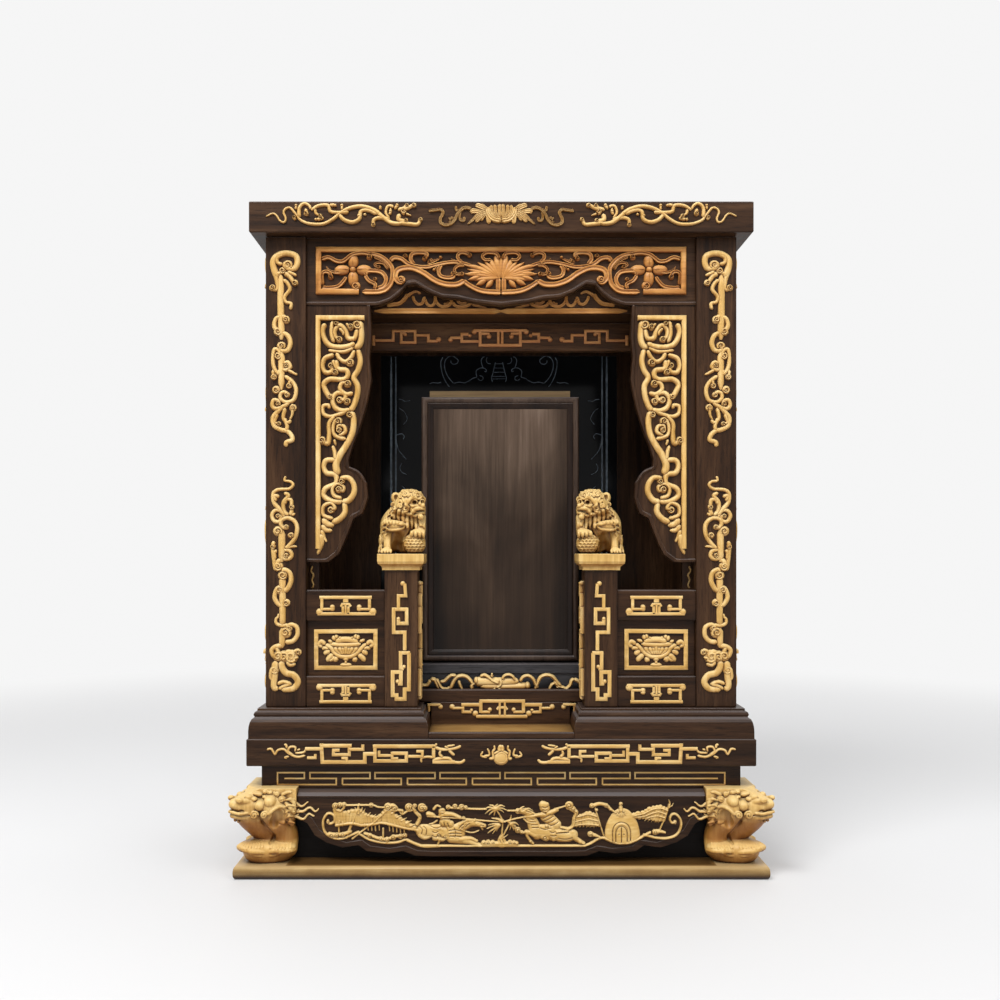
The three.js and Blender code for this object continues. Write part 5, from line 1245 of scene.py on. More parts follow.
TOP_SCROLLS = [
    (0.08, 0.08, [(0.03, 0.26), (0.07, 0.225), (0.11, 0.29), (0.145, 0.30), (0.17, 0.24), (0.20, 0.17),
                  (0.25, 0.14), (0.30, 0.17)]),
    (0.08, 0.11, [(0.29, 0.15), (0.34, 0.19), (0.38, 0.28), (0.41, 0.42), (0.412, 0.60), (0.395, 0.75),
                  (0.35, 0.85), (0.25, 0.86)]),
    (0.05, 0.05, [(0.31, 0.21), (0.36, 0.3), (0.395, 0.44)]),
    (0.06, 0.05, [(0.39, 0.45), (0.365, 0.34), (0.33, 0.33), (0.318, 0.37), (0.337, 0.41)]),
    (0.09, 0.08,
     [(0.33, 0.80), (0.365, 0.75), (0.378, 0.62), (0.355, 0.50), (0.31, 0.47), (0.272, 0.48), (0.27, 0.56)]),
    (0.08, 0.07, [(0.265, 0.55), (0.285, 0.65), (0.32, 0.72), (0.315, 0.82)]),
    (0.06, 0.05, [(0.29, 0.68), (0.315, 0.66), (0.318, 0.61)]),
    (0.07, 0.08, [(0.038, 0.74), (0.034, 0.55), (0.05, 0.49), (0.075, 0.51), (0.082, 0.60)]),
    (0.09, 0.07, [(0.035, 0.78), (0.07, 0.79), (0.12, 0.76), (0.15, 0.66), (0.165, 0.58)]),
    (0.02, 0.09, [(0.056, 0.38), (0.07, 0.45), (0.10, 0.50), (0.14, 0.49)]),
    (0.09, 0.07, [(0.40, 0.30), (0.42, 0.23), (0.46, 0.25), (0.495, 0.34), (0.54, 0.39), (0.60, 0.40),
                  (0.66, 0.35), (0.73, 0.31), (0.80, 0.34), (0.86, 0.42)]),
    (0.08, 0.09, [(0.53, 0.36), (0.51, 0.26), (0.52, 0.16), (0.56, 0.13), (0.595, 0.16), (0.59, 0.23)]),
    (0.02, 0.09, [(0.675, 0.21), (0.65, 0.27), (0.60, 0.34)]), (0.05, 0.05, [(0.615, 0.24), (0.63, 0.32)]),
    (0.05, 0.05, [(0.64, 0.46), (0.655, 0.4)]),
    (0.11, 0.11, [(0.475, 0.60), (0.455, 0.68), (0.43, 0.62), (0.432, 0.50), (0.46, 0.43), (0.52, 0.42),
                  (0.58, 0.51), (0.64, 0.65), (0.70, 0.72), (0.76, 0.72), (0.80, 0.65)]),
    (0.09, 0.11, [(0.79, 0.65), (0.83, 0.75), (0.88, 0.83), (0.93, 0.86), (1.0, 0.87)]),
    (0.08, 0.08, [(0.675, 0.36), (0.66, 0.46), (0.668, 0.56), (0.70, 0.60), (0.735, 0.59), (0.742, 0.53)]),
    (0.06, 0.06, [(0.80, 0.37), (0.765, 0.38), (0.745, 0.45), (0.755, 0.53), (0.785, 0.535)]),
    (0.07, 0.07, [(0.79, 0.34), (0.765, 0.25), (0.765, 0.17), (0.79, 0.135), (0.825, 0.17)]),
    (0.02, 0.06, [(0.724, 0.24), (0.755, 0.29), (0.80, 0.33)]),
    (0.07, 0.06, [(0.985, 0.26), (0.97, 0.16), (0.92, 0.14), (0.895, 0.20), (0.91, 0.27), (0.945, 0.27)]),
    (0.1, 0.1, [(0.98, 0.6), (0.98, 0.86)]),
]
TOP_KNOBS = [(0.288, 0.215, 0.06), (0.337, 0.40, 0.045), (0.08, 0.58, 0.055), (0.215, 0.745, 0.085),
             (0.585, 0.24, 0.05), (0.458, 0.63, 0.08), (0.738, 0.52, 0.05), (0.785, 0.525, 0.045),
             (0.825, 0.18, 0.045), (0.318, 0.62, 0.04), (0.48, 0.2, 0.05), (0.67, 0.22, 0.035),
             (0.61, 0.3, 0.04), (0.635, 0.45, 0.035)]
TOP_LEAVES = [  # start u, v, length, width, direction in degrees
    (0.985, 0.60, 0.62, 0.13, 196), (0.985, 0.60, 0.66, 0.12, 187), (0.985, 0.60, 0.52, 0.12, 176),
    (0.985, 0.60, 0.6, 0.13, 205), (0.985, 0.60, 0.5, 0.13, 216), (0.985, 0.60, 0.42, 0.13, 229),
    (0.93, 0.5, 0.42, 0.1, 200), (0.9, 0.45, 0.34, 0.1, 196), (0.9, 0.52, 0.32, 0.1, 180),
    (0.89, 0.57, 0.26, 0.1, 165), (0.92, 0.62, 0.24, 0.11, 150), (0.95, 0.64, 0.2, 0.11, 130),
    (0.985, 0.62, 0.44, 0.16, 245), (0.99, 0.60, 0.46, 0.16, 258), (1.0, 0.60, 0.46, 0.18, 270),
]


TOP_FLOWER = (0.2, 0.45)
CARVING_GAP = 0.25 * MM


def build_top_carving():
    y = face_y("left_carving")
    board_y = shown("top_carving")[1].y + CARVING_GAP
    relief = front_field(TOP_CARVING_PX, board_y)
    height = board_y - y
    lay(relief, TOP_SCROLLS, height, TOP_KNOBS, CUPPED, 6, 0.9)
    for u, v, length, width, turn in TOP_LEAVES:
        relief.leaf(u, v, length, width, turn, height * 1.05)
    u, v = TOP_FLOWER
    for turn in (0, 90, 180, 270):
        angle = math.radians(turn)
        du = math.cos(angle) * 0.2 * relief.unit / relief.across.length
        dv = math.sin(angle) * 0.16
        relief.dome(u + du, v + dv, 0.15 * relief.unit, 0.1 * relief.unit, turn, height)
        relief.stroke((0.03, 0.02), [(u + du * 0.4, v + dv * 0.4), (u + du * 1.5, v + dv * 1.5)],
                      height * 1.12)
    relief.dome(u, v, 0.06 * relief.unit, 0.06 * relief.unit, 0, height * 1.25)
    strip = 0.1
    relief.bar(strip, [(1.0, 0.078), (0.016, 0.078), (0.016, 0.855), (0.232, 0.855)], height * 0.96)
    left = relief.pair("top_carving_left", "top_carving_right", SHADED_GOLD, "carved_wood")[0]
    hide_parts("top_carving")


SIDE_SCROLLS = [
    (0.022, 0.024,
     [(0.19, 0.04), (0.14, 0.07), (0.18, 0.105), (0.28, 0.13), (0.45, 0.138), (0.64, 0.133), (0.74, 0.12)]),
    (0.024, 0.026, [(0.84, 0.03), (0.86, 0.09), (0.83, 0.125), (0.74, 0.145)]),
    (0.018, 0.018, [(0.33, 0.03), (0.31, 0.08), (0.36, 0.12)]),
    (0.018, 0.022, [(0.44, 0.105), (0.38, 0.095), (0.37, 0.068), (0.47, 0.048), (0.57, 0.07), (0.62, 0.10),
                    (0.74, 0.10), (0.79, 0.062)]),
    (0.014, 0.014, [(0.45, 0.06), (0.52, 0.075), (0.54, 0.09)]),
    (0.015, 0.018, [(0.25, 0.15), (0.40, 0.155), (0.56, 0.155), (0.72, 0.14)]),
    (0.022, 0.024, [(0.79, 0.145), (0.84, 0.19), (0.80, 0.23), (0.72, 0.262), (0.79, 0.295), (0.78, 0.335),
                    (0.72, 0.375), (0.65, 0.40)]),
    (0.018, 0.018, [(0.40, 0.16), (0.46, 0.185), (0.57, 0.197), (0.67, 0.18), (0.74, 0.15)]),
    (0.02, 0.02, [(0.36, 0.168), (0.19, 0.183), (0.14, 0.213), (0.19, 0.24), (0.31, 0.238), (0.32, 0.215)]),
    (0.018, 0.014, [(0.34, 0.19), (0.36, 0.21), (0.42, 0.235)]),
    (0.022, 0.022, [(0.40, 0.19), (0.42, 0.225), (0.58, 0.232), (0.61, 0.255), (0.52, 0.27), (0.28, 0.268),
                    (0.16, 0.29), (0.21, 0.32), (0.29, 0.35)]),
    (0.018, 0.02, [(0.60, 0.285), (0.50, 0.285), (0.47, 0.31), (0.58, 0.33), (0.71, 0.325)]),
    (0.02, 0.022, [(0.46, 0.355), (0.55, 0.352), (0.56, 0.33), (0.42, 0.325), (0.33, 0.35), (0.38, 0.385),
                   (0.52, 0.398), (0.66, 0.393)]),
    (0.016, 0.02,
     [(0.27, 0.39), (0.25, 0.375), (0.15, 0.38), (0.16, 0.41), (0.30, 0.422), (0.50, 0.408), (0.65, 0.39)]),
    (0.024, 0.03,
     [(0.68, 0.40), (0.72, 0.44), (0.69, 0.49), (0.58, 0.54), (0.46, 0.58), (0.39, 0.62), (0.43, 0.66)]),
    (0.02, 0.022, [(0.38, 0.415), (0.27, 0.45), (0.27, 0.49), (0.24, 0.53), (0.14, 0.52)]),
    (0.018, 0.018, [(0.40, 0.43), (0.34, 0.465), (0.38, 0.50), (0.58, 0.515)]),
    (0.014, 0.018, [(0.46, 0.475), (0.42, 0.475), (0.44, 0.458), (0.54, 0.462), (0.56, 0.485), (0.44, 0.50)]),
    (0.014, 0.02, [(0.33, 0.54), (0.37, 0.57), (0.39, 0.60)]), (0.014, 0.008, [(0.36, 0.515), (0.39, 0.54)]),
    (0.022, 0.022, [(0.40, 0.60), (0.22, 0.60), (0.16, 0.625), (0.22, 0.652), (0.38, 0.66), (0.39, 0.695),
                    (0.20, 0.715), (0.16, 0.745), (0.32, 0.768), (0.52, 0.77)]),
    (0.02, 0.026, [(0.46, 0.675), (0.62, 0.672), (0.72, 0.70), (0.72, 0.735), (0.62, 0.765), (0.50, 0.77)]),
    (0.014, 0.018, [(0.44, 0.722), (0.52, 0.725), (0.53, 0.708), (0.42, 0.697), (0.33, 0.715), (0.36, 0.745),
                    (0.50, 0.757)]),
    (0.022, 0.026, [(0.54, 0.77), (0.56, 0.81), (0.46, 0.84), (0.32, 0.855)]),
    (0.016, 0.018, [(0.30, 0.805), (0.37, 0.795), (0.30, 0.775), (0.16, 0.79), (0.16, 0.825), (0.34, 0.84)]),
    (0.034, 0.02, [(0.14, 0.84), (0.24, 0.862), (0.36, 0.865)]),
    (0.03, 0.014, [(0.13, 0.865), (0.2, 0.885), (0.32, 0.888)]),
    (0.028, 0.01, [(0.12, 0.885), (0.16, 0.915), (0.22, 0.935)]),
    (0.032, 0.012, [(0.12, 0.9), (0.12, 0.94), (0.05, 0.985)]), (0.014, 0.01, [(0.28, 0.05), (0.35, 0.065)]),
    (0.014, 0.01, [(0.58, 0.04), (0.66, 0.06)]),
]
SIDE_KNOBS = [(0.66, 0.055, 0.014), (0.79, 0.045, 0.02), (0.45, 0.106, 0.013), (0.3, 0.212, 0.012),
              (0.605, 0.287, 0.015), (0.46, 0.353, 0.014), (0.13, 0.52, 0.016), (0.45, 0.476, 0.013),
              (0.43, 0.44, 0.016), (0.645, 0.412, 0.014), (0.44, 0.72, 0.014), (0.3, 0.803, 0.014),
              (0.65, 0.2, 0.016), (0.4, 0.04, 0.01), (0.37, 0.24, 0.014), (0.28, 0.34, 0.012),
              (0.6, 0.36, 0.014), (0.5, 0.685, 0.012)]


def build_side_carving():
    y = face_y("left_carving")
    board_y = shown("left_carving")[1].y + CARVING_GAP
    relief = front_field(SIDE_CARVING_PX, board_y)
    height = board_y - y
    lay(relief, SIDE_SCROLLS, height, SIDE_KNOBS, ROUND, 6, 1.02)
    strip = 0.02
    relief.bar(strip, [(0.92, 0.018), (0.065, 0.018), (0.065, 0.962)], height * 0.96)
    left, right = relief.pair("side_carving_left", "side_carving_right", GOLD_UP, "carved_wood")
    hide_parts("left_carving")
    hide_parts("right_carving")


FLAMES_PX = (294, 800, 322, 824)
FLAMES = [
    (0.12, 0.06, [(0.0, 0.12), (0.08, 0.12), (0.15, 0.18), (0.22, 0.24), (0.3, 0.25), (0.38, 0.2),
                  (0.45, 0.12), (0.52, 0.07)]),
    (0.15, 0.06, [(0.0, 0.5), (0.2, 0.47), (0.32, 0.47), (0.42, 0.4), (0.52, 0.32), (0.62, 0.33), (0.7, 0.42),
                  (0.77, 0.47), (0.84, 0.42), (0.89, 0.34)]),
    (0.15, 0.06, [(0.0, 0.68), (0.1, 0.68), (0.2, 0.74), (0.3, 0.78), (0.38, 0.76), (0.45, 0.66),
                  (0.54, 0.57), (0.63, 0.61), (0.7, 0.66), (0.74, 0.65)]),
    (0.1, 0.07, [(0.0, 0.3), (0.06, 0.26), (0.12, 0.25), (0.18, 0.22)]),
    (0.1, 0.07, [(0.0, 0.42), (0.08, 0.44), (0.14, 0.43), (0.18, 0.36)]),
    (0.1, 0.06, [(0.0, 0.64), (0.1, 0.63), (0.18, 0.56)]),
]
FRIEZE_OUTER_PX = (320, 798, 440, 856)
FRIEZE_MIDDLE_PX = (385, 795, 585, 860)
FRIEZE_CENTRE_PX = (550, 795, 690, 860)
FRIEZE_OUTER = [
    (0.039, 0.039, [(0.0667, 0.386), (0.07, 0.428), (0.0933, 0.441), (0.12, 0.4), (0.12, 0.317),
                    (0.0933, 0.269), (0.06, 0.276), (0.03, 0.372), (0.0267, 0.483), (0.04, 0.579),
                    (0.0733, 0.648), (0.133, 0.697), (0.2, 0.69), (0.267, 0.634), (0.32, 0.586)]),
    (0.039, 0.041,
     [(0.333, 0.621), (0.4, 0.703), (0.48, 0.752), (0.567, 0.772), (0.653, 0.759), (0.707, 0.717)]),
    (0.039, 0.041, [(0.72, 0.717), (0.787, 0.786), (0.867, 0.834), (1, 0.828)]),
    (0.03, 0.025, [(0.22, 0.124), (0.32, 0.121), (0.44, 0.124), (0.48, 0.154), (0.533, 0.163)]),
    (0.05, 0.05,
     [(0.138, 0.47), (0.208, 0.45), (0.275, 0.436), (0.342, 0.468), (0.392, 0.464), (0.455, 0.447)]),
    (0.05, 0.036, [(0.47, 0.44), (0.517, 0.426), (0.58, 0.45), (0.65, 0.485), (0.725, 0.523), (0.8, 0.547)]),
    (0.03, 0.03, [(0.583, 0.16), (0.47, 0.38), (0.345, 0.58), (0.27, 0.7)]),
    (0.03, 0.03, [(0.325, 0.11), (0.285, 0.36), (0.24, 0.6), (0.225, 0.69)]),
    (0.03, 0.008, [(0.6, 0.262), (0.636, 0.212)]), (0.03, 0.008, [(0.64, 0.335), (0.682, 0.288)]),
    (0.03, 0.008, [(0.68, 0.385), (0.722, 0.343)]), (0.03, 0.008, [(0.72, 0.43), (0.76, 0.392)]),
    (0.03, 0.008, [(0.756, 0.474), (0.8, 0.446)]), (0.03, 0.008, [(0.36, 0.252), (0.376, 0.186)]),
    (0.03, 0.008, [(0.4, 0.304), (0.422, 0.25)]), (0.03, 0.008, [(0.44, 0.33), (0.466, 0.282)]),
    (0.03, 0.008, [(0.14, 0.205), (0.12, 0.15)]), (0.03, 0.008, [(0.245, 0.245), (0.26, 0.19)]),
    (0.025, 0.019, [(0.373, 0.441), (0.373, 0.538)]), (0.025, 0.019, [(0.4, 0.462), (0.403, 0.552)]),
    (0.025, 0.019, [(0.431, 0.476), (0.433, 0.559)]), (0.025, 0.019, [(0.461, 0.483), (0.464, 0.563)]),
    (0.025, 0.019, [(0.493, 0.476), (0.496, 0.552)]), (0.025, 0.019, [(0.579, 0.469), (0.581, 0.566)]),
    (0.025, 0.019, [(0.608, 0.483), (0.611, 0.579)]), (0.025, 0.019, [(0.639, 0.49), (0.641, 0.586)]),
    (0.025, 0.019, [(0.669, 0.497), (0.672, 0.593)]), (0.025, 0.019, [(0.7, 0.508), (0.703, 0.593)]),
    (0.025, 0.019, [(0.167, 0.386), (0.163, 0.455)]), (0.025, 0.019, [(0.193, 0.414), (0.191, 0.483)]),
    (0.028, 0.03, [(0.157, 0.483), (0.16, 0.607)]), (0.028, 0.03, [(0.263, 0.428), (0.23, 0.607)]),
    (0.03, 0.03, [(0.527, 0.524), (0.527, 0.69)]), (0.047, 0.017, [(0.323, 0.262), (0.323, 0.11)]),
    (0.036, 0.017, [(0.303, 0.234), (0.293, 0.166)]), (0.036, 0.017, [(0.343, 0.234), (0.353, 0.166)]),
    (0.055, 0.033, [(0.567, 0.152), (0.607, 0.124), (0.64, 0.179), (0.627, 0.221), (0.6, 0.207)]),
    (0.041, 0.03, [(0.64, 0.207), (0.687, 0.221), (0.687, 0.276), (0.733, 0.221), (0.773, 0.207)]),
    (0.063, 0.055, [(0.08, 0.621), (0.133, 0.634), (0.2, 0.621), (0.253, 0.579)]),
    (0.047, 0.047,
     [(0.373, 0.607), (0.427, 0.648), (0.493, 0.697), (0.56, 0.71), (0.613, 0.669), (0.667, 0.655)]),
    (0.041, 0.028, [(0.2, 0.166), (0.173, 0.221), (0.147, 0.207)]),
]
FRIEZE_OUTER_KNOBS = [
    (0.127, 0.138, 0.047), (0.167, 0.121, 0.041), (0.2, 0.117, 0.039), (0.567, 0.152, 0.058),
    (0.62, 0.179, 0.044), (0.1, 0.648, 0.041), (0.14, 0.641, 0.041), (0.193, 0.634, 0.041),
    (0.413, 0.648, 0.039), (0.507, 0.706, 0.039), (0.56, 0.717, 0.041), (0.613, 0.676, 0.041),
    (0.673, 0.662, 0.041), (0.707, 0.648, 0.036), (0.427, 0.124, 0.036), (0.0667, 0.414, 0.028),
]
FRIEZE_MIDDLE = [  # widths and points in eighths of a pixel of the field
    # Cloud hook, hanging scarf
    (16, 14, [(112, 118), (128, 145), (150, 150), (178, 128), (205, 128)]),
    (26, 32, [(228, 105), (248, 140), (278, 172), (272, 205), (258, 232)]),
    # Left horse: tail, rump, folded hind leg, belly, chest, neck, head, forelegs
    (14, 30, [(196, 262), (225, 268), (262, 285)]), (104, 100, [(300, 288), (335, 286)]),
    (46, 26, [(285, 320), (320, 340), (362, 330)]), (84, 90, [(330, 290), (420, 300), (500, 300)]),
    (116, 100, [(545, 300), (592, 300)]), (92, 56, [(580, 275), (640, 240), (700, 222)]),
    (54, 32, [(690, 222), (750, 232), (795, 246)]), (20, 12, [(768, 250), (782, 276)]),
    (16, 7, [(715, 205), (722, 188)]), (76, 60, [(530, 345), (600, 356), (650, 360)]),
    (34, 22, [(600, 352), (680, 345), (735, 368)]), (50, 30, [(640, 364), (700, 380), (762, 402)]),
    (26, 14, [(600, 235), (640, 205), (690, 200)]), (18, 8, [(622, 252), (660, 226), (704, 214)]),
    # Its saddle cloth, strap and stirrup
    (62, 54, [(385, 262), (435, 262)]), (56, 52, [(402, 300), (402, 342)]),
    (44, 30, [(420, 342), (455, 354), (484, 345)]), (38, 34, [(470, 322), (488, 336)]),
    (30, 24, [(456, 275), (462, 322)]), (20, 18, [(502, 255), (514, 300), (506, 345)]),
    (22, 16, [(442, 345), (422, 400)]),
    # Its rider: skirt, body, head scarf, lance and arm
    (66, 56, [(468, 222), (524, 232)]), (72, 52, [(464, 165), (478, 190), (500, 215)]),
    (24, 12, [(392, 112), (415, 85), (444, 95)]), (38, 24, [(345, 150), (380, 158), (398, 170)]),
    (15, 12, [(340, 170), (480, 178), (620, 188), (800, 206), (960, 214)]),
    (16, 10, [(415, 205), (385, 225), (355, 232)]), (42, 26, [(480, 152), (540, 156), (600, 180)]),
    (11, 10, [(600, 262), (640, 288), (700, 300), (750, 284)]),
    # Clouds and bars above
    (18, 16, [(500, 100), (560, 104), (655, 108)]), (15, 15, [(655, 109), (730, 112), (810, 112)]),
    (14, 13, [(983, 125), (1070, 124)]),
    # Palm: crown, two trunks, side leaves
    (24, 5, [(878, 112), (840, 118), (802, 150)]), (24, 5, [(878, 108), (835, 98), (808, 104)]),
    (22, 5, [(880, 104), (860, 84), (835, 80)]), (22, 5, [(884, 102), (890, 84), (902, 74)]),
    (24, 5, [(886, 104), (925, 84), (958, 92)]), (24, 5, [(888, 108), (930, 104), (975, 122)]),
    (20, 5, [(888, 114), (925, 120), (950, 140)]), (22, 5, [(880, 118), (850, 140), (832, 160)]),
    (22, 5, [(884, 120), (876, 145), (872, 166)]), (20, 5, [(890, 118), (905, 140), (915, 156)]),
    (13, 16, [(900, 130), (925, 175), (940, 210), (938, 270), (936, 330)]),
    (12, 14, [(1000, 215), (985, 250), (950, 315)]), (32, 6, [(938, 210), (900, 192), (852, 184)]),
    (24, 6, [(990, 215), (1005, 190), (1010, 162)]), (26, 5, [(908, 232), (865, 230), (826, 240)]),
    (26, 5, [(908, 235), (858, 250), (812, 270)]), (26, 5, [(910, 238), (862, 275), (822, 304)]),
    (26, 5, [(914, 240), (884, 275), (860, 310)]), (24, 5, [(918, 240), (900, 268), (890, 292)]),
    (26, 6, [(1004, 222), (1042, 224), (1068, 242)]), (26, 6, [(1006, 228), (1040, 248), (1056, 276)]),
    (24, 6, [(1004, 232), (1022, 256), (1030, 284)]), (22, 6, [(1002, 234), (1004, 255), (998, 278)]),
    # Rocks with a stump
    (36, 34, [(785, 386), (860, 387), (935, 388), (1010, 387), (1052, 386)]),
    (76, 26, [(935, 384), (932, 352), (938, 322)]), (10, 5, [(952, 340), (982, 318)]),
    # Cloud tail, then the right horse: head, crest, neck, raised foreleg, body, hind leg
    (28, 18, [(1040, 262), (1065, 285), (1105, 300), (1124, 292)]),
    (36, 56, [(1062, 132), (1095, 128), (1132, 136)]), (52, 10, [(1122, 130), (1165, 140), (1200, 150)]),
    (14, 6, [(1080, 112), (1098, 97), (1112, 92)]), (14, 5, [(1125, 112), (1152, 108), (1184, 128)]),
    (72, 98, [(1150, 165), (1180, 215), (1198, 270)]), (92, 72, [(1196, 280), (1216, 320)]),
    (46, 30, [(1200, 320), (1160, 302), (1130, 292)]), (30, 20, [(1130, 294), (1142, 335), (1164, 368)]),
    (26, 20, [(1164, 370), (1184, 388)]), (112, 106, [(1255, 292), (1320, 305), (1380, 312)]),
    (94, 84, [(1400, 325), (1460, 328), (1500, 318)]), (52, 34, [(1500, 300), (1522, 345), (1560, 370)]),
    (34, 26, [(1560, 372), (1590, 386)]), (16, 10, [(1110, 190), (1136, 215), (1162, 222)]),
    # Its saddle cloth and its scarf
    (62, 54, [(1268, 266), (1332, 266)]), (52, 46, [(1264, 330), (1290, 346)]),
    (56, 40, [(1330, 272), (1346, 320), (1350, 350)]), (26, 22, [(1372, 292), (1420, 288), (1462, 284)]),
    (36, 22, [(1490, 110), (1530, 140), (1512, 190), (1505, 240), (1470, 268), (1408, 258)]),
    # Its rider: body, arms, staff and lance
    (94, 74, [(1288, 168), (1332, 202), (1372, 236)]), (42, 34, [(1300, 150), (1340, 135), (1374, 118)]),
    (14, 12, [(1370, 110), (1450, 86)]), (14, 12, [(952, 214), (1040, 190), (1130, 172), (1250, 154)]),
    (36, 28, [(1272, 156), (1220, 162), (1172, 172)]),
    # Heads
    (54, 54, [(454, 132), (458, 133)]), (76, 74, [(1276, 100), (1281, 106)]),
    (40, 20, [(1282, 128), (1284, 150)]), (60, 40, [(1262, 78), (1292, 78)]),
    # Ground line
    (24, 22, [(180, 362), (230, 385), (285, 404)]),
    (21, 21, [(283, 405), (560, 406), (880, 406), (1200, 406), (1600, 405)]),
]
FRIEZE_MIDDLE_KNOBS = [
    (190, 98, 30), (238, 88, 18), (295, 102, 34), (320, 108, 20), (505, 98, 19), (560, 92, 20), (612, 98, 24),
    (645, 100, 16), (430, 320, 18), (480, 330, 16), (1062, 128, 21), (1280, 342, 24), (1292, 250, 20),
    (628, 186, 15), (790, 378, 17), (825, 375, 18), (862, 377, 17), (1000, 375, 17), (1030, 378, 16),
    (1054, 384, 13), (1062, 280, 24), (1092, 298, 16), (1035, 250, 14), (1473, 85, 33), (1505, 112, 22),
    (1379, 290, 7), (1395, 288, 7), (1411, 287, 7), (1427, 286, 7), (1443, 285, 7), (730, 226, 6),
]
FRIEZE_MIDDLE_CUTS = [  # manes, harness, armour and faces
    (6, [(595, 262), (612, 240), (628, 232)]), (6, [(618, 262), (640, 238), (652, 230)]),
    (6, [(645, 252), (664, 232), (676, 226)]), (6, [(512, 282), (560, 276), (606, 284)]),
    (6, [(514, 306), (562, 303), (612, 308)]), (6, [(520, 328), (566, 327), (606, 332)]),
    (6, [(556, 262), (566, 300), (560, 336)]), (6, [(372, 250), (410, 262), (450, 252)]),
    (6, [(382, 290), (402, 300), (424, 290)]), (6, [(380, 322), (404, 334), (426, 322)]),
    (6, [(446, 176), (478, 170), (500, 176)]), (6, [(452, 192), (484, 188), (510, 194)]),
    (6, [(444, 222), (452, 244)]), (6, [(472, 216), (480, 248)]), (6, [(500, 222), (510, 250)]),
    (6, [(448, 126), (466, 126)]), (5, [(450, 142), (464, 144)]), (6, [(280, 252), (300, 275), (292, 310)]),
    (6, [(312, 250), (334, 276), (330, 312)]), (5, [(768, 238), (790, 244)]),
    (6, [(248, 130), (268, 158), (284, 178)]), (6, [(1160, 190), (1188, 196)]),
    (6, [(1164, 212), (1204, 214)]), (6, [(1172, 236), (1218, 236)]), (6, [(1178, 258), (1226, 258)]),
    (6, [(1262, 186), (1296, 168), (1324, 150)]), (6, [(1280, 204), (1316, 188), (1344, 170)]),
    (6, [(1302, 224), (1338, 208), (1364, 190)]), (6, [(1326, 246), (1360, 230), (1384, 214)]),
    (7, [(1258, 94), (1272, 99)]), (7, [(1284, 99), (1298, 94)]),
    (6, [(1264, 118), (1278, 123), (1292, 118)]), (5, [(1270, 132), (1272, 146)]),
    (5, [(1284, 132), (1284, 146)]), (6, [(1242, 262), (1280, 272), (1326, 262)]),
    (6, [(1320, 292), (1342, 298), (1362, 292)]), (6, [(1324, 320), (1346, 326), (1368, 320)]),
    (6, [(1372, 302), (1420, 299), (1464, 296)]), (6, [(1385, 342), (1440, 352), (1496, 340)]),
    (6, [(1098, 120), (1114, 112)]), (6, [(1130, 126), (1168, 138)]),
    (6, [(1510, 128), (1534, 148), (1524, 180)]), (6, [(1508, 196), (1502, 236), (1476, 258)]),
    (5, [(918, 356), (926, 376)]), (5, [(940, 352), (948, 376)]),
]
FRIEZE_CENTRE = [  # counted in eighths of a pixel too
    # Flag pole and its stripes, cloud band
    (13, 13, [(360, 104), (394, 215), (428, 322)]), (13, 8, [(372, 170), (302, 152), (253, 166), (204, 176)]),
    (13, 8, [(380, 206), (310, 190), (253, 200), (196, 212)]),
    (13, 8, [(388, 240), (318, 232), (253, 234), (192, 244)]),
    (30, 24, [(335, 88), (393, 70), (451, 84), (484, 114)]), (20, 12, [(484, 114), (506, 128), (524, 142)]),
    # Hut: finial, door frame, leaves under the finial
    (64, 44, [(566, 150), (566, 130)]), (36, 30, [(566, 118), (566, 98)]),
    (15, 15, [(512, 366), (512, 285), (532, 245), (569, 228), (607, 245), (627, 285), (627, 360)]),
    (16, 8, [(544, 140), (530, 160)]), (16, 8, [(558, 146), (552, 168)]), (16, 8, [(580, 146), (584, 168)]),
    (16, 8, [(594, 140), (608, 160)]),
    # Flag on the right: pole, flame, stripes
    (13, 12, [(952, 76), (918, 180), (878, 276)]), (20, 6, [(950, 96), (958, 66), (950, 40)]),
    (14, 5, [(950, 96), (976, 84), (984, 68)]),
    (13, 8, [(934, 122), (878, 104), (812, 116), (752, 146), (672, 164)]),
    (13, 8, [(922, 152), (868, 134), (812, 146), (756, 168), (700, 178)]),
    (13, 8, [(912, 180), (860, 166), (812, 172), (770, 184)]), (9, 4, [(872, 204), (866, 222)]),
    (9, 4, [(846, 202), (838, 220)]), (9, 4, [(820, 198), (810, 216)]), (9, 4, [(794, 196), (782, 212)]),
    (9, 4, [(768, 194), (754, 208)]), (9, 4, [(352, 250), (350, 264)]), (9, 4, [(324, 248), (320, 262)]),
    (9, 4, [(296, 246), (291, 260)]), (9, 4, [(268, 246), (262, 259)]), (9, 4, [(240, 248), (233, 260)]),
    # Leaves on the border
    (34, 16, [(330, 314), (362, 322), (398, 336)]), (44, 18, [(838, 296), (876, 290), (918, 300)]),
    # Border line and its curl
    (21, 21, [(240, 406), (290, 400), (335, 380), (385, 350), (430, 340)]),
    (21, 21, [(426, 340), (480, 368), (545, 386), (631, 382), (700, 356), (745, 328), (800, 300)]),
    (21, 19, [(752, 318), (800, 330), (845, 341), (928, 346), (1005, 322), (1043, 266), (1046, 205),
              (1010, 156), (974, 156), (958, 190), (972, 220), (1000, 222)]),
]
FRIEZE_CENTRE_KNOBS = [
    (566, 72, 15), (548, 132, 14), (585, 132, 14), (335, 86, 20), (322, 312, 22), (372, 118, 12),
    (998, 216, 15), (842, 294, 17), (448, 84, 18),
]
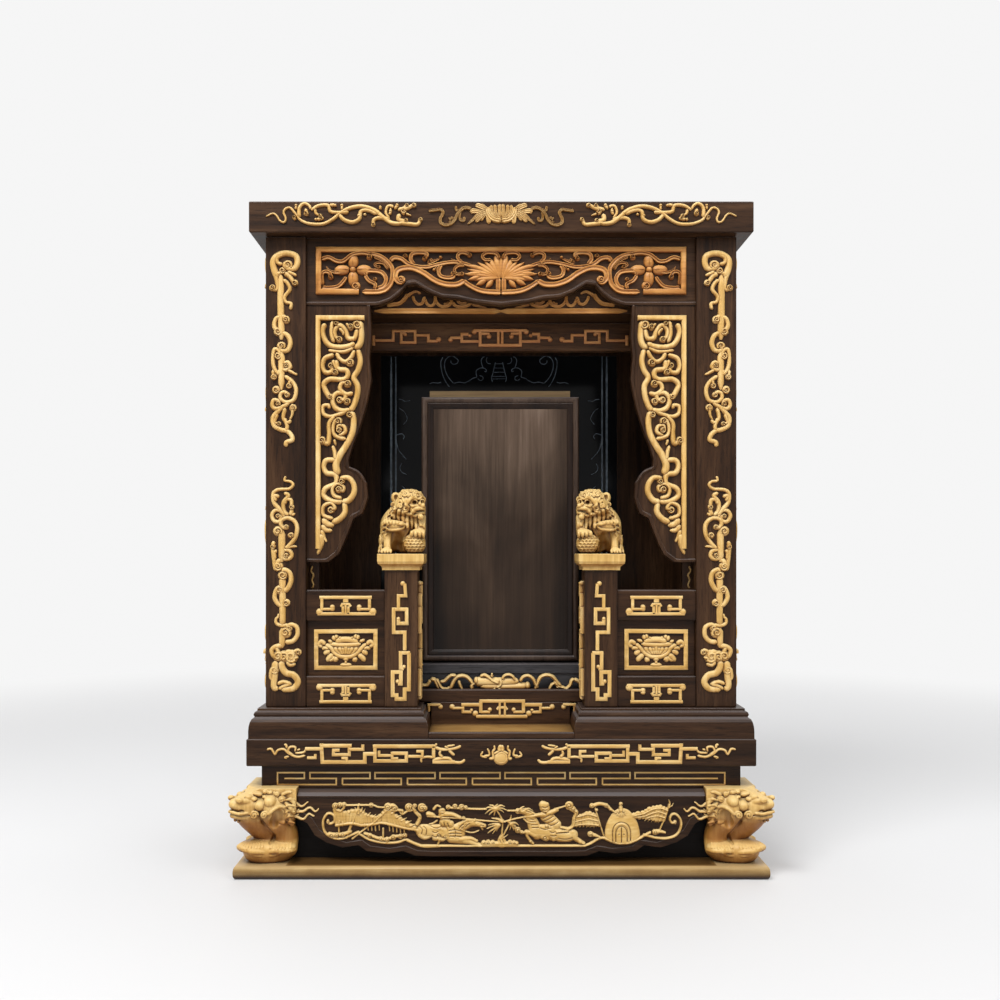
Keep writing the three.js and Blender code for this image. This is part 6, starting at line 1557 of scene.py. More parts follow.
FRIEZE_CENTRE_CUTS = [  # both sides of the hut's door frame, the joint of its two door leaves, their rings
    (5, [(499, 368), (499, 285), (521, 234), (569, 214), (618, 234), (641, 285), (641, 360)]),
    (5, [(525, 372), (525, 296), (542, 260), (569, 247), (597, 260), (614, 296), (614, 366)]),
    (5, [(569, 256), (569, 374)]), (6, [(549, 310), (553, 310)]), (6, [(586, 310), (590, 310)]),
]
# The hut: its middle line, then rows of height and half width, then the line that it stands on
HUT_MIDDLE = 577
HUT_SHARE = 1.15
HUT_SIDES = [(104, 4), (110, 34), (124, 58), (156, 87), (190, 108), (227, 126), (280, 139), (333, 146),
             (400, 147)]
HUT_FLOOR = [(426, 344), (480, 368), (545, 386), (631, 382), (700, 356), (745, 332)]


FRIEZE_CLOTH = {  # upper line, lower line, folds, share of the relief, half width as a share of the gap
    "outer": [
        ([(0.125, 0.2), (0.208, 0.255), (0.3, 0.22), (0.333, 0.2), (0.383, 0.29), (0.458, 0.337)],
         [(0.138, 0.46), (0.208, 0.44), (0.275, 0.43), (0.342, 0.46), (0.392, 0.455), (0.455, 0.44)],
         15, 0.8, 0.66),
        ([(0.48, 0.32), (0.517, 0.27), (0.572, 0.18), (0.625, 0.315), (0.708, 0.418), (0.79, 0.52)],
         [(0.47, 0.435), (0.517, 0.42), (0.58, 0.445), (0.65, 0.48), (0.725, 0.516), (0.798, 0.54)],
         13, 0.8, 0.66),
    ],
    "middle": [],
    "centre": [
        ([(0.33, 0.31), (0.27, 0.28), (0.226, 0.31), (0.185, 0.335)],
         [(0.35, 0.465), (0.285, 0.452), (0.226, 0.455), (0.17, 0.468)], 8, 0.6, 0.66),
        ([(0.834, 0.22), (0.784, 0.185), (0.725, 0.21), (0.667, 0.272), (0.6, 0.312)],
         [(0.81, 0.385), (0.755, 0.38), (0.71, 0.36), (0.667, 0.35), (0.615, 0.335)], 9, 0.6, 0.66),
    ],
}


BAS_STEP = 0.34 * MM
BAS_EDGE = 6
BAS_SINK = 0.6 * MM
BAS_STACK = 0.42
BAS_TOP = 4.3 * MM


class Bas:
    """Low relief on a flat face, kept as heights on a grid. Each form swells out of the ones
    below it, grooves are cut afterwards, and the rim dips under the face."""

    def __init__(self, pixels, y):
        self.x, self.z = photo_point(pixels[0], pixels[1], y)
        far_x, far_z = photo_point(pixels[2], pixels[3], y)
        self.size = Vector((far_x - self.x, self.z - far_z))
        self.y = y
        self.columns = int(self.size.x / BAS_STEP) + 2 * BAS_EDGE
        self.rows = int(self.size.y / BAS_STEP) + 2 * BAS_EDGE
        self.heights = np.full((self.rows, self.columns), -BAS_SINK)

    def near(self, line, halves, margin):
        """A window of the grid round a line, with each cell's distance to the line as a share of
        the line's half width there, and that half width."""
        xs = [p.x for p in line]
        zs = [p.y for p in line]
        c0 = max(0, int((min(xs) - margin) / BAS_STEP) + BAS_EDGE)
        c1 = min(self.columns, int((max(xs) + margin) / BAS_STEP) + BAS_EDGE + 2)
        r0 = max(0, int((min(zs) - margin) / BAS_STEP) + BAS_EDGE)
        r1 = min(self.rows, int((max(zs) + margin) / BAS_STEP) + BAS_EDGE + 2)
        x, z = np.meshgrid((np.arange(c0, c1) - BAS_EDGE) * BAS_STEP,
                           (np.arange(r0, r1) - BAS_EDGE) * BAS_STEP)
        best = np.full(x.shape, 9.0)
        wide = np.full(x.shape, 1e-4)
        for i in range(len(line) - 1):
            start, run = line[i], line[i + 1] - line[i]
            t = np.clip(((x - start.x) * run.x + (z - start.y) * run.y) / max(run.dot(run), 1e-14), 0, 1)
            half = halves[i] + (halves[i + 1] - halves[i]) * t
            share = np.hypot(x - start.x - run.x * t, z - start.y - run.y * t) / half
            closer = share < best
            best = np.where(closer, share, best)
            wide = np.where(closer, half, wide)
        return (slice(r0, r1), slice(c0, c1)), best, wide

    def swell(self, line, halves, height):
        window, share, wide = self.near(line, halves, max(halves) + 3 * BAS_STEP)
        under = self.heights[window]
        rise = height * np.minimum(1, 0.45 + 0.55 * wide / max(halves))
        below = np.clip(under, 0, None)
        stack = 0.94 - BAS_STACK * min(1, max(halves) / (3 * MM))
        rise = rise * (1 - 0.5 * np.minimum(1, below / height))
        inside = rise * np.clip(1 - share * share, 0, 1) ** 0.6 + stack * below
        self.heights[window] = np.maximum(under, np.where(share < 1, inside, (1 - share) * wide * 2.5))

    def groove(self, line, half, depth):
        window, share, _ = self.near(line, [half] * len(line), 3 * half)
        under = self.heights[window]
        cut = np.maximum(under - depth * np.exp(-2 * share * share), 0.25 * MM)
        self.heights[window] = np.where(under > 0.25 * MM, cut, under)

    def flat(self, u, v):
        return Vector((u * self.size.x, v * self.size.y))

    def turned(self, middle, sides, floor, height):
        """A dome seen from the front: round about an upright middle line, on a bent floor line."""
        rows, columns = self.heights.shape
        x, z = np.meshgrid((np.arange(columns) - BAS_EDGE) * BAS_STEP,
                           (np.arange(rows) - BAS_EDGE) * BAS_STEP)
        half = np.interp(z, [p.y for p in sides], [p.x for p in sides])
        aside = np.abs(x - middle)
        inside = np.sqrt(np.clip(half * half - aside * aside, 0, None)) * (height / max(p.x for p in sides))
        dome = np.where(aside < half, inside, (half - aside) * 2.5)
        standing = (z > sides[0].y) & (z < np.interp(x, [p.x for p in floor], [p.y for p in floor]))
        self.heights = np.where(standing, np.maximum(self.heights, dome), self.heights)

    def drape(self, upper, lower, count, height, spread):
        """Cloth or roof between two lines: one rounded fold beside the other, sharing more or
        less of their width."""
        ends = []
        for points in (upper, lower):
            line = smooth([self.flat(*p) for p in points], 12)
            ends.append([line[round(i * (len(line) - 1) / count)] for i in range(count + 1)])
        for i in range(count + 1):
            beside = i - 1 if i else 1
            halves = [max(spread * (side[i] - side[beside]).length, 0.5 * MM) for side in ends]
            self.swell([ends[0][i], ends[1][i]], halves, height * (0.9 + 0.1 * (i % 2)))

    def lay(self, strokes, height, knobs=(), cuts=(), slim=1.0):
        unit = self.size.y
        for first, last, points in strokes:
            line = smooth([self.flat(*p) for p in points], 4)
            count = len(line) - 1
            halves = [(first + (last - first) * i / count) * unit / 2 * slim for i in range(count + 1)]
            self.swell(line, halves, height * min(1, 0.45 + max(halves) / (4 * MM)))
        for i, (u, v, r) in enumerate(knobs):
            self.curl(self.flat(u, v), r * unit * slim, height, 1 if i % 2 else -1)
        for width, points in cuts:
            self.groove(smooth([self.flat(*p) for p in points], 4), width * unit, height * 0.3)

    def curl(self, centre, radius, height, hand):
        self.swell([centre, centre + Vector((BAS_STEP * 0.1, 0))], [radius] * 2,
                   height * min(1, 0.5 + radius / (4 * MM)))
        if radius < WHORL_LEAST:
            return
        line = []
        for i in range(15):
            angle = 0.6 + hand * i / 14 * 1.3 * 2 * math.pi
            reach = radius * (0.8 - 0.62 * i / 14)
            line.append(centre + Vector((math.cos(angle) * reach, math.sin(angle) * reach)))
        self.groove(line, max(radius * 0.14, 0.45 * MM), height * 0.3)

    def piece(self, name, material, slot):
        high = np.minimum(self.heights, BAS_TOP)
        high[:2] = high[-2:] = -BAS_SINK
        high[:, :2] = high[:, -2:] = -BAS_SINK
        live = high > -0.95 * BAS_SINK
        cells = live[:-1, :-1] | live[1:, :-1] | live[:-1, 1:] | live[1:, 1:]
        used = np.zeros(high.shape, bool)
        for dr, dc in ((0, 0), (1, 0), (0, 1), (1, 1)):
            used[dr:dr + cells.shape[0], dc:dc + cells.shape[1]] |= cells
        number = np.full(high.shape, -1)
        count = int(used.sum())
        number[used] = np.arange(count)
        row, column = np.nonzero(used)
        x = self.x + (column - BAS_EDGE) * BAS_STEP
        z = self.z - (row - BAS_EDGE) * BAS_STEP
        front = np.stack([x, self.y - high[used], z], 1)
        rear = np.stack([x, np.full(count, self.y + 1.5 * BAS_SINK), z], 1)
        a, b = number[:-1, :-1][cells], number[:-1, 1:][cells]
        c, d = number[1:, 1:][cells], number[1:, :-1][cells]
        faces = np.concatenate([np.stack([d, c, b, a], 1), np.stack([a, b, c, d], 1) + count])
        faces = faces.tolist()
        padded = np.pad(cells, 1)
        inner = padded[1:-1, 1:-1]
        sides = ((padded[:-2, 1:-1], 0, 0, 0, 1), (padded[2:, 1:-1], 1, 0, 1, 1),
                 (padded[1:-1, :-2], 0, 0, 1, 0), (padded[1:-1, 2:], 0, 1, 1, 1))
        for beside, ra, ca, rb, cb in sides:
            r, c = np.nonzero(inner & ~beside)
            first, second = number[r + ra, c + ca], number[r + rb, c + cb]
            faces += np.stack([first, second, second + count, first + count], 1).tolist()
        return make_piece(name, np.concatenate([front, rear]).tolist(), faces, material, angle=70)


def in_shares(rows, pixels):
    """Stroke or knob rows counted in eighths of a pixel turned into shares of their field."""
    wide, high = (pixels[2] - pixels[0]) * 8, (pixels[3] - pixels[1]) * 8
    out = []
    for row in rows:
        *widths, points = row
        if isinstance(points, list):
            out.append((*(w / high for w in widths), [(x / wide, y / high) for x, y in points]))
        else:
            out.append((row[0] / wide, row[1] / high, points / high))
    return out


def build_apron_carving():
    y = face_y("front_apron") + APRON_SET
    middle = [in_shares(rows, FRIEZE_MIDDLE_PX) for rows in (FRIEZE_MIDDLE, FRIEZE_MIDDLE_KNOBS,
                                                             FRIEZE_MIDDLE_CUTS)]
    centre = [in_shares(rows, FRIEZE_CENTRE_PX) for rows in (FRIEZE_CENTRE, FRIEZE_CENTRE_KNOBS,
                                                             FRIEZE_CENTRE_CUTS)]
    for name, pixels, strokes, knobs, cuts, slim in (
            ("outer", FRIEZE_OUTER_PX, FRIEZE_OUTER, FRIEZE_OUTER_KNOBS, (), 1.2),
            ("middle", FRIEZE_MIDDLE_PX, *middle, 1.06),
            ("centre", FRIEZE_CENTRE_PX, *centre, 1.06)):
        relief = Bas(pixels, y)
        if name == "centre":
            eighth = relief.size.y / (8 * (pixels[3] - pixels[1]))
            sides = [Vector((half, z)) * eighth for z, half in HUT_SIDES]
            relief.turned(HUT_MIDDLE * eighth, sides, [Vector(p) * eighth for p in HUT_FLOOR],
                          RELIEF * HUT_SHARE)
        for upper, lower, folds, share, spread in FRIEZE_CLOTH[name]:
            relief.drape(upper, lower, folds, RELIEF * share, spread)
        relief.lay(strokes, RELIEF, knobs, cuts, slim)
        relief.piece(f"frieze_{name}", GOLD_FINE, "carved_wood")
    flames = front_field(FLAMES_PX, y)
    lay(flames, FLAMES, RELIEF)
    flames.pair("flames_left", "flames_right", GOLD, "carved_wood")


# Sculpture: a block of distances carved with balls, limbs and cuts, then skinned as one mesh

FAR = 20.0


class Clay:
    """Carved masses in millimetres inside a box, measured from a named corner of it."""

    def __init__(self, low, high, step):
        self.low = np.array(low, float) - 2 * step
        self.step = step
        count = np.ceil((np.array(high, float) - self.low) / step).astype(int) + 3
        self.field = np.full(tuple(count), FAR)
        self.bounds = (np.array(low, float), np.array(high, float))

    def window(self, low, high, margin):
        first = np.maximum(0, np.floor((np.array(low) - margin - self.low) / self.step).astype(int))
        last = np.minimum(self.field.shape,
                          np.ceil((np.array(high) + margin - self.low) / self.step).astype(int) + 1)
        if (last <= first).any():
            return None, None
        axes = [self.low[i] + self.step * np.arange(first[i], last[i]) for i in range(3)]
        cut = tuple(slice(a, b) for a, b in zip(first, last))
        return cut, np.meshgrid(*axes, indexing="ij")

    def merge(self, cut, distance, soft, remove):
        old = self.field[cut]
        if remove:
            distance = -distance
            blend = np.maximum(soft - np.abs(old - distance), 0) / soft
            self.field[cut] = np.maximum(old, distance) + blend * blend * soft * 0.25
        else:
            blend = np.maximum(soft - np.abs(old - distance), 0) / soft
            self.field[cut] = np.minimum(old, distance) - blend * blend * soft * 0.25

    def ball(self, centre, radii, turn=0.0, tilt=0.0, soft=1.2, remove=False):
        """An ellipsoid; turn is about the upright axis, tilt about the axis to the viewer."""
        reach = max(radii)
        centre = np.array(centre, float)
        cut, grid = self.window(centre - reach, centre + reach, soft + 2 * self.step)
        if cut is None:
            return
        x, y, z = (g - c for g, c in zip(grid, centre))
        t, s = math.radians(turn), math.radians(tilt)
        x, y = x * math.cos(t) + y * math.sin(t), y * math.cos(t) - x * math.sin(t)
        x, z = x * math.cos(s) + z * math.sin(s), z * math.cos(s) - x * math.sin(s)
        a, b, c = radii
        near = np.sqrt((x / a) ** 2 + (y / b) ** 2 + (z / c) ** 2) + 1e-9
        slope = np.sqrt((x / a ** 2) ** 2 + (y / b ** 2) ** 2 + (z / c ** 2) ** 2) + 1e-9
        self.merge(cut, near * (near - 1) / slope, soft, remove)

    def limb(self, points, radii, soft=0.8, remove=False, per_span=4):
        """A round limb along a smooth path, tapering through its radii."""
        line = smooth(points, per_span)
        total = len(line) - 1
        for i in range(total):
            ra = width_at(radii, i / total)
            rb = width_at(radii, (i + 1) / total)
            a, b = np.array(line[i]), np.array(line[i + 1])
            cut, grid = self.window(np.minimum(a, b), np.maximum(a, b), max(ra, rb) + soft + 2 * self.step)
            if cut is None:
                continue
            offset = [g - c for g, c in zip(grid, a)]
            run = b - a
            share = np.clip(sum(o * r for o, r in zip(offset, run)) / max(run @ run, 1e-9), 0, 1)
            away = np.sqrt(sum((o - share * r) ** 2 for o, r in zip(offset, run)))
            self.merge(cut, away - (ra + (rb - ra) * share), soft, remove)

    def hull(self, planes, centre, reach, soft=1.0):
        """The solid behind a set of planes, each a normal and its distance from the centre."""
        centre = np.array(centre, float)
        cut, grid = self.window(centre - reach, centre + reach, soft + 2 * self.step)
        if cut is None:
            return
        offset = [g - c for g, c in zip(grid, centre)]
        distance = None
        for normal, away in planes:
            n = np.array(normal, float)
            n /= np.linalg.norm(n)
            d = sum(o * k for o, k in zip(offset, n)) - away
            distance = d if distance is None else np.maximum(distance, d)
        self.merge(cut, distance, soft, False)

    def depth(self, x, z):
        """How far towards the viewer (low y) the surface stands at x, z."""
        i = int(round((x - self.low[0]) / self.step))
        k = int(round((z - self.low[2]) / self.step))
        i = min(max(i, 0), self.field.shape[0] - 1)
        k = min(max(k, 0), self.field.shape[2] - 1)
        inside = np.nonzero(self.field[i, :, k] < 0)[0]
        if not len(inside):
            return None
        return self.low[1] + self.step * inside[0]

    def draw(self, points, radii, raise_by=0.0, soft=0.5, remove=False, per_span=4):
        """A limb that follows the carved surface as the viewer sees it, from x, z points."""
        path = []
        last = None
        for p in smooth(points, per_span):
            y = self.depth(p[0], p[1])
            y = last if y is None else y
            if y is None:
                continue
            last = y
            path.append((p[0], y - raise_by, p[1]))
        for i in range(1, len(path) - 1):
            path[i] = (path[i][0], (path[i - 1][1] + path[i][1] + path[i + 1][1]) / 3, path[i][2])
        if len(path) > 1:
            self.limb(path, radii, soft, remove, 1)

    def curl(self, x, z, radius, thick, turns=1.4, start=0.0, hand=1, raise_by=0.3):
        """A spiral drawn on the surface, from its rim in to its eye."""
        points = []
        steps = 14
        for i in range(steps):
            t = i / (steps - 1)
            angle = math.radians(start) + hand * t * turns * 2 * math.pi
            r = radius * (1 - 0.82 * t)
            points.append((x + math.cos(angle) * r, z + math.sin(angle) * r))
        self.draw(points, (thick, thick * 0.75), raise_by, 0.25, False, 2)

    def mesh(self):
        """Surface nets: one vertex in each cell that the surface crosses."""
        low, high = self.bounds
        for axis in range(3):
            line = self.low[axis] + self.step * np.arange(self.field.shape[axis])
            shape = [1, 1, 1]
            shape[axis] = -1
            wall = np.maximum(line - high[axis], low[axis] - line).reshape(shape)
            self.field = np.maximum(self.field, wall + self.step * 0.51)
        f = self.field
        inside = f < 0
        shape = tuple(s - 1 for s in f.shape)
        corner = lambda g, o: g[o[0]:o[0] + shape[0], o[1]:o[1] + shape[1], o[2]:o[2] + shape[2]]
        offsets = [(a, b, c) for a in (0, 1) for b in (0, 1) for c in (0, 1)]
        count = sum(corner(inside, o).astype(np.int8) for o in offsets)
        active = (count > 0) & (count < 8)
        cells = np.argwhere(active)
        index = np.full(shape, -1)
        index[active] = np.arange(len(cells))
        place = np.zeros((len(cells), 3))
        hits = np.zeros(len(cells))
        for axis in range(3):
            step = np.eye(3, dtype=int)[axis]
            for o in offsets:
                if o[axis]:
                    continue
                a = f[tuple((cells + o).T)]
                b = f[tuple((cells + o + step).T)]
                cross = (a < 0) != (b < 0)
                share = np.where(cross, a / np.where(cross, a - b, 1), 0)
                place += np.where(cross[:, None], np.array(o) + share[:, None] * step, 0)
                hits += cross
        verts = self.low + (cells + place / hits[:, None]) * self.step
        faces = []
        for axis in range(3):
            u, v = (axis + 1) % 3, (axis + 2) % 3
            ahead = np.roll(inside, -1, axis)
            cross = inside != ahead
            where = np.argwhere(cross)
            ok = (where[:, u] > 0) & (where[:, v] > 0) & (where[:, axis] < shape[axis])
            ok &= (where[:, u] < shape[u]) & (where[:, v] < shape[v])
            where = where[ok]
            du, dv = np.eye(3, dtype=int)[u], np.eye(3, dtype=int)[v]
            quad = np.stack([index[tuple((where - du - dv).T)], index[tuple((where - dv).T)],
                             index[tuple(where.T)], index[tuple((where - du).T)]], 1)
            out = inside[tuple(where.T)]
            quad[~out] = quad[~out][:, ::-1]
            faces.append(quad)
        return verts, np.concatenate(faces)


FOOT_REACH = 61.2
LION_STEP = 0.4
CLAY_LOW, CLAY_HIGH = (-22.2, -24.6, 0.0), (22.3, 25.2, 60.1)


def sculpt_lion():
    """A seated guardian lion with its head turned inward and a paw on a woven ball.
    Its own frame: x across, y away from the viewer, z up from the plinth, in millimetres."""
    clay = Clay(CLAY_LOW, CLAY_HIGH, LION_STEP)
    ball, limb = clay.ball, clay.limb
    # Body: haunches, back and chest
    ball((-12, 8, 14), (9.6, 12, 14), soft=3)
    ball((-10, 6, 26), (11.2, 12, 14), soft=4)
    ball((-4, 2, 34), (12, 11, 11), soft=4)
    ball((4, -3, 27), (12, 10, 12), soft=4)
    ball((4, 4, 12), (12, 12, 12), soft=3)
    ball((-15.5, 4, 9), (5.6, 9, 9.5), soft=2)
    # Head: a broad skull, brow, cheeks and a short wide muzzle, turned to the inner side
    ball((6.5, -4, 46.4), (14.2, 12.6, 12.6), soft=2)
    ball((7.5, -2, 52), (11.5, 11, 7.9), soft=3)
    ball((14.5, -10, 40.5), (8.6, 9.5, 6.4), soft=2)
    ball((1.5, -8, 42), (8.4, 8, 7), soft=2)
    # Outer ear: a cup whose rim stands up beside the head
    ball((-5.4, -3.6, 51.4), (4.6, 3.4, 5.9), tilt=18, soft=0.8)
    ball((-5.0, -8.0, 51.8), (2.3, 3.2, 3.8), tilt=18, soft=0.5, remove=True)
    # Standing foreleg, haunch and toes
    limb([(-12.5, -3, 30), (-13.6, -7, 22), (-12.4, -10, 12), (-12.4, -12.5, 3.4)], (5.2, 4.2, 3.5, 3.4), 1.5)
    ball((-13.2, -15.5, 2.8), (5.0, 5.4, 3.2), soft=0.8)
    ball((-18.6, -4, 4.4), (3.4, 6, 4.6), soft=0.8)
    ball((-17.6, 0, 12), (4.4, 8, 8), soft=1.5)
    # Folded forearm across the chest, its fist and the cuff of fur under it
    limb([(-14, -9, 26.5), (-7, -14.8, 26), (0.5, -14.6, 25.4)], (5.0, 4.8, 4.0), 1.2)
    for i in range(5):
        ball((-12.4 + i * 3.3, -18.6 - 0.4 * (i % 4 > 0), 28.4 - 0.25 * i), (1.9, 2.2, 2.3), soft=0.3)
    clay.draw([(-14.5, 24.4), (-11, 22.2), (-5.5, 21.8), (0.5, 22.6), (3, 24.6)], (0.9, 1.3, 0.9), 0.7)
    limb([(15, -4, 34), (18.5, -8, 27), (18.0, -12, 21)], (6.4, 5.4, 4.6), 1.5)
    # Hollow under the body between the forelegs
    ball((-3.6, -12, 10), (6.2, 12, 11), soft=1.2, remove=True)
    ball((-4.0, -6, 6), (5.6, 9, 8), soft=1.2, remove=True)
    # Ball with the paw on it
    ball((12.4, -11, 9.4), (10.2, 10.6, 9.9), soft=0.5)
    ball((16.2, -14.4, 19.4), (7.6, 7.0, 3.8), soft=0.6)
    for i in range(4):
        ball((10.4 + i * 3.6, -20.4 + 0.3 * abs(i - 1.5), 18.2 - 0.2 * i), (2.0, 2.8, 3.2), soft=0.3)
    # Weave of the ball: rows of short raised strands
    for row in range(6):
        z = 2.2 + row * 2.5
        for k in range(6):
            x = 4.6 + k * 3.2 + (row % 2) * 1.6
            if abs(x - 12.4) < math.sqrt(max(0, 100 - (z - 9.4) ** 2)) - 0.5:
                clay.draw([(x - 1.6, z - 0.7), (x, z + 0.5), (x + 1.6, z - 0.5)], (0.45, 0.85, 0.45), 0.35,
                          0.25, False, 3)
    # Ribbon round the ball
    clay.draw([(-0.4, 26.8), (3.6, 26.2), (6.2, 22.4), (4.6, 17.6), (2.8, 12.8), (2.0, 7.6), (2.6, 2.6),
               (4.6, 0.8)], (1.1, 1.3, 1.3), 0.6)
    # Beard: thick strands that hang side by side
    for x, top, mid, low, end in ((-5.2, 40.5, -6.6, 35, 31.4), (-1.6, 39.4, -2.4, 34.5, 31.0),
                                  (2.2, 37.8, 1.8, 33, 29.6), (6.0, 36.4, 5.6, 30, 24.4),
                                  (9.8, 35.4, 9.8, 29, 23.4), (13.6, 35, 13.8, 29, 23.8),
                                  (17.4, 34.6, 18.0, 29.4, 26)):
        clay.draw([(x, top), (mid, low), (mid + 0.3, end)], (1.9, 2.1, 1.5), 0.9, 0.35)
    ball((21.0, -12.4, 26.0), (3.4, 4.4, 4.6), soft=0.5)
    # Muzzle: nose, cleft, open mouth, lips that sweep back as a waved moustache
    ball((19.8, -17.2, 43.8), (3.4, 3.2, 2.5), soft=0.6)
    ball((15.4, -18.4, 42.8), (2.3, 2.2, 1.9), soft=0.5)
    clay.draw([(17.6, 45.4), (18.0, 48.6), (16.6, 50.4)], (1.8, 1.6, 1.2), 0.6)
    clay.draw([(12.6, 39.8), (16, 39.2), (22, 39.8)], (0.6, 1.1, 0.9), 0.1, 0.3, remove=True)
    clay.draw([(3.4, 39.4), (6.0, 36.6), (9.4, 36.4), (11.6, 38.8), (14.2, 40.9), (18, 41.2), (21.8, 41.0)],
              (1.1, 1.75, 1.3), 0.9, 0.4)
    clay.draw([(9.4, 36.2), (13, 34.8), (16.4, 36.2), (19.4, 37.4), (22, 36.8)], (1.0, 1.5, 1.1), 0.9, 0.4)
    clay.curl(4.4, 40.8, 2.7, 1.0, 1.3, 250, 1, 0.9)
    clay.curl(-0.6, 43.6, 2.4, 0.95, 1.3, 200, -1, 0.8)
    ball((18.4, -19.0, 33.6), (2.7, 2.6, 2.8), soft=0.4)
    # Eyes: bored holes under heavy brows that wave across the face
    for x, z, r in ((12.4, 47.0, 2.1), (19.6, 47.6, 1.8)):
        y = clay.depth(x, z)
        ball((x, y + 0.2, z), (r + 1.0, 1.6, r + 0.9), soft=0.6)
        ball((x, y - 1.4, z), (r, 4.6, r), soft=0.3, remove=True)
    clay.draw([(5.4, 44.4), (7.0, 47.6), (9.0, 50.6), (12.4, 51.4), (15.4, 49.8)], (1.1, 1.5, 1.7, 1.5, 1.1),
              0.8)
    clay.draw([(16.6, 50.2), (19.6, 51.8), (22, 49.4)], (1.1, 1.5, 1.1), 0.7)
    clay.draw([(8.6, 44.6), (11.4, 43.2), (14.4, 44.0)], (0.9, 1.2, 0.8), 0.5)
    clay.draw([(1.6, 51), (3.0, 47.6), (5.2, 49.4), (4.6, 44.8), (7.4, 42.4)], (1.1, 1.4, 1.1), 0.7)
    clay.draw([(-3.0, 46.0), (-0.6, 48.6), (1.4, 46.4)], (0.9, 1.2, 0.9), 0.6)
    # Mane: rows of tight curls over the crown and down behind the ear
    for x, z, r, s in ((-0.4, 52.6, 2.1, 1), (3.2, 54.6, 2.1, -1), (7.0, 53.6, 2.0, 1), (10.8, 54.4, 2.1, -1),
                       (14.6, 53.8, 2.0, 1), (18.2, 54.2, 1.9, -1), (1.4, 57.4, 1.9, 1), (5.4, 58.0, 1.9, -1),
                       (9.4, 58.0, 1.9, 1), (13.4, 57.6, 1.8, -1), (16.8, 57.0, 1.6, 1), (-8.4, 45.6, 1.8, 1),
                       (-6.6, 42.4, 1.9, -1), (-9.6, 41.6, 1.7, 1)):
        clay.curl(x, z, r, 0.8, 1.2, 40 * s, s, 0.6)
    # Fur down the back, in short slanting locks
    for i in range(6):
        x = -11.6 - 1.7 * i + 0.1 * i * i
        z = 40 - 4.0 * i
        clay.draw([(x + 1.6, z), (x - 0.8, z - 2.2), (x + 0.2, z - 4.8)], (0.9, 1.1, 0.5), 0.35, 0.3)
        clay.draw([(x + 4.6, z - 1.2), (x + 2.6, z - 3.6), (x + 3.4, z - 6)], (0.8, 1.0, 0.5), 0.3, 0.3)
    for i in range(4):
        clay.draw([(-20.4 + 0.5 * i, 17 - 3.4 * i), (-18.8 + 0.5 * i, 13.4 - 3.4 * i)], (0.8, 0.5), 0.3, 0.3)
    # Toes of the standing feet
    for i in range(4):
        limb([(-16.6 + i * 2.5, -19.0, 3.2), (-16.7 + i * 2.55, -20.8, 1.4)], (1.35, 1.0), 0.3)
    for i in range(3):
        limb([(-20.6 + i * 2.0, -8.6, 3.0), (-20.7 + i * 2.0, -10.2, 1.2)], (1.2, 0.9), 0.3)
    # Back: mane down the spine and a flame tail, for the view from behind
    for i in range(5):
        for side in (-1, 0, 1):
            limb([(2 - 2.4 * i + side * 4, 11.6 + 0.6 * i, 53 - 7.0 * i),
                  (1 - 2.4 * i + side * 4.6, 15.0 + 0.9 * i, 49 - 7.0 * i),
                  (0.6 - 2.4 * i + side * 4.4, 14.2 + 0.9 * i, 44 - 7.0 * i)], (1.7, 1.5, 0.7), 0.5)
    limb([(-6, 18, 4), (-7, 22, 12), (-9, 21.5, 21), (-6, 20, 28)], (3.2, 3.4, 2.8, 0.9), 1.0)
    for side in (-1, 1):
        limb([(-7, 20, 8), (-7 + side * 5, 21, 14), (-8 + side * 4.4, 20, 22)], (1.8, 2.2, 0.7), 0.5)
    return clay.mesh()


FOOT_STEP = 0.45


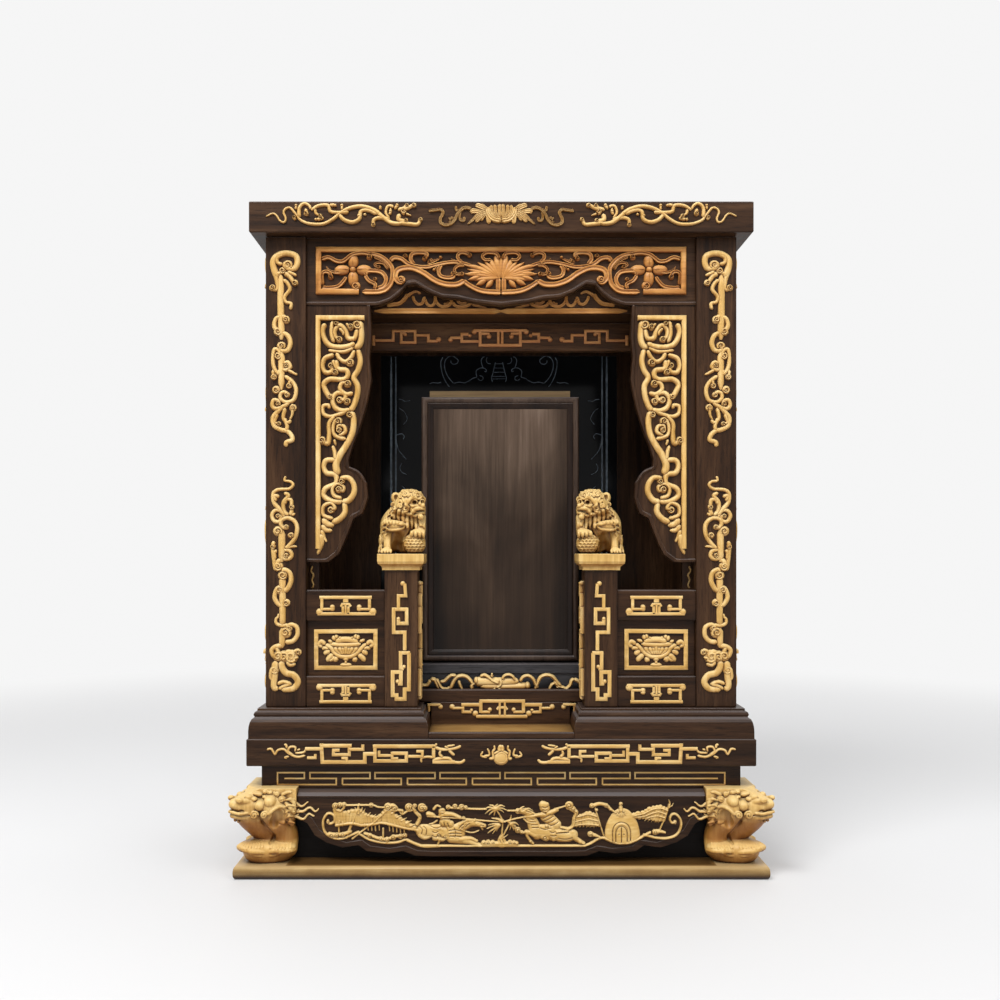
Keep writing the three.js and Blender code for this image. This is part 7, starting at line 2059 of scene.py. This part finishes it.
def sculpt_foot(top, lion):
    """A cabriole foot for a corner: x runs out along the front, -y out towards the viewer and
    z up from the ground board, in millimetres from the foot's inner corner. The shape is the
    same on both sides of the diagonal. With lion set, its knee is a lion's head."""
    reach = FOOT_REACH
    clay = Clay((0, -reach, 0), (reach, 0, top), FOOT_STEP)

    def both(method, centre, *args, **kw):
        getattr(clay, method)(centre, *args, **kw)
        if method == "ball":
            turned = dict(kw)
            turned["turn"] = -90 - kw.get("turn", 0)
            clay.ball((-centre[1], -centre[0], centre[2]), *args, **turned)
        else:
            clay.limb([(-p[1], -p[0], p[2]) for p in centre], *args, **kw)

    def face(points, lift):
        """Points x, z laid on the side that faces the viewer."""
        line = []
        for x, z in points:
            y = clay.depth(x, z)
            if y is None or y > -30:
                y = line[-1][1] + lift if line else -44
            line.append((x, y - lift, z))
        return line

    # Leg: two shins side by side with a groove down between them, curving in to the ankle
    both("limb", [(24, -43, 50), (20, -40, 40), (15, -35, 30), (12, -33, 22), (12, -34, 12)],
         (12, 11.5, 10.5, 10, 10), 2.0)
    clay.limb([(44, -44, 50), (41, -41, 42), (35, -35, 33), (29.5, -29.5, 24), (29, -29, 12)],
              (13, 12.5, 12, 11.5, 12), 2.0)
    clay.limb([(18, -18, 60), (17, -17, 30), (18, -18, 8)], (16, 14, 14), 4.0)
    # Paw: a bowl that narrows to the board, with a puffed collar of fur over each half of it
    clay.limb([(13, -36, 5.0), (26, -39, 5.0), (37, -37, 5.0), (39, -26, 5.0), (36, -13, 5.0)],
              (6.4, 7.6, 8.4, 7.6, 6.4), 3.0)
    clay.limb([(8, -37.5, 10.4), (26, -41, 10.4), (40, -40, 10.4), (41, -26, 10.4), (37.5, -8, 10.4)],
              (6.4, 7.4, 8.4, 7.4, 6.4), 3.0)
    both("ball", (14.2, -42.4, 13.4), (13.0, 8.2, 4.6), soft=1.0)
    both("ball", (39.0, -43.4, 14.2), (13.4, 9.0, 5.0), tilt=6, soft=1.0)
    both("limb",
         [(1.8, -43.0, 11.4), (7.0, -48.4, 11.8), (14, -50.6, 12.8), (20, -49.6, 12.2), (25.6, -47.0, 9.8)],
         (1.2, 1.9, 2.2, 1.9, 1.0), 0.9)
    both("limb",
         [(26.4, -47.0, 9.8), (32, -50.4, 11.4), (39, -52.4, 12.8), (46, -51.4, 14.4), (51.6, -47.0, 15.8)],
         (1.0, 1.9, 2.3, 2.3, 1.6), 0.9)
    for i in range(8):
        t = (i + 0.5) / 8
        both("limb", face([(4.6 + 19 * t, 17.4), (3.6 + 21 * t, 14.6)], -0.15), (0.5, 0.8), 0.6)
        both("limb", face([(29.6 + 18 * t, 18.6), (28.6 + 21 * t, 15.4)], -0.15), (0.5, 0.8), 0.6)
    both("limb", face([(14, 11.4), (18, 8.8), (23, 7.6)], -0.1), (0.5, 1.2, 0.6), 1.4)
    both("limb", face([(31, 8.0), (36, 8.8), (41, 10.8)], -0.1), (0.5, 1.2, 0.6), 1.4)
    if not lion:
        both("limb", [(28, -42, top - 7), (26, -42, top - 16), (22, -39, top - 30)], (13, 14, 11), 3.0)
        clay.limb([(45, -45, top - 10), (44, -44, top - 20), (38, -38, top - 34)], (10, 12, 9), 4.0)
        clay.hull([((0, 0, 1), 5), ((0, 0, -1), 5), ((1, 0, 0), 26), ((0, -1, 0), 26), ((-1, 0, 0), 30),
                   ((0, 1, 0), 30), ((1, -1, 0), 33)], (26, -26, top - 4.6), 40, 2.0)
        for x in (12, 24, 36):
            clay.draw([(x, top - 14), (x + 3, top - 20), (x + 1.5, top - 27)], (0.4, 0.8, 0.4), -0.2, 0.5,
                      remove=True)
        return clay.mesh()
    # Head: a block that slopes from the waist down to the muzzle on the corner
    clay.hull([((0, 0, 1), 9.6), ((0, 0, -1), 11), ((1, 0, 0), 20), ((0, -1, 0), 20), ((1, -1, 0), 24),
               ((-1, 0, 0), 27), ((0, 1, 0), 27), ((1, -1, 2.4), 17.5)], (27, -27, 58), 44, 4.0)
    clay.ball((45, -45, 54), (13, 12, 8.5), turn=-45, soft=3.0)
    both("ball", (49, -52, 53.5), (7.5, 6.5, 5.4), soft=2.0)
    clay.ball((53, -53, 55.5), (6.5, 6.2, 5.0), turn=-45, soft=1.5)
    both("limb", [(50.5, -57, 57.5), (45, -56.4, 58.6), (40.5, -54, 57.5)], (1.6, 2.0, 1.2), 1.4)
    both("ball", (46.8, -58.6, 50.2), (2.3, 2.2, 1.2), tilt=14, soft=0.5, remove=True)
    # Mouth: a curled upper lip, a row of teeth under it and the lower lip
    clay.limb([(40, -56, 45.6), (50, -58.6, 46.6), (57, -57, 47.4), (58.6, -50, 46.6), (56, -40, 45.6)],
              (0.8, 1.0, 1.0, 1.0, 0.8), 0.4, remove=True)
    clay.limb([(41, -53, 42.6), (48, -56, 44.2), (55, -55, 45.6), (56, -48, 44.2), (53, -41, 42.6)],
              (1.8, 2.2, 2.3, 2.2, 1.8), 0.8)
    both("limb", [(42, -57, 48.2), (48, -59, 48.0), (56, -57.8, 49.4)], (1.0, 1.4, 1.4), 0.6)
    for x in (38.4, 41.6, 44.8, 47.8, 50.6):
        both("ball", (x, -52.6 - (x - 38) * 0.12, 40.6), (1.3, 1.6, 1.7), soft=0.3)
    # Eyeball, cheek ball and the bumps of the brow, seen from each side
    both("ball", (23.3, -48.6, 56.4), (6.0, 7.6, 5.8), soft=0.5)
    both("ball", (32.0, -50.6, 53.4), (5.4, 6.6, 5.2), soft=0.5)
    for x, z, rx, rz, tilt in ((48.6, 60.0, 3.6, 2.4, 12), (42.0, 61.0, 3.6, 3.0, 0),
                               (34.6, 62.6, 4.6, 2.4, 8), (28.2, 60.6, 2.4, 1.8, 0),
                               (37.0, 59.4, 3.0, 2.2, 0)):
        y = clay.depth(x, z)
        both("ball", (x, (-50 if y is None else y) - 0.4, z), (rx, 3.0, rz), tilt=tilt, soft=0.6)
    # Lip ribbon that rises over the hollow of the cheek and drops down the inner edge
    for centre, radii in (((17.6, -50.6, 46.0), (4.6, 3.4, 4.8)), ((14.6, -50.2, 42.0), (4.0, 3.6, 6.0)),
                          ((19.6, -50.0, 39.0), (3.6, 4.0, 6.0))):
        both("ball", centre, radii, soft=2.4, remove=True)
    both("limb", [(5.5, -43.0, 62), (5.5, -43.5, 48), (5.8, -42.5, 38)], (5.2, 4.6, 3.0), 1.0)
    for points, radii, lift in (([(23.0, 46.6), (20.4, 49.4), (17.4, 51.6), (13.4, 52.2), (9.6, 50.4),
                                  (8.4, 45.8), (9.6, 41.4), (7.6, 38), (3.6, 34.8)],
                                 (1.2, 1.5, 1.6, 1.6, 1.3), 0.6),
                                ([(6.4, 44.6), (6.0, 40), (3.4, 36.4)], (1.4, 1.5, 1.2), 0.4),
                                ([(15.6, 38), (11.4, 37.4)], (0.9, 1.9), 0.5),
                                ([(8.6, 54.4), (4.6, 50.6), (2.2, 46)], (2.2, 2.2, 1.6), 0.4),
                                ([(5.4, 58.4), (2.4, 55), (1.4, 50)], (1.6, 1.8, 1.4), 0.6),
                                ([(12.4, 62.4), (8.2, 64.4), (4.6, 64.8)], (1.4, 1.5, 0.9), 0.8)):
        both("limb", face(points, lift), radii, 0.4)
    # Strands of the mane that sweep back to the inner edge
    for i in range(5):
        z = 60 - 5.2 * i
        both("limb", face([(10.5 - 0.6 * i, z - 3.2), (6.2, z - 1.0), (1.6, z - 2.2)], 0.5), (0.6, 1.1, 0.7),
             0.35)
    # Small curls of the mane, then the two spirals of the lip, standing proud
    for x, z, r, turn in ((17.8, 62.8, 2.6, 30), (13.0, 58.2, 3.0, 200), (23.6, 64.2, 2.0, 20),
                          (28.4, 64.6, 1.8, 200), (36.0, 46.0, 3.6, 170), (27.2, 46.0, 3.3, 170)):
        y = clay.depth(x, z)
        y = -48 if y is None else y
        if z < 50:
            y = min(y, -50.0)
            both("ball", (x, y + 2.2, z), (r + 0.4, 3.0, r + 0.4), soft=0.5)
            y -= 0.6
        line = []
        for i in range(16):
            t = i / 15
            angle = math.radians(turn) - t * 1.6 * 2 * math.pi
            spread = r * (1 - 0.86 * t)
            line.append((x + math.cos(angle) * spread, y - 0.5 - 1.2 * t, z + math.sin(angle) * spread))
        both("limb", line, (0.95, 0.8), 0.2)
    both("limb", [(33.6, -50, 40.5), (33.0, -47, 36)], (2.4, 1.4), 0.8)
    # Groove between the shins
    clay.draw([(30, 39), (26, 33), (21, 26), (22, 21), (24.4, 17.4)], (1.4, 1.3, 1.2, 0.9), -0.3, 1.4,
              remove=True)
    return clay.mesh()


PLINTH_TOP = 15.0
LION_SEAT = 0.2


def loft_faces(levels, closed=False):
    """Faces between loops of four corners: capped at both ends, or joined last to first."""
    faces = [] if closed else [(3, 2, 1, 0), tuple(4 * (levels - 1) + k for k in range(4))]
    for r in range(levels if closed else levels - 1):
        n = (r + 1) % levels
        faces += [(4 * r + k, 4 * r + (k + 1) % 4, 4 * n + (k + 1) % 4, 4 * n + k) for k in range(4)]
    return faces


def loft_block(name, centre, levels, material):
    """A square block turned into mouldings: (half width, height) at each level, in millimetres."""
    verts = [(centre[0] + sx * half * MM, centre[1] + sy * half * MM, centre[2] + z * MM)
             for half, z in levels for sx, sy in ((-1, -1), (1, -1), (1, 1), (-1, 1))]
    return make_piece(name, verts, loft_faces(len(levels)), material, angle=25)


PLINTH_LEVELS = [(17.2, 0), (17.2, 2.2), (17.5, 3.0), (18.3, 4.0), (19.6, 5.0), (20.8, 5.9), (21.0, 7.4),
                 (21.25, 7.8), (21.25, 14.4), (20.8, 14.9)]


def clay_piece(name, data, placed, material):
    """A sculpted piece, smooth all over, with each of its points put in place."""
    verts, faces = data
    return make_piece(name, [placed(v) for v in verts], faces.tolist(), material, angle=180)


def build_lions():
    data = sculpt_lion()
    for side, node in ((1, "left_guardian_lion"), (-1, "right_guardian_lion")):
        newel_low, newel_high = shown(node.replace("guardian_lion", "newel"))
        centre = ((newel_low.x + newel_high.x) / 2, (newel_low.y + newel_high.y) / 2, shown(node)[0].z)

        def placed(v):
            z = centre[2] + (PLINTH_TOP - LION_SEAT + v[2]) * MM
            return centre[0] + side * v[0] * MM, centre[1] + v[1] * MM, z

        lion = clay_piece(node + "_carved", data, placed, LIME)
        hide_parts(node)
        loft_block(node + "_plinth", centre, PLINTH_LEVELS, LIME)


def build_feet():
    for nodes, top, head in ((("foot_front_left", "foot_front_right"), 68.0, True),
                             (("foot_rear_left", "foot_rear_right"), 64.6, False)):
        data = sculpt_foot(top, head)
        for node in nodes:
            low, high = shown(node)
            side_x = -1 if "left" in node else 1
            side_y = 1 if "front" in node else -1
            inner_x = high.x if side_x < 0 else low.x
            inner_y = high.y if side_y > 0 else low.y
            deepest = max(abs(v[1]) for v in data[0]) * MM
            fit = min(1.0, (high.y - low.y) / deepest)

            def placed(v):
                x = inner_x + side_x * v[0] * MM * fit
                return x, inner_y + side_y * v[1] * MM * fit, low.z + v[2] * MM

            foot = clay_piece(node + "_carved", data, placed, FOOT)
            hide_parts(node)


# A field of photograph pixels, so that a line traced there keeps its pixel coordinates


class Traced:
    """Lines traced in pixels and mirrored about the shrine's middle, laid on one upright plane."""

    def __init__(self, y, shift=0.0):
        self.y = y
        self.shift = shift
        self.box = (300.0, 300.0, 502.0, 700.0)
        self.relief = front_field(self.box, y)

    def share(self, point):
        x0, y0, x1, y1 = self.box
        return (point[0] + self.shift - x0) / (x1 - x0), (point[1] - y0) / (y1 - y0)

    def line(self, widths, points, height, profile=ROUND):
        """Widths in pixels."""
        unit = self.box[3] - self.box[1]
        self.relief.stroke([w / unit for w in widths], [self.share(p) for p in points], height, profile)


ETCH_SHIFT = 3.2
ETCH_HEIGHT = 0.05 * MM
ETCH_LINES = [  # width in pixels, traced points
    (2.0, [(388.0, 355), (388.0, 470), (388.0, 560), (388.0, 640)]),
    (1.5, [(392.6, 355), (392.6, 470), (392.6, 560), (392.6, 640)]),
    (0.8, [(439.7, 357.2), (437.7, 361.7), (438, 368), (440, 376.3), (443.8, 383.8), (446.3, 386.7)]),
    (0.8, [(447.7, 360.5), (448, 362.7), (450.5, 364.3), (453.8, 363.3), (455, 360.5), (452.7, 358),
           (448.8, 356), (445, 357.2), (442.2, 360.5), (441.3, 366.3), (443, 373), (446.3, 378.8),
           (450.5, 383.3)]),
    (0.8, [(450.5, 383.3), (456.3, 382.2), (461.3, 382.7), (466.3, 380.5), (469.7, 378.3), (473.8, 377.2)]),
    (0.8, [(473.8, 377.2), (473, 373.8), (473.3, 370.5), (476.3, 368.3), (480, 368), (483, 369.7),
           (482.7, 371.7), (481, 371)]),
    (0.8, [(476.3, 375.5), (479.3, 376.7), (479.7, 379.3), (477.2, 380.5), (474.7, 378.8)]),
    (0.7, [(480, 368), (478.7, 364.7), (478, 360.5), (479.3, 357.7), (481.3, 356.7)]),
    (0.7, [(483.8, 357.2), (483, 360.5), (484.7, 363.3), (487.7, 363.8)]),
    (0.8, [(492.2, 362.2), (491.3, 366.3), (489.7, 373), (488.3, 378), (489.3, 382.2)]),
    (0.6, [(491.8, 363.8), (497.2, 363.8)]), (0.6, [(491, 368), (497.2, 368)]),
    (0.6, [(489.8, 372.2), (497.2, 372.2)]), (0.6, [(488.8, 376.3), (497.2, 376.3)]),
    (0.6, [(488.4, 378.8), (497.2, 378.8)]),
    (0.7, [(426.3, 383.8), (429.7, 382.7), (434.7, 383), (438, 382.2)]),
    (0.7, [(395.5, 399.3), (398.8, 399.7), (402.2, 401.3), (407.2, 400.5)]),
    (0.8, [(400, 439.3), (401, 436.3), (398.8, 433.8), (395.5, 434.3), (393, 435.5), (393, 438),
           (393.8, 444.7), (396.3, 451.3), (401.3, 457.2), (403.8, 459.7)]),
    (0.7, [(398.8, 463), (396.7, 468), (398.8, 472.2), (403.8, 474.7)]),
    (0.5, [(396, 408), (401, 412), (404, 419), (400, 425)]),
    (0.7, [(399, 486), (404, 492), (403, 500), (397, 503)]),
    (0.7, [(397, 515), (403, 520), (405, 529), (400, 536)]),
]


def build_etching():
    traced = Traced(shown("back_glass")[0].y, ETCH_SHIFT)
    for width, points in ETCH_LINES:
        traced.line((width, width), points, ETCH_HEIGHT)
    traced.relief.pair("etching_left", "etching_right", ETCHED, "black_glass")


RIBBON_SCALE, RIBBON_X, RIBBON_Y = 9, 418, 664
RIBBON_LINES = [  # widths, then points as counted on a ninefold enlargement
    (26, 30, [(30, 188), (80, 190), (104, 160), (116, 138)]),
    (34, 24, [(112, 136), (146, 140), (168, 175), (192, 236)]),
    (24, 26, [(165, 132), (188, 170), (215, 215), (262, 224), (292, 205)]),
    (28, 26, [(292, 232), (312, 175), (345, 122), (392, 104), (440, 116), (474, 150), (494, 184)]),
    (24, 26, [(200, 158), (240, 152), (268, 124), (300, 102), (345, 104)]),
    (24, 20, [(366, 146), (376, 180), (398, 236)]), (30, 22, [(488, 236), (486, 190), (512, 172)]),
    (96, 74, [(508, 160), (600, 162), (700, 162), (800, 160), (905, 154)]),
    (70, 84, [(560, 200), (680, 206), (800, 210), (900, 208), (985, 200)]),
    (22, 34, [(560, 112), (596, 98), (634, 118), (676, 150), (730, 172)]),
    (28, 28, [(732, 132), (746, 158), (738, 192), (700, 214)]), (24, 18, [(700, 210), (664, 236)]),
    (22, 18, [(716, 208), (752, 234)]), (26, 20, [(664, 116), (666, 92)]),
    (22, 22, [(758, 138), (776, 106), (816, 94), (854, 112), (872, 148)]),
    (24, 26, [(918, 158), (944, 118), (988, 104), (1032, 130), (1058, 180), (1076, 220)]),
    (26, 28, [(1056, 232), (1076, 168), (1106, 116), (1158, 98), (1212, 114), (1250, 160), (1284, 200)]),
    (40, 30, [(1226, 150), (1256, 188), (1300, 216)]),
    (28, 26, [(1284, 202), (1332, 220), (1368, 190), (1384, 146), (1408, 134)]),
    (32, 20, [(1400, 136), (1436, 150), (1462, 180), (1510, 190)]),
    (24, 22, [(1182, 236), (1202, 186), (1234, 168)]), (24, 20, [(1240, 206), (1280, 204), (1320, 226)]),
]


RIBBON_KNOBS = [(985, 200, 44), (524, 150, 36), (666, 96, 17)]
SCROLL_LEAST = 60


def ribbon_share(px, py):
    x0, y0, x1, y1 = RIBBON_PX
    return (RIBBON_X + px / RIBBON_SCALE - x0) / (x1 - x0), (RIBBON_Y + py / RIBBON_SCALE - y0) / (y1 - y0)


def build_ribbon():
    low, high = shown("ribbon_scroll")
    back = high.y
    deep = high.y - low.y
    relief = front_field(RIBBON_PX, back)
    unit = RIBBON_PX[3] - RIBBON_PX[1]
    for first, last, points in RIBBON_LINES:
        shares = [ribbon_share(*p) for p in points]
        flat = min(first, last) > SCROLL_LEAST
        wide = 1.0 if flat else 1.22
        relief.stroke((first * wide / RIBBON_SCALE / unit, last * wide / RIBBON_SCALE / unit), shares,
                      deep * (0.8 if flat else 0.98), ROUND)
    for px, py, r in RIBBON_KNOBS:
        u, v = ribbon_share(px, py)
        relief.dome(u, v, r / RIBBON_SCALE / unit * relief.unit * 0.6, r / RIBBON_SCALE / unit * relief.unit,
                    0, deep * 0.95)
    for i, v in enumerate(relief.verts):
        relief.verts[i] = Vector((v.x, v.y, min(high.z, max(low.z, v.z))))
    ribbon = relief.piece("tied_ribbon", GOLD, "carved_wood")
    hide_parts("ribbon_scroll")


INNER_LINES = [  # widths in pixels, traced points
    (3.2, 3.4, [(387, 306), (393, 305), (400, 303.5), (405, 299), (408, 294)]),
    (3, 1.6, [(407, 297), (411, 294), (416, 292), (421, 294)]),
    (2.4, 2.4, [(413, 296), (414.5, 301), (418, 304.5), (422.5, 303.5), (424, 299), (426, 298)]),
    (2.4, 2.4, [(425, 299), (427, 304), (430.5, 306.3), (434, 304.5), (435.5, 299), (434, 296.5)]),
    (2.6, 2.6, [(435, 300), (438.5, 305), (443, 307), (448.5, 306), (451.5, 302), (450.5, 299.5)]),
    (2.0, 1.4, [(444, 303.5), (446, 304.5), (449, 302)]),
    (2.6, 2.6, [(452, 302), (455.5, 306), (461, 307.3), (467.5, 306), (471.5, 303)]),
    (2.2, 2.2, [(457, 301), (461, 304), (467, 303.5)]), (2.6, 1.2, [(472, 304.5), (480, 307), (487, 308.2)]),
    (2.2, 1.4, [(455, 300), (462, 298.5), (470, 299.5)]),
    (4.2, 4.6, [(374.5, 311.2), (420, 311.2), (460, 311.3), (503, 311.4)]),
]
PILASTER_LINES = [
    (2.2, 1.6, [(312.5, 566), (311, 571), (313.5, 575), (312, 580), (313.5, 585), (312, 589)]),
]


def build_inner_curtain():
    traced = Traced(shown("inner_lambrequin")[0].y)
    for first, last, points in INNER_LINES:
        traced.line((first * 1.25, last * 1.25), points, FRET, CUPPED)
    traced.relief.pair("inner_scroll_left", "inner_scroll_right", SHADED_GOLD, "carved_wood")
    curls = Traced(shown("left_inner_pilaster")[0].y)
    for first, last, points in PILASTER_LINES:
        curls.line((first, last), points, FRET)
    curls.relief.pair("pilaster_curl_left", "pilaster_curl_right", GOLD_UP, "carved_wood")


# Wavy edges of the curtain boards, in shares of the half span and drop, then of the side
# board's width and drop
TOP_EDGE = [(0.0, 1.0), (0.18, 1.0), (0.355, 1.0), (0.385, 0.98), (0.43, 0.93), (0.475, 0.83), (0.515, 0.70),
            (0.56, 0.68), (0.63, 0.80), (0.70, 0.88), (0.78, 0.90), (0.865, 0.955), (1.0, 1.0)]
SIDE_EDGE = [(1.0, 0.0), (1.02, 0.12), (0.99, 0.20), (1.02, 0.29), (0.93, 0.40), (0.83, 0.48), (0.72, 0.55),
             (0.66, 0.60), (0.67, 0.63), (0.83, 0.65), (0.94, 0.69), (0.96, 0.75), (0.88, 0.81), (0.74, 0.83),
             (0.66, 0.88), (0.58, 0.93), (0.50, 0.97), (0.34, 1.0), (0.0, 1.0)]
APRON_EDGE = [(0.0, 0.66), (0.05, 0.56), (0.085, 0.36), (0.14, 0.24), (0.22, 0.15), (0.30, 0.19),
              (0.34, 0.09), (0.44, 0.05), (0.52, 0.09), (0.58, 0.01), (0.66, 0.0), (0.83, 0.0), (1.0, 0.0)]
APRON_BEAD = 4.6 * MM
EDGE_BEAD = 3.4 * MM
EDGE_RISE = 1.55 * MM
SIDE_DROP = 236 * MM
SIDE_WIDTH = 58.5 * MM
BOARD_SET = 1.6 * MM


def build_edge_beads():
    low, high = shown("top_lambrequin")
    face = low.y + BOARD_SET
    top = Relief((low.x, face, high.z), (-low.x, 0, 0), (0, 0, low.z - high.z), (0, -1, 0))
    inset = EDGE_BEAD / 2 / top.unit
    bead = EDGE_BEAD / top.unit
    top.stroke((bead, bead), [(u, v - inset) for u, v in TOP_EDGE], EDGE_RISE, per_span=6, blunt=False)
    top.pair("top_edge_left", "top_edge_right", DARK_X, "dark_wood")
    low, high = shown("left_lambrequin")
    side = Relief((low.x, face, high.z), (SIDE_WIDTH, 0, 0), (0, 0, -SIDE_DROP), (0, -1, 0))
    bead = EDGE_BEAD / side.unit
    inset_u = EDGE_BEAD / 2 / SIDE_WIDTH
    inset_v = EDGE_BEAD / 2 / SIDE_DROP
    line = [(max(0.01, u - inset_u), v if v < 0.8 else v - inset_v) for u, v in SIDE_EDGE]
    side.stroke((bead, bead), line, EDGE_RISE, per_span=6, blunt=False)
    side.pair("side_edge_left", "side_edge_right", DARK_Z, "dark_wood")
    low, high = shown("front_apron")
    apron = Relief((low.x, low.y + APRON_SET, high.z), (-low.x, 0, 0), (0, 0, low.z - high.z), (0, -1, 0))
    bead = APRON_BEAD / apron.unit
    line = [(u + APRON_BEAD / 2 / -low.x * (1 - u), 1 - up - bead / 2) for u, up in APRON_EDGE]
    apron.stroke((bead, bead), line, 0.95 * MM, per_span=6, blunt=False)
    apron.pair("apron_edge_left", "apron_edge_right", DARK_LOW_SHADED, "dark_wood")


def frame_loops(name, outer, levels, material, body):
    """A mitred frame: (inset, depth) levels swept round an upright rectangle, closed on itself."""
    x0, z0, x1, z1 = outer
    verts = []
    for inset, y in levels:
        i = inset * MM
        verts += [(x0 + i, y, z0 + i), (x1 - i, y, z0 + i), (x1 - i, y, z1 - i), (x0 + i, y, z1 - i)]
    return make_piece(name, verts, loft_faces(len(levels), closed=True), material, body, 32)


def build_tablet_frame():
    low, high = shown("tablet_cover_frame")
    face, back = low.y, high.y
    outer = (low.x, low.z, high.x, high.z)
    levels = [(0, back), (0, face + 3.9 * MM), (0.2, face + 2.6 * MM), (0.8, face + 1.4 * MM),
              (1.8, face + 0.5 * MM), (3.0, face + 0.05 * MM), (4.2, face + 0.2 * MM),
              (5.3, face + 0.95 * MM), (6.1, face + 1.9 * MM), (6.6, face + 3.0 * MM), (6.6, back)]
    frame_piece = frame_loops("cover_bead", outer, levels, WALNUT_LIT_BEAD, "tablet_cover")
    slope = [(6.3, face + 1.3 * MM), (7.2, face + 1.2 * MM), (8.4, face + 1.7 * MM), (10.0, face + 2.5 * MM),
             (11.6, face + 3.3 * MM), (11.6, back), (6.3, back)]
    frame_loops("cover_slope", outer, slope, WALNUT_SHADED_SLOPE, "tablet_cover")
    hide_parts("tablet_cover_frame")


GROUND_LEVELS = [(2.6, 0.0), (1.2, 0.9), (0.3, 2.6), (0.0, 4.8), (0.1, 7.4), (0.4, 9.4), (0.95, 10.8),
                 (1.8, 11.6), (2.9, 12.0)]


def build_ground_board():
    low, high = shown("ground_board")
    verts = []
    for inset, z in GROUND_LEVELS:
        i = inset * MM
        for x, y in ((low.x + i, low.y + i), (high.x - i, low.y + i), (high.x - i, high.y - i),
                     (low.x + i, high.y - i)):
            verts.append((x, y, z * MM))
    board = make_piece("ground_board_rounded", verts, loft_faces(len(GROUND_LEVELS)), BOARD,
                       angle=60)
    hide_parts("ground_board")


dress_frame()
build_stage()
build_light()
build_camera()
build_cornice_carving()
build_post_carving()
build_slab_carving()
build_rail_carving()
build_newel_carving()
build_threshold_carving()
build_beam_carving()
build_waist_inlay()
build_top_carving()
build_side_carving()
build_apron_carving()
build_etching()
build_ribbon()
build_inner_curtain()
build_edge_beads()
build_tablet_frame()
build_ground_board()
build_lions()
build_feet()

{"cad": [list(corner) for corner in cad_box], "visual": [list(corner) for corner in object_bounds()]}
